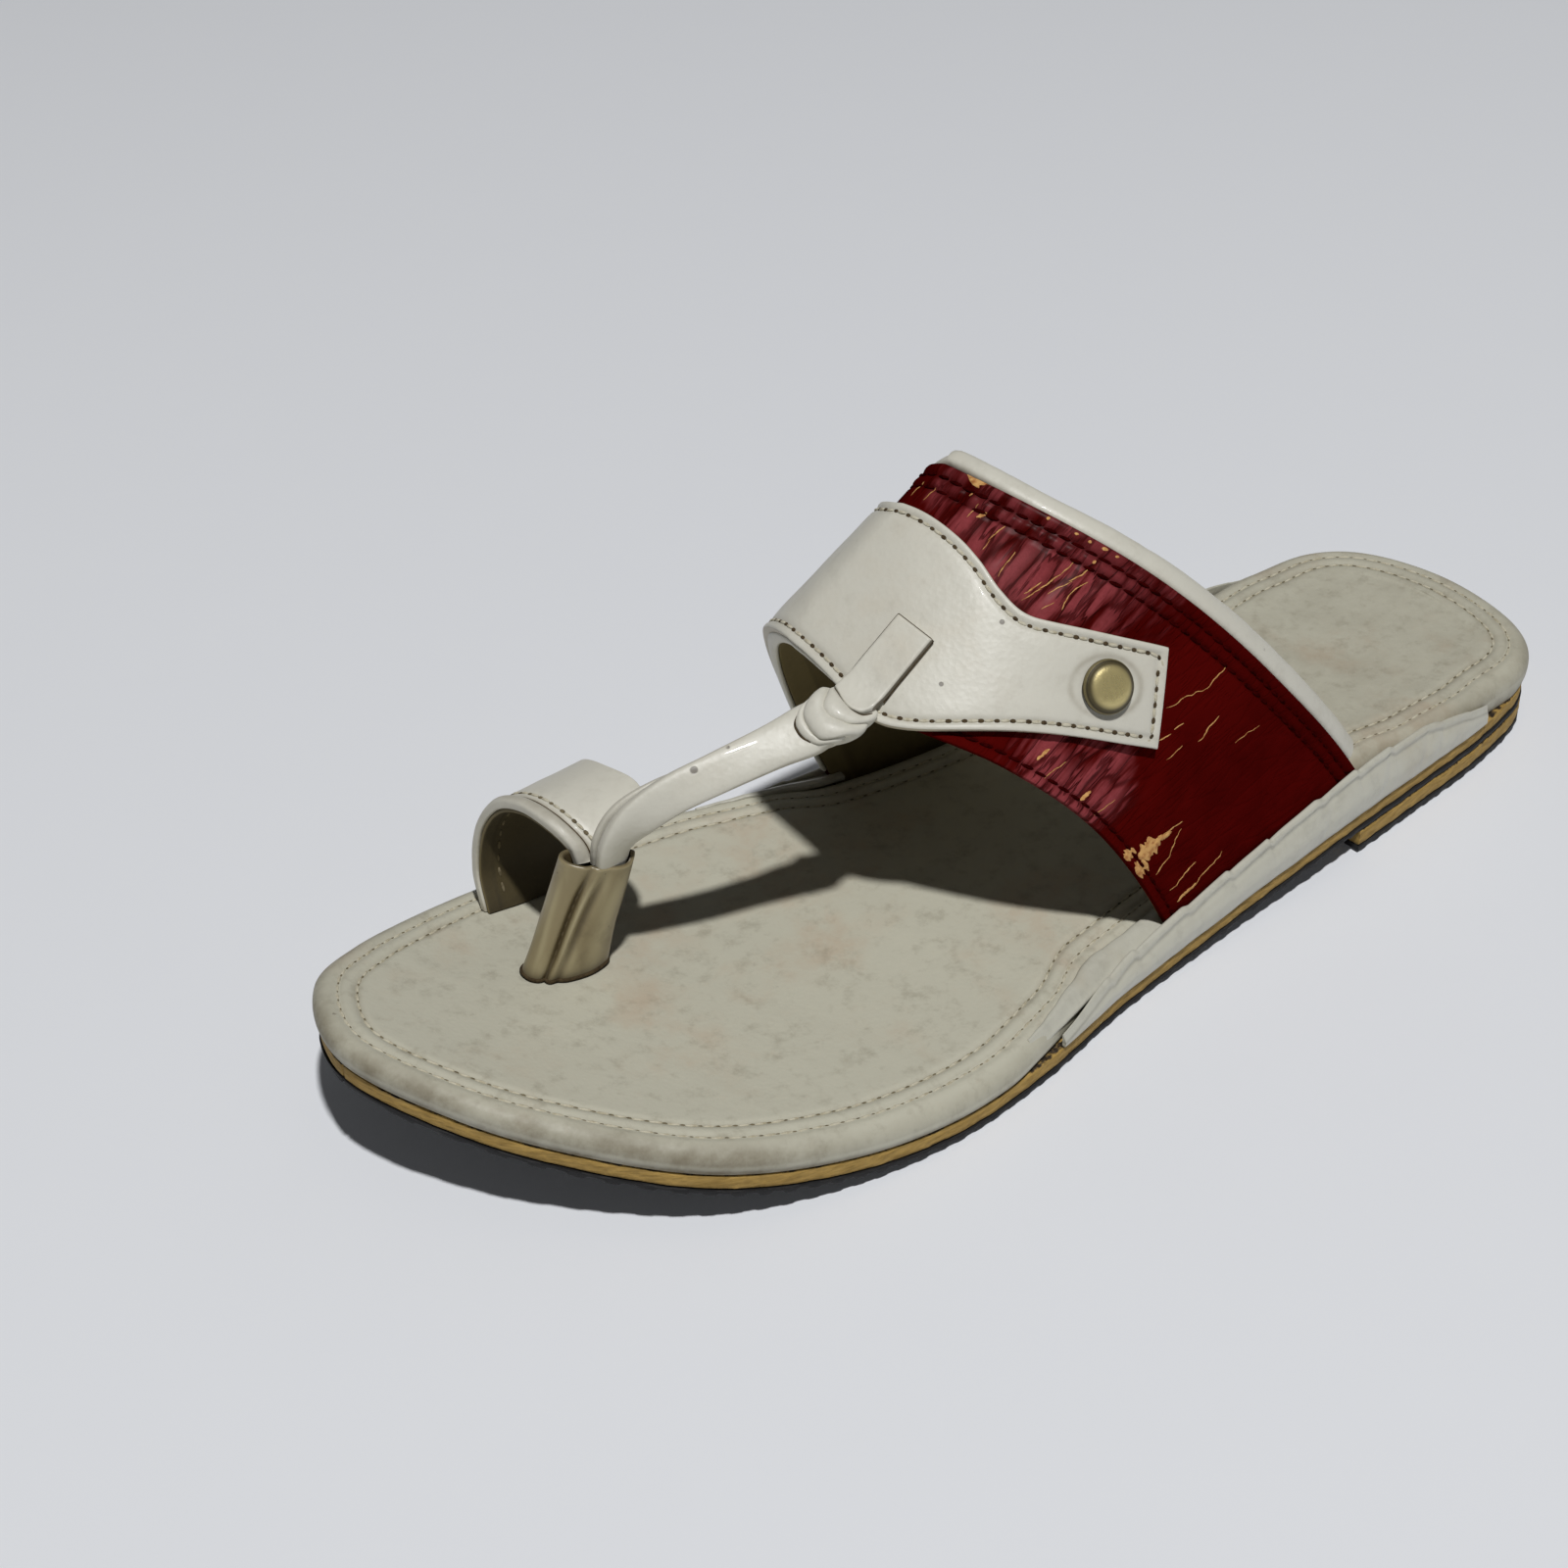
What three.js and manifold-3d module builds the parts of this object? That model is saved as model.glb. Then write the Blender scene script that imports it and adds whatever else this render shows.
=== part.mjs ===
// A left leather sandal with an instep band, a toe strap and a toe ring.
// Millimetres: +X runs from heel to toe, +Y to the wearer's left (the outer side), +Z up.
import * as THREE from 'three';
import Module from 'manifold-3d';

const wasm = await Module();
wasm.setup();

// Driving sizes of the sole
const SOLE = {
  outsole: 1.4,
  skivedOutsole: 1.1,
  midsole: 3.2,
  heelLift: 3.6,
  heelTopPiece: 1.8,
  footbedAtToe: 6.0,
  footbedAtHeel: 7.8,
  layerGap: 0.25,
  toeSpring: 19.6,
  springStart: 40,
  arch: { front: 8, length: 80 },
  breast: -66,
  breastRamp: 3,
};
const HEEL_TIP = { x: -142.5, y: 6.5 };
const TOE_TIP = { x: 142.5, y: -16 };

// Outline of the sole: how far it reaches to each side at each cross section
const SOLE_SECTIONS = [
  { x: -138, medial: -12.7, lateral: 28.2 },
  { x: -130, medial: -21.7, lateral: 37.0 },
  { x: -112, medial: -27.3, lateral: 41.8 },
  { x: -85, medial: -28.6, lateral: 44.1 },
  { x: -55, medial: -29.7, lateral: 45.8 },
  { x: -25, medial: -34.2, lateral: 46.4 },
  { x: 5, medial: -41.5, lateral: 48.1 },
  { x: 32, medial: -49.0, lateral: 52.4 },
  { x: 56, medial: -53.2, lateral: 53.6 },
  { x: 80, medial: -53.3, lateral: 49.9 },
  { x: 103, medial: -50.3, lateral: 40.7 },
  { x: 121, medial: -44.7, lateral: 25.0 },
  { x: 134, medial: -36.4, lateral: 7.8 },
];

// Rounded rim of the footbed: how far in, and how far below its top
const FOOTBED_RIM = [
  { inset: 0.0, drop: 3.9 },
  { inset: 0.5, drop: 2.1 },
  { inset: 1.6, drop: 0.8 },
  { inset: 3.2, drop: 0.15 },
  { inset: 5.0, drop: 0.0 },
];
const FOOTBED_FOOT_INSET = 0.8;

// The last: an arch across the foot whose crest falls towards the toes
const LAST = {
  crestX: 16.5,
  crestHeight: 81.5,
  crestSlope: -0.817,
  crestSide: -13.4,
  crestDrift: -0.125,
  inset: 2.7,
  lateral: { across: 1.06, up: 1.06 },
  medial: { across: 1.23, up: 1.17 },
};

// Front and rear edge of the instep band, from its inner foot (-1) over the crest (0) to its outer foot (1)
const BAND_EDGES = [
  { around: -1.0, front: 4.0, rear: -62.0 },
  { around: -0.75, front: 15.4, rear: -42.4 },
  { around: -0.5, front: 25.2, rear: -19.8 },
  { around: -0.25, front: 32.2, rear: -2.6 },
  { around: 0.0, front: 35.0, rear: 1.0 },
  { around: 0.25, front: 34.0, rear: -4.2 },
  { around: 0.5, front: 21.8, rear: -18.4 },
  { around: 0.75, front: 5.4, rear: -40.8 },
  { around: 1.0, front: -11.4, rear: -72.0 },
];
const VAMP = { thickness: 2.4, aroundSteps: 44, acrossSteps: 8 };

// Saddle strap over the band, from its inner foot to the snap tab on the outer side:
// where its two edges lie around the last, and how far from the band's front (0) to its rear edge (1)
const SADDLE_EDGES = [
  { frontAround: -0.915, front: 0.0, rearAround: -0.915, rear: 0.6 },
  { frontAround: -0.8, front: 0.0, rearAround: -0.81, rear: 0.61 },
  { frontAround: -0.6, front: 0.0, rearAround: -0.62, rear: 0.65 },
  { frontAround: -0.4, front: 0.0, rearAround: -0.43, rear: 0.71 },
  { frontAround: -0.2, front: 0.0, rearAround: -0.25, rear: 0.74 },
  { frontAround: -0.02, front: 0.0, rearAround: -0.06, rear: 0.745 },
  { frontAround: 0.1, front: -0.005, rearAround: 0.06, rear: 0.765 },
  { frontAround: 0.18, front: -0.025, rearAround: 0.15, rear: 0.748 },
  { frontAround: 0.25, front: -0.045, rearAround: 0.22, rear: 0.705 },
  { frontAround: 0.31, front: -0.015, rearAround: 0.285, rear: 0.64 },
  { frontAround: 0.385, front: 0.06, rearAround: 0.345, rear: 0.6 },
  { frontAround: 0.475, front: 0.16, rearAround: 0.4, rear: 0.622 },
  { frontAround: 0.605, front: 0.315, rearAround: 0.49, rear: 0.695 },
  { frontAround: 0.675, front: 0.415, rearAround: 0.572, rear: 0.782 },
];
const SADDLE = { thickness: 1.9, lengthSteps: 39, acrossSteps: 6 };

// Padded roll along the rear edge of the band, slimmer over the crest and curled inwards by some degrees
const COLLAR = {
  halfWidth: 3.0,
  halfHeight: 2.1,
  curl: 32,
  crestShare: 0.75,
  crestReach: 0.75,
  lipClearance: 2.8,
  steps: 44,
  sides: 8,
};

// Side strips that close the feet of the band over the footbed's edge
const RAND = {
  thickness: 2.2,
  endThickness: 0.9,
  endOffset: 1.3,
  endTaper: 22,
  bulge: 0.5,
  steps: 34,
  heightSteps: 4,
};
const RAND_LIP = [
  { x: -110, lip: 15.4 },
  { x: -90, lip: 19.9 },
  { x: -68, lip: 21.4 },
  { x: -30, lip: 16.6 },
  { x: -6, lip: 13.2 },
  { x: 10, lip: 11.0 },
  { x: 27, lip: 7.9 },
];
const FOOTBED_SEATS = [
  { front: 27, rear: -110, ramp: 16, depth: 1.5 },
  { front: 12, rear: -88, ramp: 20, depth: 1.4 },
  { front: 7, rear: -76, ramp: 14, depth: 2.9 },
];

// Toe strap: stitched on the saddle, bound by two turns, then twisted down to the toe post.
// lean is the angle of its face from straight up towards the outer side, in degrees
const STRAP_TAB = [
  { around: 0.208, across: 0.345, width: 8.2, thick: 2.2 },
  { around: 0.206, across: 0.14, width: 8.4, thick: 2.2 },
  { around: 0.204, across: -0.05, width: 8.6, thick: 2.2 },
];
const STRAP_ROWS = [
  { x: 43.6, y: 3.8, z: 63.6, lean: 24, width: 8.6, thick: 3.4 },
  { x: 46.8, y: 1.9, z: 61.5, lean: 30, width: 8.6, thick: 3.4 },
  { x: 54.5, y: -1.0, z: 59.1, lean: 38, width: 8.3, thick: 3.2 },
  { x: 63.5, y: -4.1, z: 56.6, lean: 46, width: 7.8, thick: 3.0 },
  { x: 72.4, y: -7.8, z: 53.3, lean: 57, width: 7.6, thick: 3.0 },
  { x: 78.9, y: -10.8, z: 48.7, lean: 70, width: 7.8, thick: 3.0 },
  { x: 81.3, y: -12.1, z: 44.4, lean: 80, width: 7.6, thick: 3.0 },
  { x: 81.7, y: -13.0, z: 40.4, lean: 88, width: 7.2, thick: 3.0 },
];
const STRAP = {
  wraps: [2.45, 3.4],
  wrapReach: 0.46,
  wrapWidth: 1.8,
  wrapThick: 2.4,
  stepsPerRow: 5,
  sides: 10,
};
const UNDER_STRAP = { firstRow: 0, drop: 2.2, endDrop: 2.3, bow: 1.4, thick: 1.6, narrower: 1.2 };

// Toe ring: a band over the big toe, from its inner foot to the toe post
const RING_ROWS = [
  { y: -42.4, z: 15.5, front: 92.0, rear: 65.0, skew: 0 },
  { y: -46.0, z: 23.5, front: 90.8, rear: 65.5, skew: 0 },
  { y: -44.8, z: 33.4, front: 90.0, rear: 66.5, skew: 0 },
  { y: -39.6, z: 41.2, front: 89.4, rear: 68.0, skew: 0 },
  { y: -32.2, z: 44.6, front: 88.8, rear: 68.6, skew: -1 },
  { y: -24.6, z: 44.6, front: 88.2, rear: 67.6, skew: -2 },
  { y: -19.2, z: 42.0, front: 87.0, rear: 70.5, skew: -2.5 },
];
const RING = { thickness: 2.4, stepsPerRow: 4 };
const RING_ACROSS = [
  { across: 0.0, roll: 0.4 },
  { across: 0.06, roll: 1.1 },
  { across: 0.13, roll: 0.7 },
  { across: 0.2, roll: 0.0 },
  { across: 0.6, roll: 0.0 },
  { across: 1.0, roll: 0.0 },
];

// Toe post: the leather sleeve between the toes, from the footbed up
const POST_ROWS = [
  { z: 17.0, x: 90.2, y: -18.9, long: 17.6, thick: 8.6 },
  { z: 25.0, x: 87.9, y: -17.9, long: 15.9, thick: 7.8 },
  { z: 33.0, x: 85.5, y: -16.9, long: 14.7, thick: 7.4 },
  { z: 40.2, x: 83.4, y: -15.9, long: 14.2, thick: 7.6 },
];
const POST = { turn: -27, sides: 18, topTilt: 0.22 };

// Snap cap on the saddle's tab
const SNAP = { around: 0.535, across: 0.495, seat: 0.35, sides: 24 };
const SNAP_PROFILE = [
  { radius: 4.8, height: 0.0 },
  { radius: 5.2, height: 0.4 },
  { radius: 5.0, height: 0.9 },
  { radius: 4.2, height: 1.6 },
  { radius: 2.6, height: 2.1 },
];
const SNAP_TOP = 2.3;

const GAP = 0.3;
const SOLE_STATIONS = 48;
const HEEL_STATIONS = 16;
const RIM_HALVINGS = 40;
const WELD = 1e4;
const UP = new THREE.Vector3(0, 0, 1);
const STEP = 0.004;

const smooth = (t) => {
  const k = Math.min(1, Math.max(0, t));
  return k * k * (3 - 2 * k);
};
const lerp = (a, b, t) => a + (b - a) * t;
const range = (count) => Array.from({ length: count + 1 }, (_, i) => i / count);

// Smooth curve through one column of a table, over another column
function column(rows, over, value) {
  const at = rows.map((row) => row[over]);
  const values = rows.map((row) => row[value]);
  const last = rows.length - 1;
  const secant = (i) => (values[i + 1] - values[i]) / (at[i + 1] - at[i]);
  const slopes = rows.map((_, i) => {
    if (i === 0) return secant(0);
    if (i === last) return secant(last - 1);
    const before = at[i] - at[i - 1];
    const after = at[i + 1] - at[i];
    return (secant(i - 1) * after + secant(i) * before) / (before + after);
  });
  return (u) => {
    let i = 0;
    while (i < last - 1 && u > at[i + 1]) i += 1;
    const width = at[i + 1] - at[i];
    const t = (Math.min(at[last], Math.max(at[0], u)) - at[i]) / width;
    const h = t * t * (3 - 2 * t);
    const rise = t * (1 - t) * (1 - t) * slopes[i] - t * t * (1 - t) * slopes[i + 1];
    return lerp(values[i], values[i + 1], h) + rise * width;
  };
}

// Every column of a table as a curve over the row number
function columnsByRow(rows, names) {
  const numbered = rows.map((row, i) => ({ ...row, number: i }));
  return Object.fromEntries(names.map((name) => [name, column(numbered, 'number', name)]));
}

// Heights of the sole's layers
const heelStack = SOLE.heelTopPiece + SOLE.heelLift + SOLE.skivedOutsole + 3 * SOLE.layerGap;
const archRise = heelStack - SOLE.outsole - SOLE.layerGap;
const toeSpring = (x) => {
  const run = Math.max(0, x - SOLE.springStart) / (TOE_TIP.x - SOLE.springStart);
  return SOLE.toeSpring * run * run;
};
const midsoleBottom = (x) =>
  SOLE.outsole + SOLE.layerGap + toeSpring(x) + archRise * smooth((SOLE.arch.front - x) / SOLE.arch.length);
const midsoleTop = (x) => midsoleBottom(x) + SOLE.midsole;
const outsoleTop = (x) => midsoleBottom(x) - SOLE.layerGap;
const outsoleBottom = (x) => {
  const full = smooth((x - SOLE.breast) / SOLE.breastRamp);
  return outsoleTop(x) - lerp(SOLE.skivedOutsole, SOLE.outsole, full);
};
const footbedBottom = (x) => midsoleTop(x) + SOLE.layerGap;
const footbedTop = (x) => {
  const towardsHeel = smooth((SOLE.arch.front - x) / SOLE.arch.length);
  return footbedBottom(x) + lerp(SOLE.footbedAtToe, SOLE.footbedAtHeel, towardsHeel);
};

// The sole's outline as one closed curve: heel tip, outer side, toe tip, inner side
const outline = new THREE.CatmullRomCurve3(
  [
    new THREE.Vector3(HEEL_TIP.x, HEEL_TIP.y, 0),
    ...SOLE_SECTIONS.map((row) => new THREE.Vector3(row.x, row.lateral, 0)),
    new THREE.Vector3(TOE_TIP.x, TOE_TIP.y, 0),
    ...SOLE_SECTIONS.toReversed().map((row) => new THREE.Vector3(row.x, row.medial, 0)),
  ],
  true,
  'centripetal',
);

// Point of the outline at a section x, moved in from the edge by inset
function rim(side, x, inset) {
  const end = side === 'lateral' ? 0 : 1;
  let near = end;
  let far = 0.5;
  for (let i = 0; i < RIM_HALVINGS; i += 1) {
    const middle = (near + far) / 2;
    if (outline.getPoint(middle).x < x) near = middle;
    else far = middle;
  }
  const t = (near + far) / 2;
  const point = outline.getPoint(t);
  const tangent = outline.getTangent(t);
  return new THREE.Vector3(x + tangent.y * inset, point.y - tangent.x * inset, 0);
}

// A closed mesh from points and triangles: points are welded and the faces turned outwards
function closedGeometry(points, triangles) {
  const seen = new Map();
  const positions = [];
  const weld = points.map((p) => {
    const key = [p.x, p.y, p.z].map((v) => Math.round(v * WELD)).join();
    if (!seen.has(key)) {
      seen.set(key, seen.size);
      positions.push(p.x, p.y, p.z);
    }
    return seen.get(key);
  });
  const faces = triangles
    .map((triangle) => triangle.map((i) => weld[i]))
    .filter(([a, b, c]) => a !== b && b !== c && c !== a);
  const corner = (i) => new THREE.Vector3().fromArray(positions, 3 * i);
  const volume = faces.reduce((sum, [a, b, c]) => sum + corner(a).dot(corner(b).cross(corner(c))), 0);
  const geometry = new THREE.BufferGeometry();
  geometry.setAttribute('position', new THREE.Float32BufferAttribute(positions, 3));
  geometry.setIndex((volume < 0 ? faces.map(([a, b, c]) => [a, c, b]) : faces).flat());
  return geometry;
}

// Two triangles of the quad a, b, c, d
const quad = (a, b, c, d) => [[a, b, c], [a, c, d]];

// Solid through closed rings of points, with fans over its two ends
function ringSolid(rings) {
  const sides = rings[0].length;
  const points = rings.flat();
  const triangles = [];
  for (let i = 0; i < rings.length - 1; i += 1) {
    for (let j = 0; j < sides; j += 1) {
      const k = (j + 1) % sides;
      triangles.push(...quad(i * sides + j, i * sides + k, (i + 1) * sides + k, (i + 1) * sides + j));
    }
  }
  for (const end of [0, rings.length - 1]) {
    const middle = rings[end].reduce((sum, p) => sum.add(p), new THREE.Vector3()).divideScalar(sides);
    const hub = points.push(middle) - 1;
    for (let j = 0; j < sides; j += 1) {
      const k = (j + 1) % sides;
      const fan = [hub, end * sides + j, end * sides + k];
      triangles.push(end === 0 ? fan.toReversed() : fan);
    }
  }
  return closedGeometry(points, triangles);
}

// Wall between an outer and an inner sheet of points, closed along its four edges
function wallSolid(outer, inner) {
  const rows = outer.length;
  const cols = outer[0].length;
  const points = [...outer.flat(), ...inner.flat()];
  const out = (i, j) => i * cols + j;
  const inn = (i, j) => rows * cols + i * cols + j;
  const triangles = [];
  for (let i = 0; i < rows - 1; i += 1) {
    for (let j = 0; j < cols - 1; j += 1) {
      triangles.push(...quad(out(i, j), out(i + 1, j), out(i + 1, j + 1), out(i, j + 1)));
      triangles.push(...quad(inn(i, j), inn(i, j + 1), inn(i + 1, j + 1), inn(i + 1, j)));
    }
    triangles.push(...quad(out(i, 0), inn(i, 0), inn(i + 1, 0), out(i + 1, 0)));
    triangles.push(...quad(out(i, cols - 1), out(i + 1, cols - 1), inn(i + 1, cols - 1), inn(i, cols - 1)));
  }
  for (let j = 0; j < cols - 1; j += 1) {
    triangles.push(...quad(out(0, j), out(0, j + 1), inn(0, j + 1), inn(0, j)));
    triangles.push(...quad(out(rows - 1, j), inn(rows - 1, j), inn(rows - 1, j + 1), out(rows - 1, j + 1)));
  }
  return closedGeometry(points, triangles);
}

// Sections of a sole layer, closer together where its outline turns
const fullLength = range(SOLE_STATIONS).map((q) =>
  lerp(HEEL_TIP.x, TOE_TIP.x, (1 - Math.cos(Math.PI * q)) / 2),
);
const steppedLength = [...fullLength, SOLE.breast, SOLE.breast + SOLE.breastRamp].sort((a, b) => a - b);
const heelLength = range(HEEL_STATIONS).map((q) =>
  lerp(HEEL_TIP.x, SOLE.breast - GAP, 1 - Math.cos((Math.PI * q) / 2)),
);

// A layer of the sole: levels go up its edge, each with an inset and a height at every section
function layerSolid(sections, levels) {
  const count = sections.length;
  const rings = levels.map(({ inset, height }) => {
    const point = (side, x) => {
      const p = rim(side, x, inset(x));
      return p.setZ(height(p.x));
    };
    return [
      ...sections.map((x) => point('lateral', x)),
      ...sections.toReversed().map((x) => point('medial', x)),
    ];
  });
  const loop = 2 * count;
  const triangles = [];
  for (let i = 0; i < rings.length - 1; i += 1) {
    for (let j = 0; j < loop; j += 1) {
      const k = (j + 1) % loop;
      triangles.push(...quad(i * loop + j, i * loop + k, (i + 1) * loop + k, (i + 1) * loop + j));
    }
  }
  const top = (rings.length - 1) * loop;
  for (let i = 0; i < count - 1; i += 1) {
    const across = [i, i + 1, loop - 2 - i, loop - 1 - i];
    triangles.push(...quad(...across.toReversed()));
    triangles.push(...quad(...across.map((j) => j + top)));
  }
  return closedGeometry(rings.flat(), triangles);
}

// A plain layer between two heights, with its edge set in
function plainLayer(sections, inset, bottom, top) {
  return layerSolid(sections, [
    { inset: () => inset, height: bottom },
    { inset: () => inset, height: top },
  ]);
}

// The footbed's edge steps in where the band and its side strips pass down
const footbedSeat = (x) =>
  FOOTBED_SEATS.reduce((sum, seat) => {
    const open = smooth((x - seat.rear + seat.ramp) / seat.ramp);
    const close = smooth((seat.front + seat.ramp - x) / seat.ramp);
    return sum + seat.depth * open * close;
  }, 0);

function footbed() {
  const foot = { inset: (x) => footbedSeat(x) + FOOTBED_FOOT_INSET, height: footbedBottom };
  const rimLevels = FOOTBED_RIM.map((row) => ({
    inset: (x) => footbedSeat(x) + row.inset,
    height: (x) => footbedTop(x) - row.drop,
  }));
  return layerSolid(fullLength, [foot, ...rimLevels]);
}

// Crest of the last at a section, and the foot of the arch on one side
function lastSection(x, side) {
  const run = x - LAST.crestX;
  return {
    crestY: LAST.crestSide + LAST.crestDrift * run,
    crestZ: LAST.crestHeight + LAST.crestSlope * run,
    footY: rim(side, x, LAST.inset).y,
    footZ: footbedBottom(x),
    ...LAST[side],
  };
}

// Point of the last at a section, from its inner foot (-1) over the crest (0) to its outer foot (1)
function lastPoint(x, around) {
  const section = lastSection(x, around < 0 ? 'medial' : 'lateral');
  const angle = ((1 - Math.abs(around)) * Math.PI) / 2;
  const out = Math.max(0, Math.cos(angle)) ** section.across;
  const rise = Math.max(0, Math.sin(angle)) ** section.up;
  return new THREE.Vector3(
    x,
    lerp(section.crestY, section.footY, out),
    lerp(section.footZ, section.crestZ, rise),
  );
}

// Where around the last a height is reached on one side
function aroundAtHeight(x, side, z) {
  const section = lastSection(x, side);
  const share = (z - section.footZ) / (section.crestZ - section.footZ);
  const angle = Math.asin(Math.max(0, share) ** (1 / section.up));
  return (side === 'medial' ? -1 : 1) * (1 - angle / (Math.PI / 2));
}

// Outward normal of the last
function lastNormal(x, around) {
  const before = Math.max(-1, around - STEP);
  const after = Math.min(1, around + STEP);
  const round = lastPoint(x, after).sub(lastPoint(x, before));
  const along = lastPoint(x + 1, around).sub(lastPoint(x - 1, around));
  return along.cross(round).normalize();
}

// Point at a distance outside the last
const offLast = (x, around, offset) => lastPoint(x, around).addScaledVector(lastNormal(x, around), offset);

// Point of the instep band: across runs from its front edge (0) to its rear edge (1)
const bandFront = column(BAND_EDGES, 'around', 'front');
const bandRear = column(BAND_EDGES, 'around', 'rear');
const bandX = (around, across) => lerp(bandFront(around), bandRear(around), across);
const bandPoint = (around, across, offset) => offLast(bandX(around, across), around, offset);

function vamp() {
  const sheet = (offset) =>
    range(VAMP.aroundSteps).map((q) =>
      range(VAMP.acrossSteps).map((across) => bandPoint(lerp(-1, 1, q), across, offset)),
    );
  return wallSolid(sheet(0), sheet(-VAMP.thickness));
}

function saddleStrap() {
  const edge = columnsByRow(SADDLE_EDGES, ['frontAround', 'front', 'rearAround', 'rear']);
  const sheet = (offset) =>
    range(SADDLE.lengthSteps).map((q) => {
      const row = q * (SADDLE_EDGES.length - 1);
      return range(SADDLE.acrossSteps).map((t) => {
        const around = lerp(edge.frontAround(row), edge.rearAround(row), t);
        return bandPoint(around, lerp(edge.front(row), edge.rear(row), t), offset);
      });
    });
  return wallSolid(sheet(GAP + SADDLE.thickness), sheet(GAP));
}

const randLip = column(RAND_LIP, 'x', 'lip');

// How far round the last the collar reaches before it meets the side strip's lip
function collarReach(side) {
  const sign = side === 'medial' ? -1 : 1;
  let around = sign;
  let x = bandRear(around);
  while (lastPoint(x, around).z < randLip(x) + COLLAR.lipClearance) {
    around -= sign * STEP;
    x = bandRear(around);
  }
  return around;
}

function collarRoll() {
  const from = collarReach('medial');
  const to = collarReach('lateral');
  const seat = (around) => bandPoint(around, 1, -VAMP.thickness / 2);
  const curl = THREE.MathUtils.degToRad(COLLAR.curl);
  const rings = range(COLLAR.steps).map((q) => {
    const around = lerp(from, to, q);
    const edge = seat(around + STEP).sub(seat(around - STEP)).normalize();
    const normal = lastNormal(bandRear(around), around);
    const back = new THREE.Vector3().crossVectors(normal, edge).normalize();
    if (back.x > 0) back.negate();
    const share = lerp(COLLAR.crestShare, 1, smooth(Math.abs(around) / COLLAR.crestReach));
    const wide = back.clone().multiplyScalar(Math.cos(curl)).addScaledVector(normal, -Math.sin(curl));
    const high = normal.clone().multiplyScalar(Math.cos(curl)).addScaledVector(back, Math.sin(curl));
    const clear = share * Math.hypot(COLLAR.halfWidth * Math.cos(curl), COLLAR.halfHeight * Math.sin(curl));
    const centre = seat(around)
      .addScaledVector(back, clear + GAP)
      .addScaledVector(normal, -share * COLLAR.halfWidth * Math.sin(curl));
    return range(COLLAR.sides).slice(1).map((turn) => {
      const angle = 2 * Math.PI * turn;
      return centre.clone()
        .addScaledVector(wide, COLLAR.halfWidth * share * Math.cos(angle))
        .addScaledVector(high, COLLAR.halfHeight * share * Math.sin(angle));
    });
  });
  return ringSolid(rings);
}

function rand(side) {
  const front = RAND_LIP.at(-1).x;
  const rear = RAND_LIP[0].x;
  const sheet = (offsetAt) =>
    range(RAND.steps).map((q) => {
      const x = lerp(rear, front, q);
      return range(RAND.heightSteps).map((t) => {
        const z = lerp(footbedBottom(x), randLip(x), t);
        return offLast(x, aroundAtHeight(x, side, z), GAP + offsetAt(x, t));
      });
    });
  const fromEnd = (x) => smooth(Math.min(front - x, x - rear) / RAND.endTaper);
  const inside = (x) => RAND.endOffset * (1 - fromEnd(x));
  const outside = (x, t) => {
    const thickness = lerp(RAND.endThickness, RAND.thickness, fromEnd(x));
    return inside(x) + thickness + RAND.bulge * fromEnd(x) * Math.sin(Math.PI * t);
  };
  return wallSolid(sheet(outside), sheet(inside));
}

// Ring of a strap's section: a flat oval across side and normal
function strapRing(centre, side, normal, width, thick, sides) {
  return range(sides).slice(1).map((turn) => {
    const angle = 2 * Math.PI * turn;
    const c = Math.cos(angle);
    const s = Math.sin(angle);
    return centre.clone()
      .addScaledVector(side, (Math.sign(c) * Math.sqrt(Math.abs(c)) * width) / 2)
      .addScaledVector(normal, (Math.sign(s) * Math.sqrt(Math.abs(s)) * thick) / 2);
  });
}

// Rows of the toe strap with their points and face normals
function strapRows() {
  const tab = STRAP_TAB.map((row) => {
    const x = bandX(row.around, row.across);
    const offset = SADDLE.thickness + 2 * GAP + row.thick / 2;
    return { ...row, point: offLast(x, row.around, offset), normal: lastNormal(x, row.around) };
  });
  const free = STRAP_ROWS.map((row) => {
    const lean = THREE.MathUtils.degToRad(row.lean);
    const point = new THREE.Vector3(row.x, row.y, row.z);
    return { ...row, point, normal: new THREE.Vector3(0, Math.sin(lean), Math.cos(lean)) };
  });
  return [...tab, ...free];
}

// Sweep of a strap along its rows: shape gives its centre, width and thickness at a row number
function strapSweep(rows, shape) {
  const path = new THREE.CatmullRomCurve3(rows.map((row) => row.point), false, 'centripetal');
  const facing = new THREE.CatmullRomCurve3(rows.map((row) => row.normal), false, 'centripetal');
  const last = rows.length - 1;
  const rings = range(last * STRAP.stepsPerRow).map((q) => {
    const tangent = path.getTangent(q);
    const normal = facing.getPoint(q);
    normal.addScaledVector(tangent, -normal.dot(tangent)).normalize();
    const side = new THREE.Vector3().crossVectors(normal, tangent);
    const { drop, width, thick } = shape(q * last);
    const centre = path.getPoint(q).addScaledVector(normal, -drop);
    return strapRing(centre, side, normal, width, thick, STRAP.sides);
  });
  return ringSolid(rings);
}

// One solid of two that cross, joined
function joined(first, second) {
  const solids = [first, second].map((geometry) => new wasm.Manifold(new wasm.Mesh({
    numProp: 3,
    vertProperties: new Float32Array(geometry.getAttribute('position').array),
    triVerts: new Uint32Array(geometry.getIndex().array),
  })));
  const mesh = solids[0].add(solids[1]).getMesh();
  const geometry = new THREE.BufferGeometry();
  geometry.setAttribute('position', new THREE.Float32BufferAttribute(mesh.vertProperties, mesh.numProp));
  geometry.setIndex(new THREE.Uint32BufferAttribute(mesh.triVerts, 1));
  return geometry;
}

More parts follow.
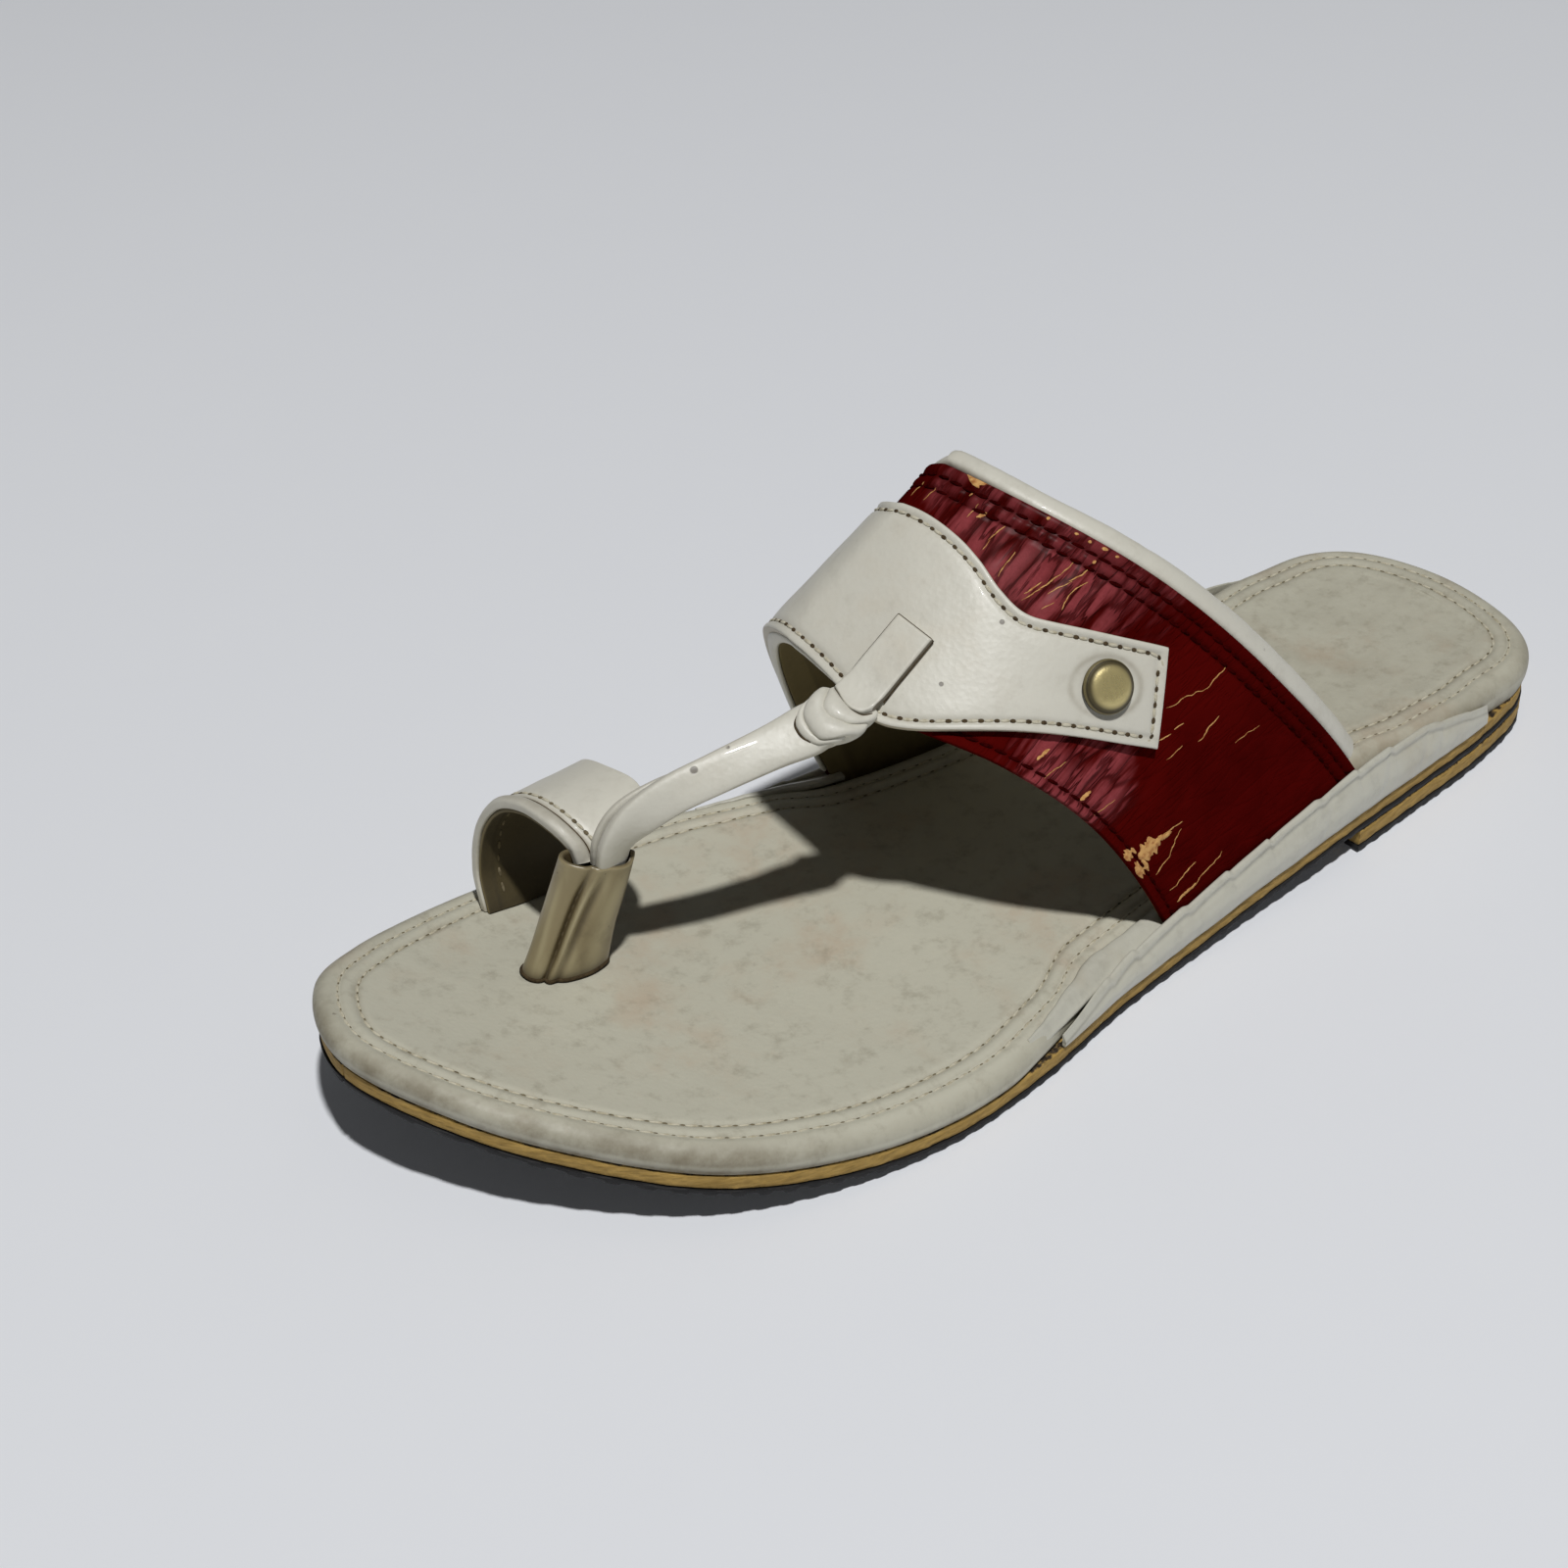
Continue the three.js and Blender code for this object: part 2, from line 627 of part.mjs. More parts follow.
function toeStrap() {
  const rows = strapRows();
  const size = columnsByRow(rows, ['width', 'thick']);
  const swell = (row) =>
    STRAP.wraps.reduce((sum, at) => Math.max(sum, 1 - ((row - at) / STRAP.wrapReach) ** 2), 0);
  const upper = strapSweep(rows, (row) => ({
    drop: 0,
    width: size.width(row) + STRAP.wrapWidth * Math.sqrt(swell(row)),
    thick: size.thick(row) + STRAP.wrapThick * Math.sqrt(swell(row)),
  }));
  const first = STRAP_TAB.length + UNDER_STRAP.firstRow;
  const length = rows.length - 1 - first;
  const under = strapSweep(rows.slice(first), (row) => ({
    drop: lerp(UNDER_STRAP.drop, UNDER_STRAP.endDrop, row / length)
      + UNDER_STRAP.bow * Math.sin((Math.PI * row) / length),
    width: size.width(row + first) - UNDER_STRAP.narrower,
    thick: UNDER_STRAP.thick,
  }));
  return joined(upper, under);
}

function toeRing() {
  const last = RING_ROWS.length - 1;
  const at = columnsByRow(RING_ROWS, ['y', 'z', 'front', 'rear', 'skew']);
  const sheet = (face) =>
    range(last * RING.stepsPerRow).map((q) => {
      const row = q * last;
      const run = at.y(row + STEP) - at.y(row - STEP);
      const rise = at.z(row + STEP) - at.z(row - STEP);
      const normal = new THREE.Vector3(0, -rise, run).normalize();
      if (row === 0) normal.set(0, -1, 0);
      return RING_ACROSS.map(({ across, roll }) => {
        const x = lerp(at.front(row), at.rear(row), across);
        const y = at.y(row) + at.skew(row) * (0.5 - across);
        const depth = face > 0 ? RING.thickness / 2 + roll : -RING.thickness / 2;
        const seat = (footbedTop(x) + GAP - RING_ROWS[0].z) * Math.max(0, 1 - row);
        return new THREE.Vector3(x, y, at.z(row) + seat).addScaledVector(normal, depth);
      });
    });
  return wallSolid(sheet(1), sheet(-1));
}

function toePost() {
  const turn = THREE.MathUtils.degToRad(POST.turn);
  const rings = POST_ROWS.map((row, i) =>
    range(POST.sides).slice(1).map((share) => {
      const angle = 2 * Math.PI * share;
      const along = (row.long / 2) * Math.cos(angle);
      const across = (row.thick / 2) * Math.sin(angle);
      const x = row.x + along * Math.cos(turn) - across * Math.sin(turn);
      const y = row.y + along * Math.sin(turn) + across * Math.cos(turn);
      const tilt = (POST.topTilt * along * i) / (POST_ROWS.length - 1);
      return new THREE.Vector3(x, y, i === 0 ? footbedTop(x) + GAP : row.z + tilt);
    }),
  );
  return ringSolid(rings);
}

function snapCap() {
  const profile = [
    new THREE.Vector2(0, 0),
    ...SNAP_PROFILE.map((row) => new THREE.Vector2(row.radius, row.height)),
    new THREE.Vector2(0, SNAP_TOP),
  ];
  const lathe = new THREE.LatheGeometry(profile, SNAP.sides).rotateX(Math.PI / 2);
  const x = bandX(SNAP.around, SNAP.across);
  const normal = lastNormal(x, SNAP.around);
  lathe.applyQuaternion(new THREE.Quaternion().setFromUnitVectors(UP, normal));
  const seat = offLast(x, SNAP.around, SADDLE.thickness + 2 * GAP + SNAP.seat);
  lathe.translate(seat.x, seat.y, seat.z);
  const position = lathe.getAttribute('position');
  const corner = (_, i) => new THREE.Vector3().fromBufferAttribute(position, i);
  const points = Array.from({ length: position.count }, corner);
  const index = lathe.getIndex().array;
  const face = (_, i) => Array.from(index.slice(3 * i, 3 * i + 3));
  const triangles = Array.from({ length: index.length / 3 }, face);
  return closedGeometry(points, triangles);
}

// Finishes, by the piece they cover
const FINISH = {
  blackRubber: { color: 0x17161a, roughness: 0.75, metalness: 0 },
  tanBoard: { color: 0xb98f4c, roughness: 0.7, metalness: 0 },
  beigeLeather: { color: 0xc3bba6, roughness: 0.5, metalness: 0 },
  redLeather: { color: 0x5d0d10, roughness: 0.38, metalness: 0 },
  wornLeather: { color: 0x8a7d66, roughness: 0.35, metalness: 0 },
  brass: { color: 0x9b8a5c, roughness: 0.3, metalness: 1 },
};

const MIDSOLE_INSET = 0.7;
const OUTSOLE_INSET = 0.2;
const HEEL_INSET = 0.5;
const topPieceTop = () => SOLE.heelTopPiece;
const heelLiftBottom = () => SOLE.heelTopPiece + SOLE.layerGap;
const heelLiftTop = (x) => outsoleTop(x) - SOLE.skivedOutsole - SOLE.layerGap;
const floor = () => 0;

const sandal = new THREE.Group();
const addPiece = (name, geometry, finish) => {
  const mesh = new THREE.Mesh(geometry, new THREE.MeshStandardMaterial(finish));
  mesh.name = name;
  sandal.add(mesh);
};
const treadLayer = plainLayer(steppedLength, OUTSOLE_INSET, outsoleBottom, outsoleTop);
addPiece('outsole', treadLayer, FINISH.blackRubber);
addPiece('midsole', plainLayer(fullLength, MIDSOLE_INSET, midsoleBottom, midsoleTop), FINISH.tanBoard);
addPiece('heel_lift', plainLayer(heelLength, HEEL_INSET, heelLiftBottom, heelLiftTop), FINISH.tanBoard);
addPiece('heel_top_piece', plainLayer(heelLength, OUTSOLE_INSET, floor, topPieceTop), FINISH.blackRubber);
addPiece('footbed', footbed(), FINISH.beigeLeather);
addPiece('rand_lateral', rand('lateral'), FINISH.beigeLeather);
addPiece('rand_medial', rand('medial'), FINISH.beigeLeather);
addPiece('vamp', vamp(), FINISH.redLeather);
addPiece('collar_roll', collarRoll(), FINISH.beigeLeather);
addPiece('saddle_strap', saddleStrap(), FINISH.beigeLeather);
addPiece('toe_strap', toeStrap(), FINISH.beigeLeather);
addPiece('toe_ring', toeRing(), FINISH.beigeLeather);
addPiece('toe_post', toePost(), FINISH.wornLeather);
addPiece('snap_cap', snapCap(), FINISH.brass);

// Stand the sandal on the floor, centred on its footprint
const box = new THREE.Box3().setFromObject(sandal);
const middle = box.getCenter(new THREE.Vector3());
sandal.position.set(-middle.x, -middle.y, -box.min.z);

export default sandal;
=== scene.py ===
"""Looks of a left leather sandal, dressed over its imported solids.

Sizes are millimetres in the sandal's own frame: +X runs from heel to toe, +Y to the outer side
and +Z up. Points become metres where a mesh is made.
"""
import logging
import math
from collections import namedtuple
from collections.abc import Callable, Sequence
from dataclasses import dataclass, field, replace
from enum import Enum
from functools import cached_property
from typing import Any, NamedTuple

import bmesh
import bpy
import numpy as np
from mathutils import Matrix, Vector


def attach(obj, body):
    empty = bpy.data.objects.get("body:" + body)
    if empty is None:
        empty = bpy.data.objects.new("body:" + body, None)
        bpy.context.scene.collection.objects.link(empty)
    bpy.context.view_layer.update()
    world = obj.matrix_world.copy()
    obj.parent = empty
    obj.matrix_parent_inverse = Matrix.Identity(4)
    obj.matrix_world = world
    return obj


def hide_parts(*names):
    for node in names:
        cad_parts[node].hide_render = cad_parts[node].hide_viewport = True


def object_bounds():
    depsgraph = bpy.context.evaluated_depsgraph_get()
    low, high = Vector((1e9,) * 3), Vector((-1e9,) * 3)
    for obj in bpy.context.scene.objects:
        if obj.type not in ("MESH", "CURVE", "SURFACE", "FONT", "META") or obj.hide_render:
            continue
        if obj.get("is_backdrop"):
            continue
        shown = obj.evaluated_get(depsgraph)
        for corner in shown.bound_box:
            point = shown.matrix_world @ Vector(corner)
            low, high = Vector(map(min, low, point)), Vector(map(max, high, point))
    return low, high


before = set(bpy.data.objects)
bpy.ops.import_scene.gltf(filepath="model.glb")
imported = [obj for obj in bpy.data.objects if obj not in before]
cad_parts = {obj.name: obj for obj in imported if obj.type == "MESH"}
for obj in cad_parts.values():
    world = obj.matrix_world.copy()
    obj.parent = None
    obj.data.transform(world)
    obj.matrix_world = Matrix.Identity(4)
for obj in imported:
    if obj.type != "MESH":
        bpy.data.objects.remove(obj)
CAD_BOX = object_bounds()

LOG = logging.getLogger("sandal")
MM = 0.001
GAP = 0.3
BODY = "root"
WELD = 1e-7
TINY = 1e-4
HALF_TURN = 180.0
NEVER_ZERO = 1e-12
WOBBLE_WAVES = 5
WOBBLE_STEP = 0.73
CORD_SIDES = 6
CUT_STEPS = 6
EDGE_FADE = 0.3
RIDGE = "at width height"
MARK = "x y z radius"
UP = np.array([0.0, 0.0, 1.0])
Array = np.ndarray
Rows = tuple[Any, ...]
Colour = tuple[float, float, float, float]
Material = bpy.types.Material
Object = bpy.types.Object
Tree = bpy.types.NodeTree
Link = bpy.types.NodeSocket


def tone(*levels: float) -> Colour:
    """Linear colour of a tone given on the 0 to 255 display scale."""
    shares = [level / 255.0 for level in levels]
    return (*(s / 12.92 if s <= 0.04045 else ((s + 0.055) / 1.055) ** 2.4 for s in shares), 1.0)


def lerp(start: Any, end: Any, share: Any) -> Any:
    """Value that lies a share of the way from start to end."""
    return start + (end - start) * share


def smooth(share: Any) -> Any:
    """Soft step from 0 to 1."""
    clipped = np.clip(share, 0.0, 1.0)
    return clipped * clipped * (3.0 - 2.0 * clipped)


def bell(distance: Any, width: float) -> Any:
    """Soft bump of height 1 that fades over a width."""
    return np.exp(-((distance / width) ** 2))


def unit(vectors: Array) -> Array:
    """Vectors scaled to length 1 along their last axis."""
    return vectors / (np.linalg.norm(vectors, axis=-1, keepdims=True) + NEVER_ZERO)


def signed_power(values: Any, power: Any) -> Any:
    """Values raised to a power, with their sign kept."""
    return np.sign(values) * np.abs(values) ** power


def xyz(x: Any, y: Any, z: Any) -> Array:
    """Points with three coordinates along their last axis."""
    return np.stack(np.broadcast_arrays(x, y, z), axis=-1)


def circle(steps: int) -> Array:
    """Angles of the points of a closed loop."""
    return np.linspace(0.0, math.tau, steps + 1)[:-1]


def inner_shares(steps: int) -> Array:
    """Shares of the way between two ends, without the ends."""
    return np.linspace(0.0, 1.0, steps + 1)[1:-1]


def run_length(points: Array) -> Array:
    """Length along the first axis of rows of points, from 0."""
    steps = np.linalg.norm(np.diff(points, axis=0), axis=-1)
    return np.concatenate([np.zeros((1, *steps.shape[1:])), np.cumsum(steps, axis=0)])


def wobble(at: Any, wave: float, seed: int) -> Any:
    """Smooth irregular ripple between about -1 and 1.

    Args:
        at: Where along the ripple, in millimetres.
        wave: Longest wave of the ripple, in millimetres.
        seed: Seed of its phases.

    Returns:
        The ripple's height at each place.
    """
    phases = np.random.default_rng(seed).uniform(0.0, math.tau, WOBBLE_WAVES)
    waves = (
        np.sin(math.tau * at * (1.0 + WOBBLE_STEP * order) / wave + phase) / (1.0 + order)
        for order, phase in enumerate(phases)
    )
    return sum(waves) / 2.0


class Ripple(NamedTuple):
    """Smooth irregular ripple of a surface."""

    height: float
    wave: float
    seed: int

    def at(self, place: Any) -> Any:
        """Height of the ripple at each place."""
        return self.height * wobble(place, self.wave, self.seed)


def table(names: str, *rows: tuple[float, ...]) -> Rows:
    """Rows of numbers under named columns."""
    return tuple(map(namedtuple("Row", names)._make, rows))


def ridges(rows: Rows, distance: Any) -> Any:
    """Height of soft ridges, or grooves where it is negative, at a distance from their edge."""
    return sum(row.height * bell(distance - row.at, row.width) for row in rows)


class TableCurve:
    """Smooth curve through one column of a table, over another column."""

    def __init__(self, at: Sequence[float], values: Sequence[float]) -> None:
        """Args: at, the places of the rows; values, the column's values."""
        self.at = np.asarray(at, float)
        self.values = np.asarray(values, float)
        gaps = np.diff(self.at)
        secant = np.diff(self.values) / gaps
        inner = (secant[:-1] * gaps[1:] + secant[1:] * gaps[:-1]) / (gaps[:-1] + gaps[1:])
        self.slopes = np.concatenate([secant[:1], inner, secant[-1:]])

    def __call__(self, place: Any) -> Array:
        """Value of the curve at each place.

        Args:
            place: Places to read the curve at.

        Returns:
            The values.
        """
        held = np.clip(place, self.at[0], self.at[-1])
        row = np.clip(np.searchsorted(self.at, held, side="left") - 1, 0, len(self.at) - 2)
        width = self.at[row + 1] - self.at[row]
        share = (held - self.at[row]) / width
        start = share * (1.0 - share) ** 2 * self.slopes[row]
        end = share**2 * (1.0 - share) * self.slopes[row + 1]
        return lerp(self.values[row], self.values[row + 1], smooth(share)) + (start - end) * width


def column(rows: Sequence[Any], value: str, over: str | None = None) -> TableCurve:
    """Curve of one column of a table, over another column or over the row number."""
    at = range(len(rows)) if over is None else [getattr(row, over) for row in rows]
    return TableCurve(list(at), [getattr(row, value) for row in rows])


def columns(rows: Sequence[Any]) -> dict[str, TableCurve]:
    """Curve of each column of a table over the row number."""
    return {name: column(rows, name) for name in rows[0]._fields}


def spline_piece(four: Array, share: Array) -> Array:
    """Centripetal spline between the two middle points of four.

    Args:
        four: Four points for each place, shape (places, 4, axes).
        share: Share of the way from the second point to the third.

    Returns:
        The points on the spline.
    """
    gap = np.sqrt(np.linalg.norm(np.diff(four, axis=1), axis=2))
    gap[:, 1] = np.where(gap[:, 1] < TINY, 1.0, gap[:, 1])
    for side in (0, 2):
        gap[:, side] = np.where(gap[:, side] < TINY, gap[:, 1], gap[:, side])
    before, middle, after = (gap[:, i, None] for i in range(3))
    first, second, third, fourth = (four[:, i] for i in range(4))
    leave = (second - first) / before - (third - first) / (before + middle) + (third - second) / middle
    reach = (third - second) / middle - (fourth - second) / (middle + after) + (fourth - third) / after
    t = share[:, None]
    ends = (2 * t**3 - 3 * t**2 + 1) * second + (3 * t**2 - 2 * t**3) * third
    return ends + ((t**3 - 2 * t**2 + t) * leave + (t**3 - t**2) * reach) * middle


def open_spline(points: Array, row: Array) -> Array:
    """Points of an open centripetal spline at row numbers.

    Args:
        points: Points that the spline passes.
        row: Row numbers, with shares between two points.

    Returns:
        A point for each row number.
    """
    ends = np.vstack([2 * points[0] - points[1], points, 2 * points[-1] - points[-2]])
    start = np.clip(np.floor(row).astype(int), 0, len(points) - 2)
    return spline_piece(np.stack([ends[start + i] for i in range(4)], axis=1), row - start)


def closed_spline(points: Array, steps: int) -> Array:
    """Points of a closed centripetal spline, with a number of steps from each point to the next.

    Args:
        points: Points that the spline passes.
        steps: Steps from each point to the next.

    Returns:
        The points of the loop.
    """
    row = np.arange(len(points) * steps) / steps
    start = row.astype(int)
    four = np.stack([points[(start + i) % len(points)] for i in (-1, 0, 1, 2)], axis=1)
    return spline_piece(four, row - start)


class Side(Enum):
    """Side of the foot, by the sign of its Y axis."""

    MEDIAL = -1
    LATERAL = 1


@dataclass(frozen=True)
class SoleForm:
    """Outline and layer heights of the sole."""

    outsole: float = 1.4
    skived_outsole: float = 1.1
    midsole: float = 3.2
    heel_lift: float = 3.6
    heel_top_piece: float = 1.8
    footbed_at_toe: float = 6.0
    footbed_at_heel: float = 7.8
    layer_gap: float = 0.25
    toe_spring: float = 19.6
    spring_start: float = 40.0
    arch_front: float = 8.0
    arch_length: float = 80.0
    breast: float = -66.0
    breast_ramp: float = 3.0
    heel_tip: tuple[float, float] = (-142.5, 6.5)
    toe_tip: tuple[float, float] = (142.5, -16.0)
    spline_steps: int = 60
    sections: Rows = table(
        "x medial lateral",
        (-138, -12.7, 28.2), (-130, -21.7, 37.0), (-112, -27.3, 41.8), (-85, -28.6, 44.1),
        (-55, -29.7, 45.8), (-25, -34.2, 46.4), (5, -41.5, 48.1), (32, -49.0, 52.4),
        (56, -53.2, 53.6), (80, -53.3, 49.9), (103, -50.3, 40.7), (121, -44.7, 25.0), (134, -36.4, 7.8),
    )
    seats: Rows = table("front rear ramp depth", (27, -110, 16, 1.5), (12, -88, 20, 1.4), (7, -76, 14, 2.9))

    @cached_property
    def edges(self) -> dict[Side, Array]:
        """Rows of x, y and tangent along each side, from heel to toe."""
        lateral = [(row.x, row.lateral) for row in self.sections]
        medial = [(row.x, row.medial) for row in reversed(self.sections)]
        points = np.array([self.heel_tip, *lateral, self.toe_tip, *medial], float)
        loop = closed_spline(points, self.spline_steps)
        loop = np.vstack([loop, loop[:1]])
        tangent = unit(np.gradient(loop, axis=0))
        tangent[0] = tangent[-1] = unit(loop[1] - loop[-2])
        rows = np.hstack([loop, tangent])
        toe = (len(self.sections) + 1) * self.spline_steps
        return {Side.LATERAL: rows[: toe + 1], Side.MEDIAL: rows[toe:][::-1]}

    def rim(self, side: Side, x: Array, inset: Any) -> tuple[Array, Array]:
        """Point of the outline at sections, moved in from the edge.

        Args:
            side: Side of the foot.
            x: Sections along the foot.
            inset: How far in from the edge.

        Returns:
            The x and y of each point.
        """
        rows = self.edges[side]
        y, along, across = (np.interp(x, rows[:, 0], rows[:, i]) for i in (1, 2, 3))
        return x + across * inset, y - along * inset

    def stations(self, steps: int) -> Array:
        """Sections from heel to toe, closer together at the round ends."""
        turn = np.linspace(0.0, math.pi, steps)
        return lerp(self.heel_tip[0], self.toe_tip[0], (1.0 - np.cos(turn)) / 2.0)

    @property
    def heel_stack(self) -> float:
        """Height of the layers under the midsole at the heel."""
        return self.heel_top_piece + self.heel_lift + self.skived_outsole + 3 * self.layer_gap

    def towards_heel(self, x: Any) -> Any:
        """Share of the climb from the forefoot to the heel."""
        return smooth((self.arch_front - x) / self.arch_length)

    def midsole_bottom(self, x: Any) -> Any:
        """Underside of the midsole.

        Args:
            x: Sections along the foot.

        Returns:
            The height at each section.
        """
        run = np.maximum(0.0, x - self.spring_start) / (self.toe_tip[0] - self.spring_start)
        rise = self.heel_stack - self.outsole - self.layer_gap
        return self.outsole + self.layer_gap + self.toe_spring * run**2 + rise * self.towards_heel(x)

    def midsole_top(self, x: Any) -> Any:
        """Top of the midsole."""
        return self.midsole_bottom(x) + self.midsole

    def outsole_top(self, x: Any) -> Any:
        """Top of the outsole."""
        return self.midsole_bottom(x) - self.layer_gap

    def outsole_bottom(self, x: Any) -> Any:
        """Underside of the outsole, which is skived thin over the heel."""
        full = smooth((x - self.breast) / self.breast_ramp)
        return self.outsole_top(x) - lerp(self.skived_outsole, self.outsole, full)

    def lift_top(self, x: Any) -> Any:
        """Top of the heel lift."""
        return self.outsole_top(x) - self.skived_outsole - self.layer_gap

    def footbed_bottom(self, x: Any) -> Any:
        """Underside of the footbed."""
        return self.midsole_top(x) + self.layer_gap

    def footbed_top(self, x: Any) -> Any:
        """Top of the footbed."""
        return self.footbed_bottom(x) + lerp(self.footbed_at_toe, self.footbed_at_heel, self.towards_heel(x))

    def seat(self, x: Any) -> Any:
        """How far the footbed's edge steps in where the upper passes down.

        Args:
            x: Sections along the foot.

        Returns:
            The step at each section.
        """
        total = 0.0
        for row in self.seats:
            into = smooth((x - row.rear + row.ramp) / row.ramp)
            total = total + row.depth * into * smooth((row.front + row.ramp - x) / row.ramp)
        return total


class Flank(NamedTuple):
    """Fullness of the last on one side."""

    across: float
    up: float


@dataclass(frozen=True)
class LastForm:
    """The last: an arch across the foot whose crest falls towards the toes."""

    sole: SoleForm
    crest_x: float = 16.5
    crest_height: float = 81.5
    crest_slope: float = -0.817
    crest_side: float = -13.4
    crest_drift: float = -0.125
    inset: float = 2.7
    lateral: Flank = Flank(1.06, 1.06)
    medial: Flank = Flank(1.23, 1.17)
    step: float = 0.004

    def crest(self, x: Any) -> tuple[Any, Any]:
        """Side and height of the crest at a section."""
        run = x - self.crest_x
        return self.crest_side + self.crest_drift * run, self.crest_height + self.crest_slope * run

    def point(self, x: Any, around: Any) -> Array:
        """Point at a section, from the inner foot (-1) over the crest (0) to the outer foot (1).

        Args:
            x: Sections along the foot.
            around: Places around the last.

        Returns:
            The points.
        """
        x, around = np.broadcast_arrays(np.asarray(x, float), np.asarray(around, float))
        inner = around < 0
        crest_y, crest_z = self.crest(x)
        foot_y = np.where(inner, *(self.sole.rim(side, x, self.inset)[1] for side in Side))
        angle = (1.0 - np.abs(around)) * math.pi / 2.0
        out = np.maximum(0.0, np.cos(angle)) ** np.where(inner, self.medial.across, self.lateral.across)
        rise = np.maximum(0.0, np.sin(angle)) ** np.where(inner, self.medial.up, self.lateral.up)
        return xyz(x, lerp(crest_y, foot_y, out), lerp(self.sole.footbed_bottom(x), crest_z, rise))

    def normal(self, x: Any, around: Any) -> Array:
        """Outward normal of the last.

        Args:
            x: Sections along the foot.
            around: Places around the last.

        Returns:
            The normals, of length 1.
        """
        after = self.point(x, np.minimum(1.0, around + self.step))
        before = self.point(x, np.maximum(-1.0, around - self.step))
        along = self.point(x + 1.0, around) - self.point(x - 1.0, around)
        return unit(np.cross(along, after - before))

    def off(self, x: Any, around: Any, offset: Any) -> Array:
        """Point at a distance outside the last."""
        return self.point(x, around) + self.normal(x, around) * np.asarray(offset)[..., None]

    def around_at_height(self, side: Side, x: Any, z: Any) -> Any:
        """Where around the last a height is reached on one side.

        Args:
            side: Side of the foot.
            x: Sections along the foot.
            z: Heights to look for.

        Returns:
            The places around the last.
        """
        foot = self.sole.footbed_bottom(x)
        flank = self.medial if side is Side.MEDIAL else self.lateral
        share = np.clip((z - foot) / (self.crest(x)[1] - foot), 0.0, 1.0)
        angle = np.arcsin(share ** (1.0 / flank.up))
        return side.value * (1.0 - angle / (math.pi / 2.0))


@dataclass(frozen=True)
class BandForm:
    """Surface of the instep band on the last."""

    last: LastForm
    wall: float = 2.4
    edges: Rows = table(
        "around front rear",
        (-1.0, 4.0, -62.0), (-0.75, 15.4, -42.4), (-0.5, 25.2, -19.8), (-0.25, 32.2, -2.6), (0.0, 35.0, 1.0),
        (0.25, 34.0, -4.2), (0.5, 21.8, -18.4), (0.75, 5.4, -40.8), (1.0, -11.4, -72.0),
    )

    @cached_property
    def front(self) -> TableCurve:
        """Front edge, as x over the place around the last."""
        return column(self.edges, "front", "around")

    @cached_property
    def rear(self) -> TableCurve:
        """Rear edge, as x over the place around the last."""
        return column(self.edges, "rear", "around")

    def x(self, around: Any, across: Any) -> Any:
        """Section of a point of the band, from its front edge (0) to its rear edge (1)."""
        return lerp(self.front(around), self.rear(around), across)

    def point(self, around: Any, across: Any, offset: Any) -> Array:
        """Point at a distance outside the band."""
        return self.last.off(self.x(around, across), around, offset)

    def normal(self, around: Any, across: Any) -> Array:
        """Outward normal of the band."""
        return self.last.normal(self.x(around, across), around)


SOLE = SoleForm()
LAST = LastForm(SOLE)
BAND = BandForm(LAST)


class Slot(Enum):
    """Material slots of the record."""

    RUBBER = "black_rubber"
    BOARD = "tan_board"
    BEIGE = "beige_leather"
    RED = "red_leather"
    WORN = "worn_leather"
    BRASS = "aged_brass"


class Stuff(NamedTuple):
    """A material and the record's slot that it gives the look of."""

    material: Material
    slot: Slot = Slot.BEIGE


def add_object(name: str, data: Any) -> Object:
    """Adds an object at the origin of the scene.

    Args:
        name: Name of the object.
        data: Its mesh, lamp, camera or curve.

    Returns:
        The object.
    """
    made = bpy.data.objects.new(name, data)
    bpy.context.scene.collection.objects.link(made)
    return made


def dress(piece: Object, slot: Slot, node: str | None = None) -> Object:
    """Ties a piece to the sandal.

    Args:
        piece: The finished piece.
        slot: The record's slot that it takes its finish from; not used.
        node: The solid that it stands for, if any.

    Returns:
        The same piece.
    """
    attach(piece, BODY)
    if node is not None:
        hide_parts(node)
    LOG.info("%s: %d faces", piece.name, len(piece.data.polygons))
    return piece


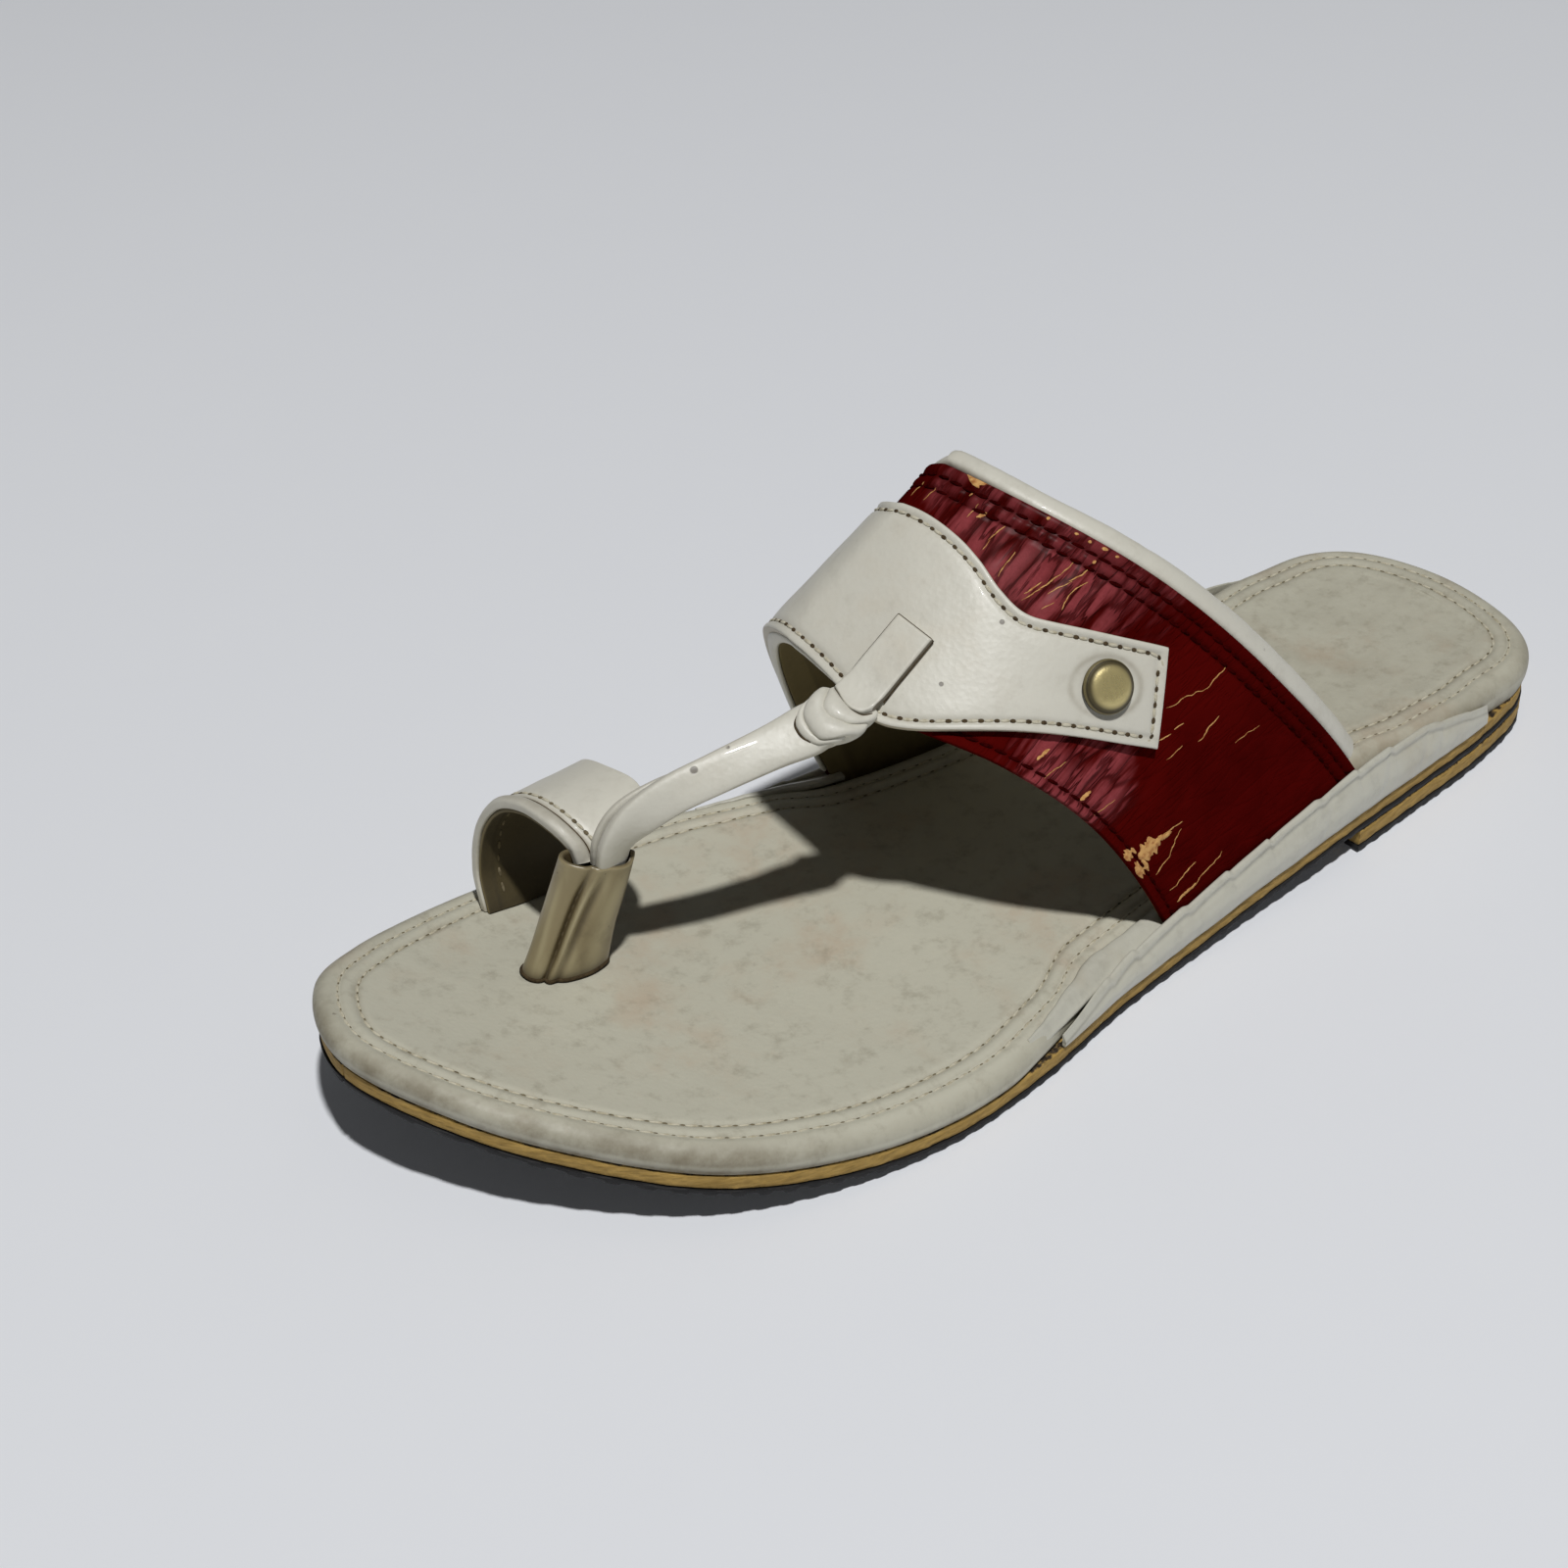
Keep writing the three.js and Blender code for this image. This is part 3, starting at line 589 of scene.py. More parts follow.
@dataclass
class Form:
    """Points, faces and point values of a piece, gathered before it becomes a mesh."""

    points: list[Array] = field(default_factory=list)
    faces: list[Any] = field(default_factory=list)
    values: dict[str, list[Array]] = field(default_factory=dict)
    count: int = 0

    def sweep(self, points: Array, ring: bool = False, **values: Any) -> "Form":
        """Adds a closed skin through closed loops of points.

        Args:
            points: Rows of loops, shape (rows, loop, 3).
            ring: True if the last row joins the first, else both ends are capped.
            values: Named point values, one number or one vector a point.

        Returns:
            The form.
        """
        rows, loop = points.shape[:2]
        numbers = np.arange(self.count, self.count + rows * loop).reshape(rows, loop)
        self.count += rows * loop
        self.points.append(points.reshape(-1, 3))
        for name, value in values.items():
            shape = points.shape if np.ndim(value) == 3 else (rows, loop)
            self.values.setdefault(name, []).append(np.broadcast_to(value, shape).reshape(rows * loop, -1))
        joined = np.vstack([numbers, numbers[:1]]) if ring else numbers
        turned = np.roll(joined, -1, axis=1)
        quads = np.stack([joined[:-1], turned[:-1], turned[1:], joined[1:]], axis=-1)
        self.faces.extend(quads.reshape(-1, 4).tolist())
        half = loop // 2
        for end in () if ring else (numbers[0], numbers[-1]):
            back = end[::-1]
            cap = np.stack([end[: half - 1], end[1:half], back[1:half], back[: half - 1]], axis=-1)
            self.faces.extend(cap.tolist())
        return self

    def cord(self, points: Array, up: Array, radius: float, ring: bool = False) -> None:
        """Adds a thin round cord.

        Args:
            points: Points along its middle.
            up: A direction across it, one for all points or one a point.
            radius: Its radius.
            ring: True if it closes on itself.
        """
        chord = np.gradient(points, axis=0)
        if ring:
            chord = np.roll(points, -1, axis=0) - np.roll(points, 1, axis=0)
        tangent = unit(chord)
        side = unit(np.cross(up, tangent))
        angle = circle(CORD_SIDES)[:, None]
        across = np.cos(angle) * side[:, None, :] + np.sin(angle) * np.cross(tangent, side)[:, None, :]
        self.sweep(points[:, None, :] + radius * across, ring)

    def build(self, name: str, stuff: Stuff, node: str | None = None, sharp: float = 60.0) -> Object:
        """Makes and dresses the mesh object.

        Args:
            name: Name of the piece.
            stuff: Its finish.
            node: The solid that it stands for, if any.
            sharp: Angle in degrees above which an edge stays sharp.

        Returns:
            The object, linked to the scene at the origin.
        """
        mesh = bpy.data.meshes.new(name)
        mesh.from_pydata((np.vstack(self.points) * MM).tolist(), [], self.faces)
        for key, parts in self.values.items():
            flat = np.vstack(parts)
            kind, slot = ("FLOAT_VECTOR", "vector") if flat.shape[1] == 3 else ("FLOAT", "value")
            mesh.attributes.new(key, kind, "POINT").data.foreach_set(slot, flat.ravel())
        edit = bmesh.new()
        edit.from_mesh(mesh)
        bmesh.ops.remove_doubles(edit, verts=edit.verts, dist=WELD)
        bmesh.ops.recalc_face_normals(edit, faces=edit.faces)
        edit.to_mesh(mesh)
        edit.free()
        mesh.polygons.foreach_set("use_smooth", [True] * len(mesh.polygons))
        mesh.set_sharp_from_angle(angle=math.radians(sharp))
        mesh.materials.append(stuff.material)
        return dress(add_object(name, mesh), stuff.slot, node)


class Strip(NamedTuple):
    """Loops of a strip with rounded edges: across in millimetres, lift in half thicknesses."""

    across: Array
    lift: Array
    edge: Array

    @property
    def face(self) -> Array:
        """Lift of the face's side, 0 on the underside."""
        return np.maximum(0.0, self.lift)


def cut_edge(thickness: float, corner: float) -> tuple[Array, Array]:
    """Profile of a cut edge from its middle up to the face.

    Args:
        thickness: Thickness of the leather.
        corner: Radius of its worn corner.

    Returns:
        How far in each point lies, and its lift in half thicknesses.
    """
    turn = np.linspace(0.0, math.pi / 2.0, CUT_STEPS)
    share = corner / (thickness / 2.0)
    inset = corner * (1.0 - np.cos(turn))
    lift = 1.0 - share + share * np.sin(turn)
    return np.concatenate([[0.0], inset]), np.concatenate([[0.0], lift])


def strip_loops(width: Array, thickness: float, corner: float, face_steps: int) -> Strip:
    """Section loops of a strip, from its front edge over its face and back along its underside.

    Args:
        width: Width at each row.
        thickness: Thickness of the strip.
        corner: Radius of its worn corners.
        face_steps: Steps over its face.

    Returns:
        Places across (rows, loop), lift and closeness to an edge (loop).
    """
    inset, rise = cut_edge(thickness, corner)
    face = inner_shares(face_steps)
    flat = lerp(inset[-1], width[:, None] - inset[-1], face)
    start = np.broadcast_to(inset, (len(width), len(inset)))
    half = np.hstack([start, flat, width[:, None] - start[:, ::-1]])
    lift = np.concatenate([rise, np.ones(len(face)), rise[::-1]])
    lift = np.concatenate([lift, -lift[::-1]])
    return Strip(np.hstack([half, half[:, ::-1]]), lift, smooth((1.0 - np.abs(lift)) / EDGE_FADE))


def feed(tree: Tree, target: Link, value: Any) -> None:
    """Links a node's output to a socket, or sets a plain number or colour on it.

    Args:
        tree: Tree of the socket.
        target: Socket to feed.
        value: Output, number or colour.
    """
    if isinstance(value, Link):
        tree.links.new(value, target)
    else:
        target.default_value = value


def add_node(tree: Tree, kind: str, sockets: dict[Any, Any], **settings: Any) -> bpy.types.Node:
    """Adds a node.

    Args:
        tree: Tree that takes it.
        kind: Its type.
        sockets: Values or linked outputs of its inputs, by name or number.
        settings: Its settings, set first.

    Returns:
        The node.
    """
    made = tree.nodes.new(kind)
    for key, value in settings.items():
        setattr(made, key, value)
    for key, value in sockets.items():
        feed(tree, made.inputs[key], value)
    return made


def operator(kind: str, swapped: bool = False) -> Callable[["Socket", Any], "Socket"]:
    """Operator that adds a Math node, with the other value first if swapped.

    Args:
        kind: Operation of the node.
        swapped: Whether the other value comes first.

    Returns:
        The method.
    """

    def apply(socket: "Socket", other: Any) -> "Socket":
        """Adds the node."""
        first, second = (other, socket) if swapped else (socket, other)
        return socket.shader.node("ShaderNodeMath", {0: first, 1: second}, operation=kind)

    return apply


class Socket:
    """A value in a material's node tree, with arithmetic that adds Math nodes."""

    __add__ = operator("ADD")
    __radd__ = operator("ADD", True)
    __sub__ = operator("SUBTRACT")
    __rsub__ = operator("SUBTRACT", True)
    __mul__ = operator("MULTIPLY")
    most = operator("MAXIMUM")

    def __init__(self, shader: "Shader", socket: Link) -> None:
        """Args: shader, the material's shader; socket, the node output it stands for."""
        self.shader = shader
        self.socket = socket

    def step(self, low: float, high: float) -> "Socket":
        """Soft step from 0 at low to 1 at high, or falling where low is above high.

        Args:
            low: Value where the step starts.
            high: Value where it is full.

        Returns:
            The step.
        """
        sockets = {"Value": self, "From Min": low, "From Max": high}
        if low > high:
            sockets.update({"From Min": high, "From Max": low, "To Min": 1.0, "To Max": 0.0})
        return self.shader.node("ShaderNodeMapRange", sockets, "Result", interpolation_type="SMOOTHSTEP")


class Shader:
    """Material under construction: one Principled surface and the nodes that feed it."""

    def __init__(self, name: str) -> None:
        """Args: name, the material's name."""
        self.material = bpy.data.materials.new(name)
        self.material.use_nodes = True
        self.tree = self.material.node_tree
        self.tree.nodes.clear()
        self.surface = self.tree.nodes.new("ShaderNodeBsdfPrincipled")
        add_node(self.tree, "ShaderNodeOutputMaterial", {"Surface": self.surface.outputs["BSDF"]})

    def node(self, kind: str, sockets: dict[Any, Any], output: Any = 0, **settings: Any) -> Socket:
        """Adds a node.

        Args:
            kind: Node type.
            sockets: Values of its sockets, by name or number.
            output: Name or number of the output that is wanted.
            settings: Node settings.

        Returns:
            That output.
        """
        plain = {key: getattr(value, "socket", value) for key, value in sockets.items()}
        return Socket(self, add_node(self.tree, kind, plain, **settings).outputs[output])

    def place(self) -> Socket:
        """Object coordinates, in metres."""
        return self.node("ShaderNodeTexCoord", {}, "Object")

    def value(self, name: str, output: str = "Fac") -> Socket:
        """A point value of the piece."""
        return self.node("ShaderNodeAttribute", {}, output, attribute_name=name)

    def vector(self, operation: str, first: Socket, second: Any, output: str = "Vector") -> Socket:
        """Vector Math of coordinates: a stretch, a shift or a distance."""
        return self.node("ShaderNodeVectorMath", {0: first, 1: second}, output, operation=operation)

    def noise(self, vector: Socket, scale: float, detail: float = 3.0, roughness: float = 0.55) -> Socket:
        """Cloudy noise between 0 and 1."""
        sockets = {"Vector": vector, "Scale": scale, "Detail": detail, "Roughness": roughness}
        return self.node("ShaderNodeTexNoise", sockets, "Fac")

    def streaks(self, vector: Socket, stretch: Any, detail: float = 3.0, roughness: float = 0.6) -> Socket:
        """Cloudy noise stretched along each axis."""
        return self.noise(self.vector("MULTIPLY", vector, stretch), 1.0, detail, roughness)

    def cells(self, vector: Socket, scale: float, feature: str = "F1") -> Socket:
        """Distance in a cell pattern."""
        sockets = {"Vector": vector, "Scale": scale}
        return self.node("ShaderNodeTexVoronoi", sockets, "Distance", feature=feature)

    def mix(self, share: Any, first: Any, second: Any) -> Socket:
        """Colour between two colours."""
        return self.node("ShaderNodeMix", {0: share, 6: first, 7: second}, 2, data_type="RGBA")

    def bump(self, height: Socket, depth: float, normal: Socket | None = None) -> Socket:
        """Normal pressed by a height, with its depth in millimetres.

        Args:
            height: Height from 0 to 1.
            depth: Depth in millimetres.
            normal: Normal to press, if not the plain one.

        Returns:
            The normal.
        """
        sockets: dict[str, Any] = {"Height": height, "Distance": depth * MM, "Strength": 1.0}
        if normal is not None:
            sockets["Normal"] = normal
        return self.node("ShaderNodeBump", sockets)

    def finish(self, sockets: dict[str, Any]) -> Material:
        """Feeds the surface, with spaces in its socket names written as underscores.

        Args:
            sockets: Inputs of the surface, by name.

        Returns:
            The material.
        """
        for key, value in sockets.items():
            feed(self.tree, self.surface.inputs[key.replace("_", " ")], getattr(value, "socket", value))
        return self.material


@dataclass(frozen=True)
class Finish:
    """A finish of one main colour, whose material is made from the sockets that it gives."""

    name: str
    colour: Colour

    def make(self, slot: Slot = Slot.BEIGE) -> Stuff:
        """Builds the material for a slot of the record."""
        shader = Shader(self.name)
        return Stuff(shader.finish(self.sockets(shader, shader.place())), slot)

    def sockets(self, shader: Shader, place: Socket) -> dict[str, Any]:
        """Values of the surface's sockets.

        Args:
            shader: Shader that takes the nodes.
            place: Object coordinates.

        Returns:
            The values by name, with underscores for spaces.
        """
        raise NotImplementedError


@dataclass(frozen=True)
class Leather(Finish):
    """Smooth dressed leather with stains, dirt and painted shade in its low places and a fine grain."""

    stain: Colour
    dirt: Colour
    cut: Colour
    roughness: float = 0.46
    stain_size: float = 30.0
    stain_share: float = 0.5
    mottle: float = 0.25
    grain_depth: float = 0.05
    crumple_depth: float = 0.12
    coat: float = 0.0
    speck: Colour = tone(62, 48, 34)
    marks: Rows = ()

    def sockets(self, shader: Shader, place: Socket) -> dict[str, Any]:
        """Stains, dirt and painted shade, specks and cut edges over a grained, crumpled skin.

        Args:
            shader: Material being made.
            place: Object coordinates, in metres.

        Returns:
            Inputs of the surface, by name.
        """
        cloud = shader.noise(place, 1.0 / (self.stain_size * MM), 4.0, 0.6)
        fine = shader.noise(place, 420.0, 4.0, 0.65)
        patch = shader.noise(place, 95.0, 5.0, 0.7)
        stained = cloud.step(0.5, 0.72) * patch.step(0.3, 0.65) * self.stain_share
        colour = shader.mix(stained, self.colour, self.stain)
        soot = shader.noise(place, 230.0, 5.0, 0.7)
        colour = shader.mix(soot.step(0.48, 0.75) * self.mottle, colour, self.dirt)
        colour = shader.mix(fine.step(0.55, 0.85) * 0.18, colour, self.stain)
        # The point value darkens towards the dirt colour: real dirt on some pieces, painted shade in
        # crevices, under straps and along joins on others.
        darkening = shader.value("dirt") * (patch.step(0.25, 0.75) * 0.7 + 0.3)
        colour = shader.mix(darkening, colour, self.dirt)
        specks = shader.cells(place, 210.0).step(0.1, 0.05) * patch.step(0.62, 0.7)
        for mark in self.marks:
            near = shader.vector("DISTANCE", place, (mark.x * MM, mark.y * MM, mark.z * MM), "Value")
            specks = specks.most(near.step(mark.radius * MM, mark.radius * 0.6 * MM))
        colour = shader.mix(specks * 0.75, colour, self.speck)
        colour = shader.mix(shader.value("edge").step(0.35, 0.9) * 0.75, colour, self.cut)
        pores = shader.cells(place, 900.0)
        normal = shader.bump(shader.noise(place, 160.0, 4.0, 0.6), self.crumple_depth)
        normal = shader.bump(pores * 0.7 + fine * 0.6 - specks, self.grain_depth, normal)
        rough = fine * 0.16 + patch * 0.12 + (self.roughness - 0.14) + darkening * 0.2
        return dict(Base_Color=colour, Roughness=rough, Normal=normal, Coat_Weight=self.coat)


@dataclass(frozen=True)
class RedLeather(Finish):
    """Polished oxblood leather whose finish is crinkled and cracked along the foot."""

    dull_and_sheen: Colour
    deep: Colour
    grain_depth: float = 0.05
    crinkle_depth: float = 0.4
    roughness: float = 0.42
    sheen: float = 0.08

    def sockets(self, shader: Shader, place: Socket) -> dict[str, Any]:
        """Crinkles, splits, dull wear and a painted pink sheen in the worn creases, by millimetres over the
        band.

        Args:
            shader: Material being made.
            place: Object coordinates, in metres.

        Returns:
            Inputs of the surface, by name.
        """
        sheet = shader.value("surface", "Vector")
        worn = shader.value("worn")
        lines = shader.streaks(sheet, (0.5, 0.055, 0.0))
        fine_lines = shader.streaks(sheet, (1.5, 0.22, 0.0), 3.0, 0.65)
        patch = shader.streaks(sheet, (0.16, 0.07, 0.0))
        wear_and_sheen = (worn * 1.25 + (patch - 0.5) * 0.8 + (lines - 0.5) * 0.5).step(0.36, 0.8)
        ribs = shader.vector("MULTIPLY", sheet, (0.26, 0.09, 0.0))
        ribs = shader.vector("ADD", ribs, (lines - 0.5) * 1.2)
        pucker = shader.cells(ribs, 1.0)
        split = 1.0 - shader.cells(ribs, 1.0, "DISTANCE_TO_EDGE").step(0.01, 0.11)
        creased = (lines - pucker * 0.45).step(0.06, 0.42)
        cloud = shader.noise(place, 60.0, 4.0, 0.6)
        nap = shader.noise(place, 900.0, 3.0, 0.7)
        colour = shader.mix(cloud.step(0.35, 0.7) * 0.6, self.colour, self.deep)
        # The pink dull colour in the worn creases is partly real dull wear and partly painted sheen.
        colour = shader.mix(creased * wear_and_sheen * (nap * 0.6 + 0.5), colour, self.dull_and_sheen)
        colour = shader.mix((shader.value("dirt") * 0.85).most(split * wear_and_sheen * 0.7), colour, self.deep)
        grain = shader.cells(place, 1100.0) * 0.6 + shader.noise(place, 1500.0, 2.0) * 0.6
        crinkle = fine_lines * 0.25 + lines * 0.5 - pucker * 1.3 - split * 0.7
        normal = shader.bump(crinkle * (worn * 0.75 + 0.25), self.crinkle_depth)
        normal = shader.bump(grain, self.grain_depth, normal)
        rough = cloud * 0.1 + self.roughness + wear_and_sheen * creased * 0.1
        return dict(
            Base_Color=colour, Roughness=rough, Normal=normal, Coat_Weight=wear_and_sheen * self.sheen,
            Coat_Roughness=0.34, Specular_IOR_Level=0.0,
        )


@dataclass(frozen=True)
class Board(Finish):
    """Cut edge of pressed leather board, with ragged dark glue along its top."""

    fibre: Colour
    glue: Colour
    glue_from: float = 0.93
    burnt_below: float = 0.02

    def sockets(self, shader: Shader, place: Socket) -> dict[str, Any]:
        """Streaked fibres, glue along the top and a burnt line along the bottom.

        Args:
            shader: Material being made.
            place: Object coordinates, in metres.

        Returns:
            Inputs of the surface, by name.
        """
        rise = shader.value("rise")
        streak = shader.streaks(place, (260.0, 260.0, 1500.0), 4.0, 0.65)
        ragged = shader.noise(place, 330.0, 5.0, 0.7)
        blotch = shader.noise(place, 70.0, 4.0, 0.6)
        colour = shader.mix(streak.step(0.3, 0.75), self.colour, self.fibre)
        colour = shader.mix(blotch.step(0.5, 0.8) * 0.55, colour, self.fibre)
        glued = (rise + (ragged - 0.5) * 0.55).step(self.glue_from, self.glue_from + 0.1)
        burnt = (rise + (ragged - 0.5) * 0.3).step(self.burnt_below + 0.1, self.burnt_below)
        colour = shader.mix(glued.most(burnt * 0.8), colour, self.glue)
        normal = shader.bump(shader.cells(place, 700.0) + streak - glued * 0.5, 0.16)
        return dict(Base_Color=colour, Roughness=0.72 + streak * 0.16 - glued * 0.25, Normal=normal)


@dataclass(frozen=True)
class Rubber(Finish):
    """Matt black rubber with dust in its pores."""

    dust: Colour

    def sockets(self, shader: Shader, place: Socket) -> dict[str, Any]:
        """Cloudy dust and grit.

        Args:
            shader: Material being made.
            place: Object coordinates, in metres.

        Returns:
            Inputs of the surface, by name.
        """
        cloud = shader.noise(place, 120.0, 5.0, 0.7)
        grit = shader.noise(place, 1300.0, 3.0, 0.6)
        dusty = cloud.step(0.5, 0.85) * 0.5 + grit.step(0.62, 0.8) * 0.2
        colour = shader.mix(dusty, self.colour, self.dust)
        normal = shader.bump(grit + cloud * 0.5, 0.12)
        return dict(Base_Color=colour, Roughness=0.55 + cloud * 0.3, Normal=normal)


@dataclass(frozen=True)
class SleeveLeather(Finish):
    """Rubbed, shiny leather of the toe post, streaked along its folds."""

    rubbed_and_highlight: Colour
    dark: Colour
    scuff: Colour

    def sockets(self, shader: Shader, place: Socket) -> dict[str, Any]:
        """Rubbed streaks, painted highlights on the fold ridges, painted shade in the folds, round the foot
        and inside the opening, and nicks.

        Args:
            shader: Material being made.
            place: Object coordinates, in metres.

        Returns:
            Inputs of the surface, by name.
        """
        streak = shader.streaks(place, (240.0, 240.0, 45.0), 2.0, 0.5)
        cloud = shader.noise(place, 110.0, 4.0, 0.6)
        nick = shader.streaks(place, (420.0, 420.0, 190.0))
        # Rubbed streaks, and a painted highlight on the fold ridges from the worn value.
        worn = (streak.step(0.4, 0.75) * 0.5).most(shader.value("worn"))
        colour = shader.mix(worn, self.colour, self.rubbed_and_highlight)
        colour = shader.mix(cloud.step(0.5, 0.8) * 0.45, colour, self.dark)
        # Painted shade in the fold grooves and round the foot.
        colour = shader.mix(shader.value("dirt"), colour, self.dark)
        colour = shader.mix(nick.step(0.7, 0.73) * 0.75, colour, self.scuff)
        # Painted shade inside the open top.
        colour = shader.mix(shader.value("edge").step(0.3, 0.8) * 0.7, colour, self.dark)
        normal = shader.bump(shader.cells(place, 1000.0) * 0.4 + shader.noise(place, 500.0), 0.05)
        return dict(Base_Color=colour, Roughness=0.27 + cloud * 0.16, Normal=normal, Coat_Weight=0.15)


@dataclass(frozen=True)
class AgedBrass(Finish):
    """Aged brass: rubbed bright on the dome and dark in the rim."""

    patina: Colour

    def sockets(self, shader: Shader, place: Socket) -> dict[str, Any]:
        """Patina in the low places and fine scratches.

        Args:
            shader: Material being made.
            place: Object coordinates, in metres.

        Returns:
            Inputs of the surface, by name.
        """
        cloud = shader.noise(place, 420.0, 5.0, 0.7)
        scratch = shader.streaks(place, (2400.0, 300.0, 900.0))
        dark = shader.value("dirt").most(cloud.step(0.6, 0.8) * 0.45)
        colour = shader.mix(dark, self.colour, self.patina)
        normal = shader.bump(cloud + scratch * 0.5, 0.1)
        rough = 0.22 + dark * 0.3 + scratch * 0.1
        return dict(Base_Color=colour, Roughness=rough, Metallic=0.7 - dark * 0.4, Normal=normal)


@dataclass(frozen=True)
class Thread(Finish):
    """Waxed twisted thread, and other small plain things."""

    shade: Colour
    roughness: float = 0.6
    gloss: float = 0.3

    def sockets(self, shader: Shader, place: Socket) -> dict[str, Any]:
        """Flecks of a second tone.

        Args:
            shader: Material being made.
            place: Object coordinates, in metres.

        Returns:
            Inputs of the surface, by name.
        """
        fleck = shader.noise(place, 900.0, 3.0, 0.6)
        colour = shader.mix(fleck.step(0.4, 0.7), self.colour, self.shade)
        normal = shader.bump(shader.noise(place, 3000.0, 2.0), 0.05)
        rough = self.roughness + fleck * 0.2
        return dict(Base_Color=colour, Roughness=rough, Normal=normal, Specular_IOR_Level=self.gloss)


@dataclass(frozen=True)
class PaleFloor(Finish):
    """Plain pale studio floor, with a faint painted glow that lightens the shadows on it."""

    grain: Colour
    glow: float = 0.03

    def sockets(self, shader: Shader, place: Socket) -> dict[str, Any]:
        """A faint grain and a faint painted glow.

        Args:
            shader: Material being made.
            place: Object coordinates, in metres.

        Returns:
            Inputs of the surface, by name.
        """
        grain = shader.noise(place, 40.0, 4.0, 0.6)
        colour = shader.mix(grain * 0.06, self.colour, self.grain)
        rough = 0.85 + grain * 0.05
        glow = dict(Emission_Color=self.colour, Emission_Strength=self.glow)
        return dict(Base_Color=colour, Roughness=rough, **glow)


class Path(NamedTuple):
    """Line that a row of stitches follows, with the way out of the leather at each point."""

    points: Array
    up: Array


@dataclass(frozen=True)
class Sewing:
    """Size of one stitch or needle hole in a row, and how it sits on the leather."""

    pitch: float
    length: float
    width: float
    height: float
    shift: float = 0.0
    rise: float = 0.0
    yaw: float = 0.0


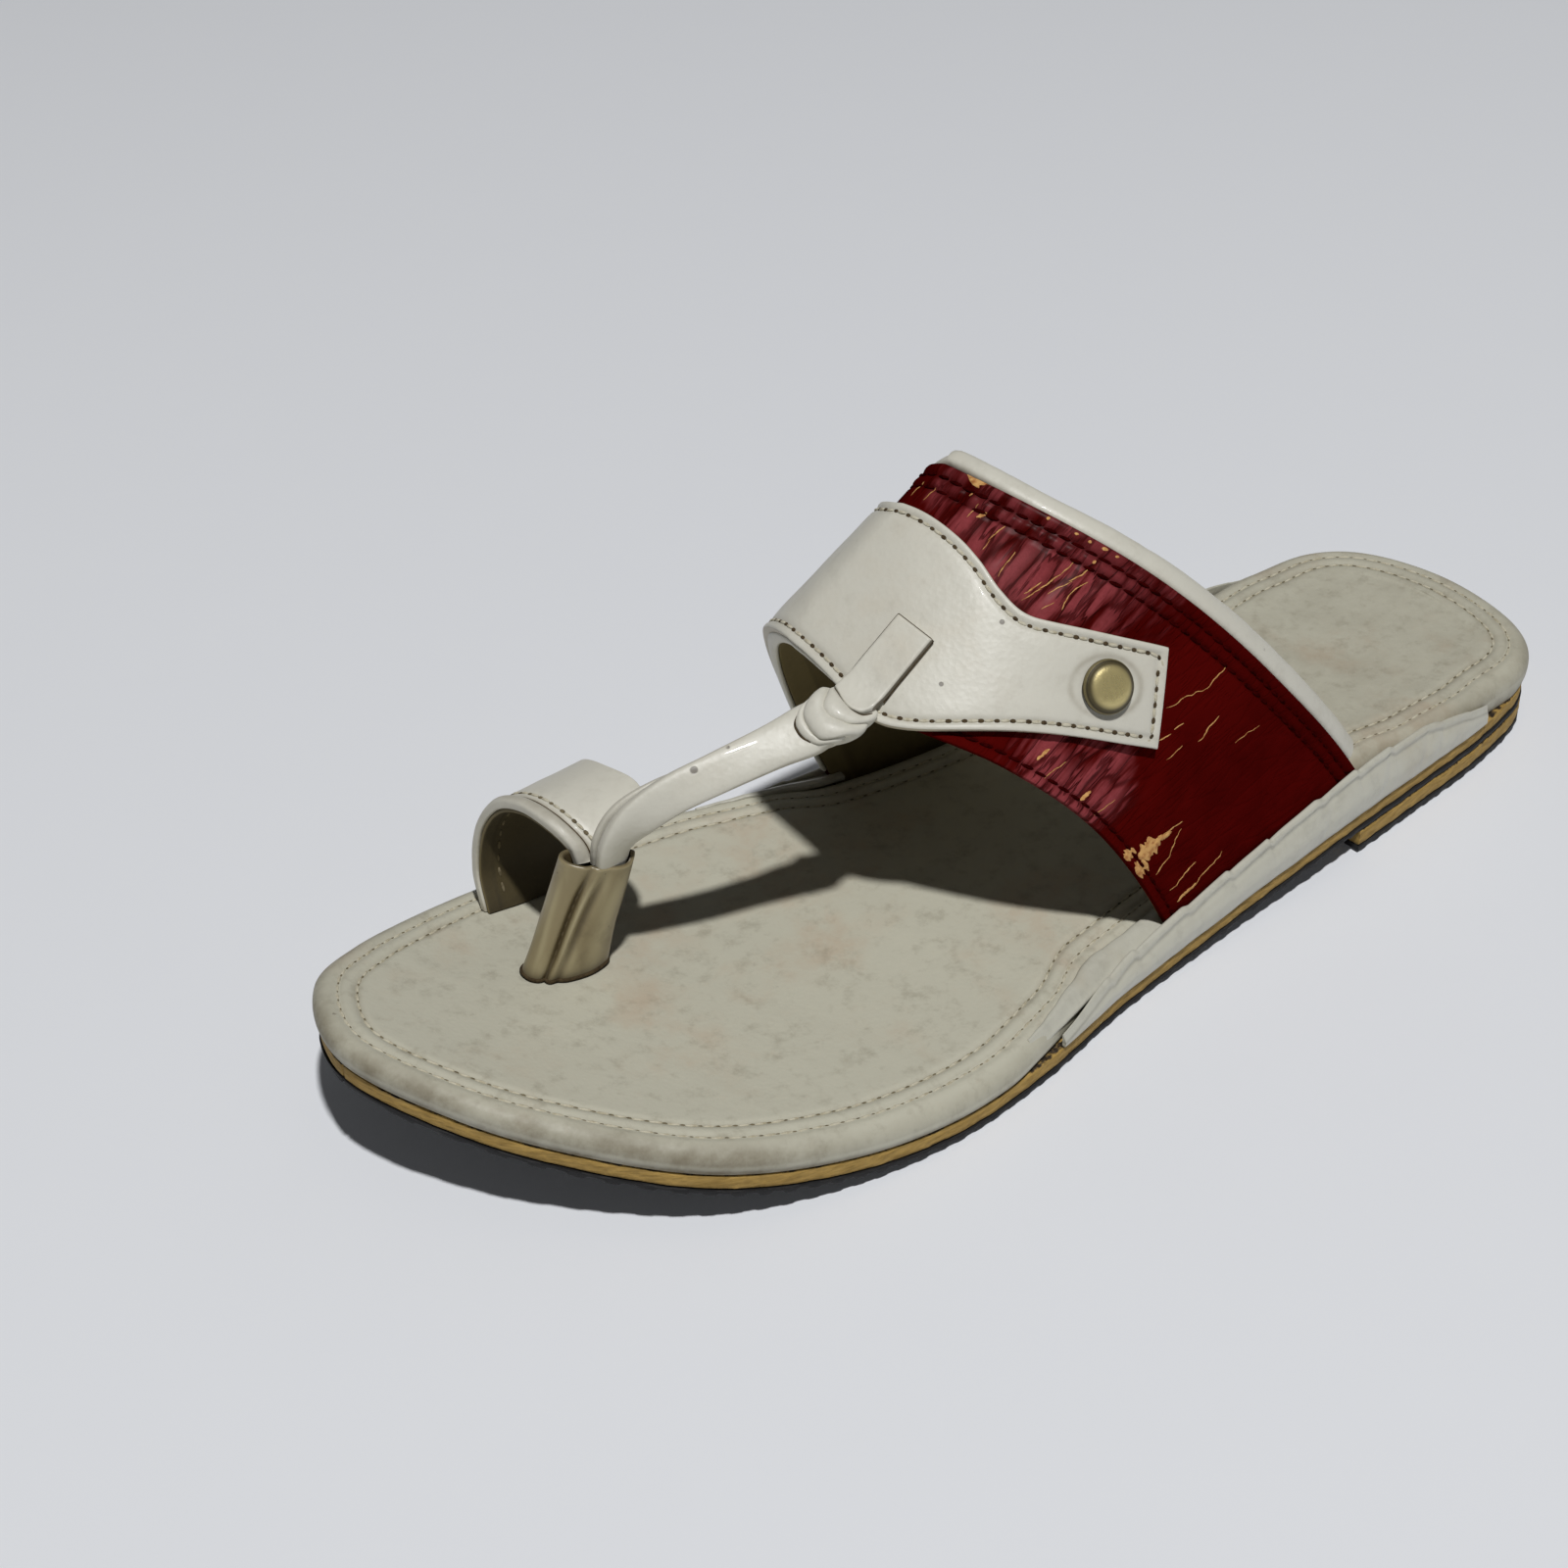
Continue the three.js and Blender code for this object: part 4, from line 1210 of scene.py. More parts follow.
class SewnRows:
    """Rows of stitches and needle holes along paths, made by one node tree."""

    INPUTS = ("Pitch", "Length", "Width", "Height", "Shift", "Rise", "Yaw")
    BEAD = {"Segments": 8, "Rings": 6, "Radius": 0.5}
    UNEVEN = {2: 0.86, 3: 1.1}

    def __init__(self) -> None:
        """Builds the node tree."""
        self.tree = bpy.data.node_groups.new("sewn_row", "GeometryNodeTree")
        kinds = {
            "Path": "Geometry", **dict.fromkeys(self.INPUTS, "Float"), "Seed": "Int", "Material": "Material"
        }
        face = self.tree.interface
        self.keys = {
            name: face.new_socket(name, in_out="INPUT", socket_type=f"NodeSocket{kind}").identifier
            for name, kind in kinds.items()
        }
        face.new_socket("Geometry", in_out="OUTPUT", socket_type="NodeSocketGeometry")
        self.wire()

    def node(self, kind: str, sockets: dict[Any, Any], output: int = 0, **settings: Any) -> Link:
        """Adds a node and gives one of its outputs."""
        return add_node(self.tree, kind, sockets, **settings).outputs[output]

    def scaled(self, vector: Link, scale: Link) -> Link:
        """Adds a node that scales a vector."""
        return self.node("ShaderNodeVectorMath", {0: vector, "Scale": scale}, operation="SCALE")

    def wire(self) -> None:
        """Wires the tree: resampled path, stitches set on its points, realized and dressed."""
        inputs = self.tree.nodes.new("NodeGroupInput").outputs
        curve = self.node("GeometryNodeMeshToCurve", {"Mesh": inputs["Path"]})
        spacing = {"Curve": curve, "Length": inputs["Pitch"]}
        spaced = self.node("GeometryNodeResampleCurve", spacing, mode="LENGTH")
        tangent = self.node("GeometryNodeInputTangent", {})
        up = self.node("GeometryNodeInputNamedAttribute", {"Name": "up"}, data_type="FLOAT_VECTOR")
        ahead = self.scaled(tangent, inputs["Shift"])
        lifted = self.scaled(up, inputs["Rise"])
        offset = self.node("ShaderNodeVectorMath", {0: ahead, 1: lifted})
        moved = self.node("GeometryNodeSetPosition", {"Geometry": spaced, "Offset": offset})
        axes = {"primary_axis": "X", "secondary_axis": "Z"}
        facing = self.node("FunctionNodeAxesToRotation", {0: tangent, 1: up}, **axes)
        yaw = self.node("ShaderNodeCombineXYZ", {"Z": inputs["Yaw"]})
        turned = self.node("FunctionNodeRotateRotation", {0: facing, 1: yaw}, rotation_space="LOCAL")
        bead = self.node("GeometryNodeMeshUVSphere", self.BEAD)
        sizes = {"X": inputs["Length"], "Y": inputs["Width"], "Z": inputs["Height"]}
        size = self.node("ShaderNodeCombineXYZ", sizes)
        chance = {**self.UNEVEN, 8: inputs["Seed"]}
        uneven = self.node("FunctionNodeRandomValue", chance, 1, data_type="FLOAT")
        grown = self.scaled(size, uneven)
        sockets = {"Points": moved, "Instance": bead, "Rotation": turned, "Scale": grown}
        placed = self.node("GeometryNodeInstanceOnPoints", sockets)
        real = self.node("GeometryNodeRealizeInstances", {"Geometry": placed})
        dressed = self.node("GeometryNodeSetMaterial", {"Geometry": real, "Material": inputs["Material"]})
        add_node(self.tree, "NodeGroupOutput", {0: dressed})

    def sew(self, name: str, paths: Sequence[Path], sewing: Sewing, stuff: Stuff, seed: int) -> None:
        """Sews and dresses rows along paths, as one piece.

        Args:
            name: Name of the piece.
            paths: The paths.
            sewing: Sizes of each stitch or hole.
            stuff: Finish of the thread or hole.
            seed: Seed of its unevenness.
        """
        mesh = bpy.data.meshes.new(name)
        numbers = np.arange(sum(len(path.points) for path in paths))
        ends = np.cumsum([len(path.points) for path in paths])
        edges = [(int(i), int(i) + 1) for i in numbers if i + 1 not in ends]
        mesh.from_pydata((np.vstack([path.points for path in paths]) * MM).tolist(), edges, [])
        up = np.vstack([path.up for path in paths])
        mesh.attributes.new("up", "FLOAT_VECTOR", "POINT").data.foreach_set("vector", up.ravel())
        piece = add_object(name, mesh)
        modifier = piece.modifiers.new("sewn_row", "NODES")
        modifier.node_group = self.tree
        for key in self.INPUTS:
            size = getattr(sewing, key.lower())
            modifier[self.keys[key]] = float(size if key == "Yaw" else size * MM)
        modifier[self.keys["Seed"]] = seed
        modifier[self.keys["Material"]] = stuff.material
        evaluated = piece.evaluated_get(bpy.context.evaluated_depsgraph_get())
        sewn = bpy.data.meshes.new_from_object(evaluated)
        piece.modifiers.remove(modifier)
        piece.data = sewn
        bpy.data.meshes.remove(mesh)
        sewn.name = name
        sewn.materials.clear()
        sewn.materials.append(stuff.material)
        sewn.polygons.foreach_set("use_smooth", [True] * len(sewn.polygons))
        dress(piece, stuff.slot)


class LayerPlan(NamedTuple):
    """How one layer of the sole is cut."""

    node: str
    word: str
    end: float
    inset: float
    seed: int
    fine: bool
    ribbed: bool


@dataclass(frozen=True)
class SoleLayers:
    """Outsole, midsole and the two heel layers, with fine ribs across the tread."""

    stations: int = 320
    rib_pitch: float = 4.4
    rib_depth: float = 0.6
    rib_step: float = 0.55
    round_edge: float = 0.35
    ragged: float = 0.1
    ragged_wave: float = 9.0
    thinnest: float = 0.1
    fill_steps: int = 10
    sharp: float = 50.0
    levels: Rows = table(
        "share corner",
        (0.0, 1.0), (0.06, 0.25), (0.3, 0.0), (0.55, 0.0), (0.8, 0.0), (0.94, 0.25), (1.0, 1.0),
    )
    plans: tuple[LayerPlan, ...] = (
        LayerPlan("outsole", "tread", SOLE.toe_tip[0], 0.5, 11, True, True),
        LayerPlan("midsole", "board", SOLE.toe_tip[0], 0.7, 21, False, False),
        LayerPlan("heel_lift", "board", SOLE.breast - GAP, 0.5, 31, True, False),
        LayerPlan("heel_top_piece", "tread", SOLE.breast - GAP, 0.5, 41, True, True),
    )
    rib_offset: float = 0.35
    rib_slope: float = 0.6
    ragged_lean: float = 37.0

    def sections(self, end: float, fine: bool) -> Array:
        """Sections from the heel to an end, close enough for ribs if fine.

        Args:
            end: Last section.
            fine: Whether ribs need close sections.

        Returns:
            The sections.
        """
        start = SOLE.heel_tip[0]
        places = SOLE.stations(self.stations)
        if fine:
            places = np.concatenate([places, np.arange(start, end, self.rib_step)])
        inside = places[(places > start) & (places < end)]
        return np.unique(np.round(np.concatenate([[start], inside, [end]]), 3))

    def rib(self, x: Array) -> Array:
        """Depth of the grooves between the ribs of the tread."""
        wave = np.cos(math.tau * x / self.rib_pitch)
        return self.rib_depth * smooth((wave + self.rib_offset) / self.rib_slope)

    def heights(self, node: str, x: Array) -> tuple[Array, Array]:
        """Underside and top of a layer at sections.

        Args:
            node: Node of the layer.
            x: Sections along the foot.

        Returns:
            The underside and the top.
        """
        if node == "outsole":
            ramp = smooth((x - SOLE.breast) / SOLE.breast_ramp)
            return SOLE.outsole_bottom(x) - self.rib(x) * (1.0 - ramp), SOLE.outsole_top(x)
        if node == "midsole":
            return SOLE.midsole_bottom(x), SOLE.midsole_top(x)
        if node == "heel_lift":
            return SOLE.heel_top_piece + SOLE.layer_gap + 0.0 * x, SOLE.lift_top(x)
        return 0.0 * x, SOLE.heel_top_piece + 0.0 * x

    def layer(self, plan: LayerPlan, stuff: Stuff) -> None:
        """Builds and dresses one layer.

        Args:
            plan: How it is cut.
            stuff: Its finish.
        """
        share, corner = np.array(self.levels).T
        corner = corner * self.round_edge
        x = self.sections(plan.end, plan.fine)[:, None]
        sides = []
        for side in Side:
            ripple = Ripple(self.ragged, self.ragged_wave, plan.seed + side.value)
            rough = ripple.at(x + self.ragged_lean * share)
            rim_x, rim_y = SOLE.rim(side, x, plan.inset + corner + rough * (corner < self.round_edge))
            low, high = self.heights(plan.node, rim_x)
            low = low + (self.rib(rim_x) if plan.ribbed else 0.0)
            sides.append(xyz(rim_x, rim_y, lerp(low, np.maximum(high, low + self.thinnest), share)))
        medial, lateral = sides
        fill = inner_shares(self.fill_steps)
        over = lerp(lateral[:, -1:, :], medial[:, -1:, :], fill[None, :, None])
        under = lerp(medial[:, :1, :], lateral[:, :1, :], fill[None, :, None])
        loops = np.concatenate([lateral, over, medial[:, ::-1], under], axis=1)
        rise = np.concatenate([share, np.ones(len(fill)), share[::-1], np.zeros(len(fill))])
        Form().sweep(loops, rise=rise).build(f"{plan.node}_{plan.word}", stuff, plan.node, self.sharp)

    def build(self, **stuffs: Stuff) -> None:
        """Builds and dresses the layers, each in the finish named by its word."""
        for plan in self.plans:
            self.layer(plan, stuffs[plan.word])


@dataclass(frozen=True)
class Footbed:
    """Padded footbed with a rolled rim, two sewn rows and the foot's imprint."""

    stations: int = 300
    path_stations: int = 400
    rim_reach: float = 5.0
    rim_drop: float = 3.9
    rim_power: float = 2.3
    foot_inset: float = 0.8
    rows: tuple[float, float] = (4.7, 8.2)
    padding: Rows = table(
        RIDGE, (2.7, 1.7, 0.18), (4.7, 0.75, -0.42), (8.2, 0.75, -0.42), (6.45, 1.0, 0.16)
    )
    row_dirt: Rows = table(RIDGE, (4.7, 0.7, 0.3), (8.2, 0.7, 0.3))
    sewn_to: float = 11.0
    sewn_step: float = 0.3
    fill_steps: int = 56
    heel_from: float = -30.0
    heel_dirt: float = 0.26
    toe_from: float = 70.0
    toe_dirt: float = 0.55
    dirt_ramp: float = 30.0
    rim_dirt: float = 3.4
    imprints: Rows = table(
        "x y half_long half_wide depth",
        (-104, 7, 30, 24, 0.9), (52, -18, 30, 20, 0.7), (44, 22, 30, 18, 0.6),
        (92, -33, 16, 9, 0.5), (104, 2, 12, 9, 0.35), (92, 20, 12, 8, 0.3),
    )
    uneven: Ripple = Ripple(0.07, 23.0, 5)
    uneven_skew: float = 0.4
    uneven_from: float = 3.0
    imprint_from: float = 9.0
    imprint_ramp: float = 6.0
    tuck_steps: int = 7
    rim_steps: int = 15
    foot_darkening: float = 0.85
    foot_dirt_to: float = 0.9
    rim_dirt_share: float = 0.3
    sharp: float = 70.0
    sewn_drop: float = 0.05

    def relief(self, x: Array, y: Array, inset: Array) -> Array:
        """Height that the padding adds to the flat top.

        Args:
            x: Place along the foot.
            y: Place across the foot.
            inset: Distance from the footbed's edge.

        Returns:
            The height, negative in the sewn rows and imprints.
        """
        height = ridges(self.padding, inset)
        height = height + self.uneven.at(x + self.uneven_skew * y) * smooth(inset / self.uneven_from)
        for mark in self.imprints:
            reach = ((x - mark.x) / mark.half_long) ** 2 + ((y - mark.y) / mark.half_wide) ** 2
            inside = smooth((inset - self.imprint_from) / self.imprint_ramp)
            height = height - mark.depth * np.exp(-reach) * inside
        return height

    def side(self, side: Side, x: Array) -> tuple[Array, Array, Array]:
        """Edge of the footbed on one side.

        Args:
            side: Side of the foot.
            x: Sections along the foot.

        Returns:
            Its points (sections, levels, 3), and each level's inset and dirt.
        """
        turn = np.linspace(0.0, math.pi / 2.0, self.rim_steps)[1:]
        power = 2.0 / self.rim_power
        tuck = np.linspace(0.0, 1.0, self.tuck_steps)
        rim_inset = self.rim_reach * (1.0 - np.cos(turn) ** power)
        rim_drop = self.rim_drop * (1.0 - np.sin(turn) ** power)
        sewn = np.arange(self.rim_reach + self.sewn_step, self.sewn_to, self.sewn_step)
        inset = np.concatenate([self.foot_inset * (1.0 - tuck) ** 2, rim_inset, sewn])
        drop = np.concatenate([np.full(len(tuck), self.rim_drop), rim_drop, np.zeros(len(sewn))])
        level = np.concatenate([tuck, np.ones(len(rim_inset) + len(sewn))])
        rim_x, rim_y = SOLE.rim(side, x[:, None], SOLE.seat(x)[:, None] + inset)
        top = SOLE.footbed_top(rim_x) - drop
        padded = self.relief(rim_x, rim_y, np.broadcast_to(inset, rim_x.shape)) * (level >= 1.0)
        z = lerp(SOLE.footbed_bottom(rim_x), top, level) + padded
        dirt = self.foot_darkening * (1.0 - smooth(tuck / self.foot_dirt_to))
        rim_dirt = self.rim_dirt_share * (1.0 - smooth(rim_inset / self.rim_dirt))
        return xyz(rim_x, rim_y, z), inset, np.concatenate([dirt, rim_dirt, ridges(self.row_dirt, sewn)])

    def build(self, leather: Stuff) -> None:
        """Builds and dresses the footbed.

        Args:
            leather: Material of the leather.
        """
        x = SOLE.stations(self.stations)
        lateral, inset, dirt = self.side(Side.LATERAL, x)
        medial, _, _ = self.side(Side.MEDIAL, x)
        share = inner_shares(self.fill_steps)
        over = lerp(lateral[:, -1:, :], medial[:, -1:, :], share[None, :, None])
        wide = np.linalg.norm(lateral[:, -1] - medial[:, -1], axis=-1)[:, None]
        inner = inset[-1] + np.minimum(share, 1.0 - share) * wide
        over[..., 2] = SOLE.footbed_top(over[..., 0]) + self.relief(over[..., 0], over[..., 1], inner)
        loops = np.concatenate([lateral, over, medial[:, ::-1]], axis=1)
        darkening = np.concatenate([dirt, np.zeros(len(share)), dirt[::-1]])
        heel = self.heel_dirt * smooth((self.heel_from - x) / self.dirt_ramp)
        toe = self.toe_dirt * smooth((x - self.toe_from) / self.dirt_ramp)
        rim = bell(np.concatenate([inset, inner[0], inset[::-1]]), self.rim_dirt)
        darkening = darkening + heel[:, None] + toe[:, None] * rim
        form = Form().sweep(loops, dirt=np.minimum(1.0, darkening))
        piece = form.build("footbed_leather", leather, "footbed", self.sharp)

    def paths(self) -> list[Path]:
        """Paths of the two sewn rows round the footbed.

        Returns:
            The paths, the outer row first.
        """
        x = SOLE.stations(self.path_stations)
        made = []
        for inset in self.rows:
            drop = self.rim_drop * max(0.0, 1.0 - inset / self.rim_reach) * self.sewn_drop
            lines = []
            for side in (Side.LATERAL, Side.MEDIAL):
                rim_x, rim_y = SOLE.rim(side, x, SOLE.seat(x) + inset)
                height = self.relief(rim_x, rim_y, np.full(len(x), inset))
                lines.append(xyz(rim_x, rim_y, SOLE.footbed_top(rim_x) - drop + height))
            loop = np.vstack([lines[0], lines[1][::-1][1:]])
            made.append(Path(loop, np.tile(UP, (len(loop), 1))))
        return made


@dataclass(frozen=True)
class InstepBand:
    """Red instep band with its lining."""

    red_thickness: float = 1.4
    lining_thickness: float = 0.85
    lining_trim: float = 0.5
    corner: float = 0.3
    around_steps: int = 300
    across_steps: int = 78
    rear_rows: tuple[float, float] = (2.6, 5.4)
    front_row: float = 2.3
    rear_folds: Rows = table(RIDGE, (0.9, 0.9, 0.28), (2.6, 0.5, -0.34), (5.4, 0.5, -0.34))
    front_folds: Rows = table(RIDGE, (0.9, 0.8, 0.2), (2.3, 0.5, -0.3))
    rear_dirt: Rows = table(RIDGE, (2.6, 0.6, 0.5), (5.4, 0.6, 0.5))
    pucker_pitch: float = 3.1
    crease_lean: float = 3.0
    binding: float = 6.0
    sewn_to: float = 0.93
    creases: Rows = table(
        "around across half_long half_wide height",
        (0.10, 0.90, 0.10, 0.9, -0.30), (0.18, 0.86, 0.12, 0.9, -0.35), (0.25, 0.82, 0.14, 1.0, -0.45),
        (0.31, 0.80, 0.17, 1.1, 0.40), (0.36, 0.80, 0.18, 1.0, -0.50), (0.41, 0.83, 0.14, 0.9, -0.40),
        (0.46, 0.86, 0.12, 1.2, 0.35), (0.52, 0.12, 0.14, 0.9, -0.45), (0.56, 0.14, 0.16, 1.0, 0.45),
        (0.60, 0.15, 0.18, 0.9, -0.55), (0.64, 0.13, 0.15, 0.9, -0.50), (0.68, 0.12, 0.15, 1.1, 0.40),
        (0.73, 0.12, 0.14, 0.9, -0.45), (0.66, 0.50, 0.28, 2.4, -0.35), (0.80, 0.45, 0.30, 2.6, 0.30),
        (0.88, 0.20, 0.20, 1.0, -0.35), (-0.55, 0.85, 0.20, 1.4, -0.45), (-0.70, 0.82, 0.22, 1.6, -0.40),
        (-0.35, 0.88, 0.14, 1.1, -0.40),
    )
    # Worn patches: crinkled, and given the red finish's painted pink sheen.
    worn_spots: Rows = table(
        "around across reach_around reach_across amount",
        (0.36, 0.86, 0.18, 0.30, 1.0), (0.12, 0.92, 0.14, 0.20, 0.7),
        (0.60, 0.12, 0.12, 0.26, 1.0), (-0.45, 0.90, 0.25, 0.20, 0.8),
    )
    arc_steps: int = 201
    width_steps: tuple[int, int] = (101, 13)
    path_steps: int = 400
    pucker_width: float = 1.5
    pucker_rise: float = 0.16
    pucker_depth: float = 0.14
    uneven: Ripple = Ripple(0.05, 8.0, 9)
    uneven_skew: float = 0.2
    lining_uneven: Ripple = Ripple(0.04, 17.0, 3)
    lining_skew: float = 30.0
    binding_ramp: float = 0.6
    front_dirt: Rows = table(RIDGE, (0.0, 0.6, 0.5))
    rim_dirt: float = 0.4
    rim_ramp: float = 0.8
    edge_dirt: float = 0.5

    @cached_property
    def arc(self) -> TableCurve:
        """Length around the band from its crest, at half its width."""
        around = np.linspace(-1.0, 1.0, self.arc_steps)
        length = run_length(BAND.point(around, 0.5, 0.0))
        return TableCurve(around, length - np.interp(0.0, around, length))

    @cached_property
    def width(self) -> TableCurve:
        """Width of the band from front to rear, around the last."""
        around = np.linspace(-1.0, 1.0, self.width_steps[0])
        across = np.linspace(0.0, 1.0, self.width_steps[1])
        return TableCurve(around, run_length(BAND.point(around[None, :], across[:, None], 0.0))[-1])

    def relief(self, around: Array, across: Array) -> Array:
        """Height of the folds, sewn rows and creases of the red leather.

        Args:
            around: Place around the last.
            across: Millimetres from the front edge.

        Returns:
            The height above the band's plain surface.
        """
        width = self.width(around)
        arc = self.arc(around)
        rear = width - across
        between = bell(rear - sum(self.rear_rows) / 2.0, self.pucker_width)
        height = ridges(self.rear_folds, rear) + ridges(self.front_folds, across)
        pucker = self.pucker_rise + self.pucker_depth * np.sin(math.tau * arc / self.pucker_pitch)
        height = height + pucker * between
        for crease in self.creases:
            away = across / width - crease.across
            along = smooth(1.0 - np.abs(away) / crease.half_long)
            aside = arc - self.arc(crease.around) - self.crease_lean * away
            height = height + crease.height * bell(aside, crease.half_wide) * along
        return height + self.uneven.at(arc + self.uneven_skew * across)

    def worn(self, around: Array, across: Array) -> Array:
        """How crinkled the finish is, from 0 to 1.

        Args:
            around: Places around the last.
            across: Millimetres from the front edge.

        Returns:
            The amount of wear at each place.
        """
        share = across / self.width(around)
        total = 0.0 * share
        for spot in self.worn_spots:
            reach = ((around - spot.around) / spot.reach_around) ** 2
            reach = reach + ((share - spot.across) / spot.reach_across) ** 2
            total = total + spot.amount * np.exp(-reach)
        return np.clip(total, 0.0, 1.0)

    def layer(self, thickness: float, middle: float, outer: bool) -> Form:
        """Skin of one layer of the wall.

        Args:
            thickness: Thickness of the layer.
            middle: Offset of its middle from the band's outer surface.
            outer: True for the red layer, which carries the relief; the lining is trimmed and coarser.

        Returns:
            The layer's form.
        """
        coarse, trim = (1, 0.0) if outer else (2, self.lining_trim)
        around = np.linspace(-1.0, 1.0, self.around_steps // coarse + 1)[:, None]
        width = self.width(around)
        strip = strip_loops(width[:, 0] - 2.0 * trim, thickness, self.corner, self.across_steps // coarse)
        across = strip.across + trim
        place = np.broadcast_to(around, across.shape)
        inside = self.lining_uneven.at(across + self.lining_skew * place)
        relief = self.relief(place, across) if outer else inside
        offset = middle + strip.lift * thickness / 2.0 + relief * strip.face
        rear = width - across
        edge = strip.edge if outer else smooth((self.binding - across) / self.binding_ramp)
        dirt = ridges(self.rear_dirt, rear) + ridges(self.front_dirt, across - self.front_row)
        to_rear = smooth((self.rear_rows[1] + self.rim_ramp - rear) / self.rim_ramp)
        dirt = dirt + self.rim_dirt * to_rear + self.edge_dirt * edge
        sheet = xyz(self.arc(around), across, 0.0)
        points = BAND.point(place, across / width, offset)
        return Form().sweep(points, surface=sheet, dirt=dirt, edge=edge, worn=self.worn(place, across))

    def build(self, red: Stuff, lining: Stuff) -> None:
        """Builds and dresses the band's two layers.

        Args:
            red: Material of the outside.
            lining: Material of the inside.
        """
        outer = self.layer(self.red_thickness, -self.red_thickness / 2.0, True)
        outer.build("vamp_red", red, "vamp")
        inner = self.layer(self.lining_thickness, self.lining_thickness / 2.0 - BAND.wall, False)
        inner.build("vamp_lining", lining, "vamp")

    def paths(self) -> list[Path]:
        """Paths of the sewn rows: two along the rear edge and one along the front.

        Returns:
            The paths in that order.
        """
        around = np.linspace(-self.sewn_to, self.sewn_to, self.path_steps)
        width = self.width(around)
        made = []
        for across in (*(width - row for row in self.rear_rows), np.full(len(around), self.front_row)):
            share = across / width
            points = BAND.point(around, share, self.relief(around, across))
            made.append(Path(points, BAND.normal(around, share)))
        return made


@dataclass(frozen=True)
class Flakes:
    """Thin patches of bare leather where the red finish has come off."""

    band: InstepBand
    rise: float = 0.07
    sunk: float = 0.12
    steps: int = 27
    ragged: float = 0.45
    ragged_wave: float = 2.3
    margin: float = 0.12
    bend: float = 0.1
    bend_wave: float = 7.0
    section: Rows = table(
        "across rise sunk", (0.0, 0, 1), (0.12, 1, 0), (0.5, 1, 0), (0.88, 1, 0), (1.0, 0, 1), (0.5, 0, 2)
    )
    rows: Rows = table(
        "around across half_around half_across turn_degrees",
        (-0.061, 0.855, 0.104, 1.8, -6), (0.025, 0.852, 0.104, 1.7, -6), (0.136, 0.873, 0.095, 1.7, -3),
        (0.158, 0.874, 0.45, 1.1, -29), (0.207, 0.839, 0.143, 2.1, -10), (0.205, 0.779, 0.095, 1.2, 0),
        (0.261, 0.728, 0.119, 1.9, 3), (0.26, 0.782, 0.119, 1.3, 0), (0.334, 0.685, 0.119, 2, -20),
        (0.345, 0.757, 0.166, 2.1, -16), (0.355, 0.841, 0.119, 2.5, -14), (0.329, 0.711, 0.166, 1.9, -22),
        (0.367, 0.762, 0.119, 2.4, -24), (0.381, 0.843, 0.166, 2.2, -19), (0.392, 0.725, 0.119, 2, 9),
        (0.394, 0.797, 0.119, 2, -18), (0.371, 0.674, 0.095, 1.3, -26), (0.661, 0.678, 0.095, 4.8, -22),
        (0.674, 0.822, 0.119, 3.1, -2), (0.725, 0.64, 0.143, 3.4, 7), (0.681, 0.488, 0.143, 1.4, -19),
        (0.685, 0.562, 0.119, 1.2, -16), (0.712, 0.466, 0.095, 2.2, -4), (0.778, 0.742, 0.076, 3.3, -8),
        (0.533, 0.126, 0.4, 1.6, -13), (0.568, 0.097, 0.119, 2.7, -19), (0.645, 0.081, 0.5, 1.4, -6),
        (0.687, 0.093, 0.095, 2.7, -17), (0.849, 0.109, 0.166, 2.3, 16), (0.833, 0.204, 0.104, 3.8, 34),
        (0.893, 0.156, 0.133, 4.3, 13), (0.924, 0.133, 0.5, 3, 10), (0.915, 0.26, 0.133, 4.9, 15),
        (0.1, 1, 2.6, 1.5, 0), (0.27, 0.984, 0.4, 0.35, 0), (0.357, 0.98, 0.45, 0.3, 10),
        (0.386, 0.918, 0.4, 0.4, 0), (0.386, 0.984, 0.55, 0.35, 0), (0.411, 0.982, 0.4, 0.25, 0),
        (0.11, 0.928, 0.3, 0.4, 0), (0.329, 0.982, 0.5, 0.25, 0), (0.806, 0.11, 2.9, 3.0, 0),
        (0.808, 0.164, 0.9, 3.4, -8), (0.808, 0.242, 0.166, 2.6, -8), (0.786, 0.03, 2.0, 1.6, 20),
        (0.824, 0.035, 3.0, 1.7, 0), (-0.3, 0.97, 2, 0.9, 0), (-0.52, 0.82, 0.143, 3, 8),
        (-0.64, 0.76, 0.143, 3.6, 12),
    )
    least: float = 0.002

    def patch(self, form: Form, flake: Any, seed: int) -> None:
        """Adds one patch with a ragged outline.

        Args:
            form: Form that takes the patch.
            flake: Its place and sizes.
            seed: Seed of its outline.
        """
        share = np.linspace(-1.0, 1.0, self.steps)
        along = share * flake.half_across
        bend = self.bend * flake.half_across * wobble(along, self.bend_wave, seed + 4)
        half = flake.half_around * np.sqrt(np.maximum(self.least, 1.0 - share**2))
        left, right = (
            (sign * half * (1.0 + self.ragged * wobble(along, self.ragged_wave, seed + sign)))[:, None]
            for sign in (-1, 1)
        )
        across, rise, sunk = np.array(self.section).T
        along = along[:, None]
        side = lerp(left, right, across) + bend[:, None]
        cos, sin = math.cos(math.radians(flake.turn_degrees)), math.sin(math.radians(flake.turn_degrees))
        arc = float(self.band.arc(flake.around)) + side * cos - along * sin
        around = np.interp(arc, self.band.arc.values, self.band.arc.at)
        width = self.band.width(around)
        place = flake.across * float(self.band.width(flake.around)) + side * sin + along * cos
        place = np.clip(place, self.margin, width - self.margin)
        height = self.band.relief(around, place) + rise * self.rise - sunk * self.sunk
        form.sweep(BAND.point(around, place / width, height))

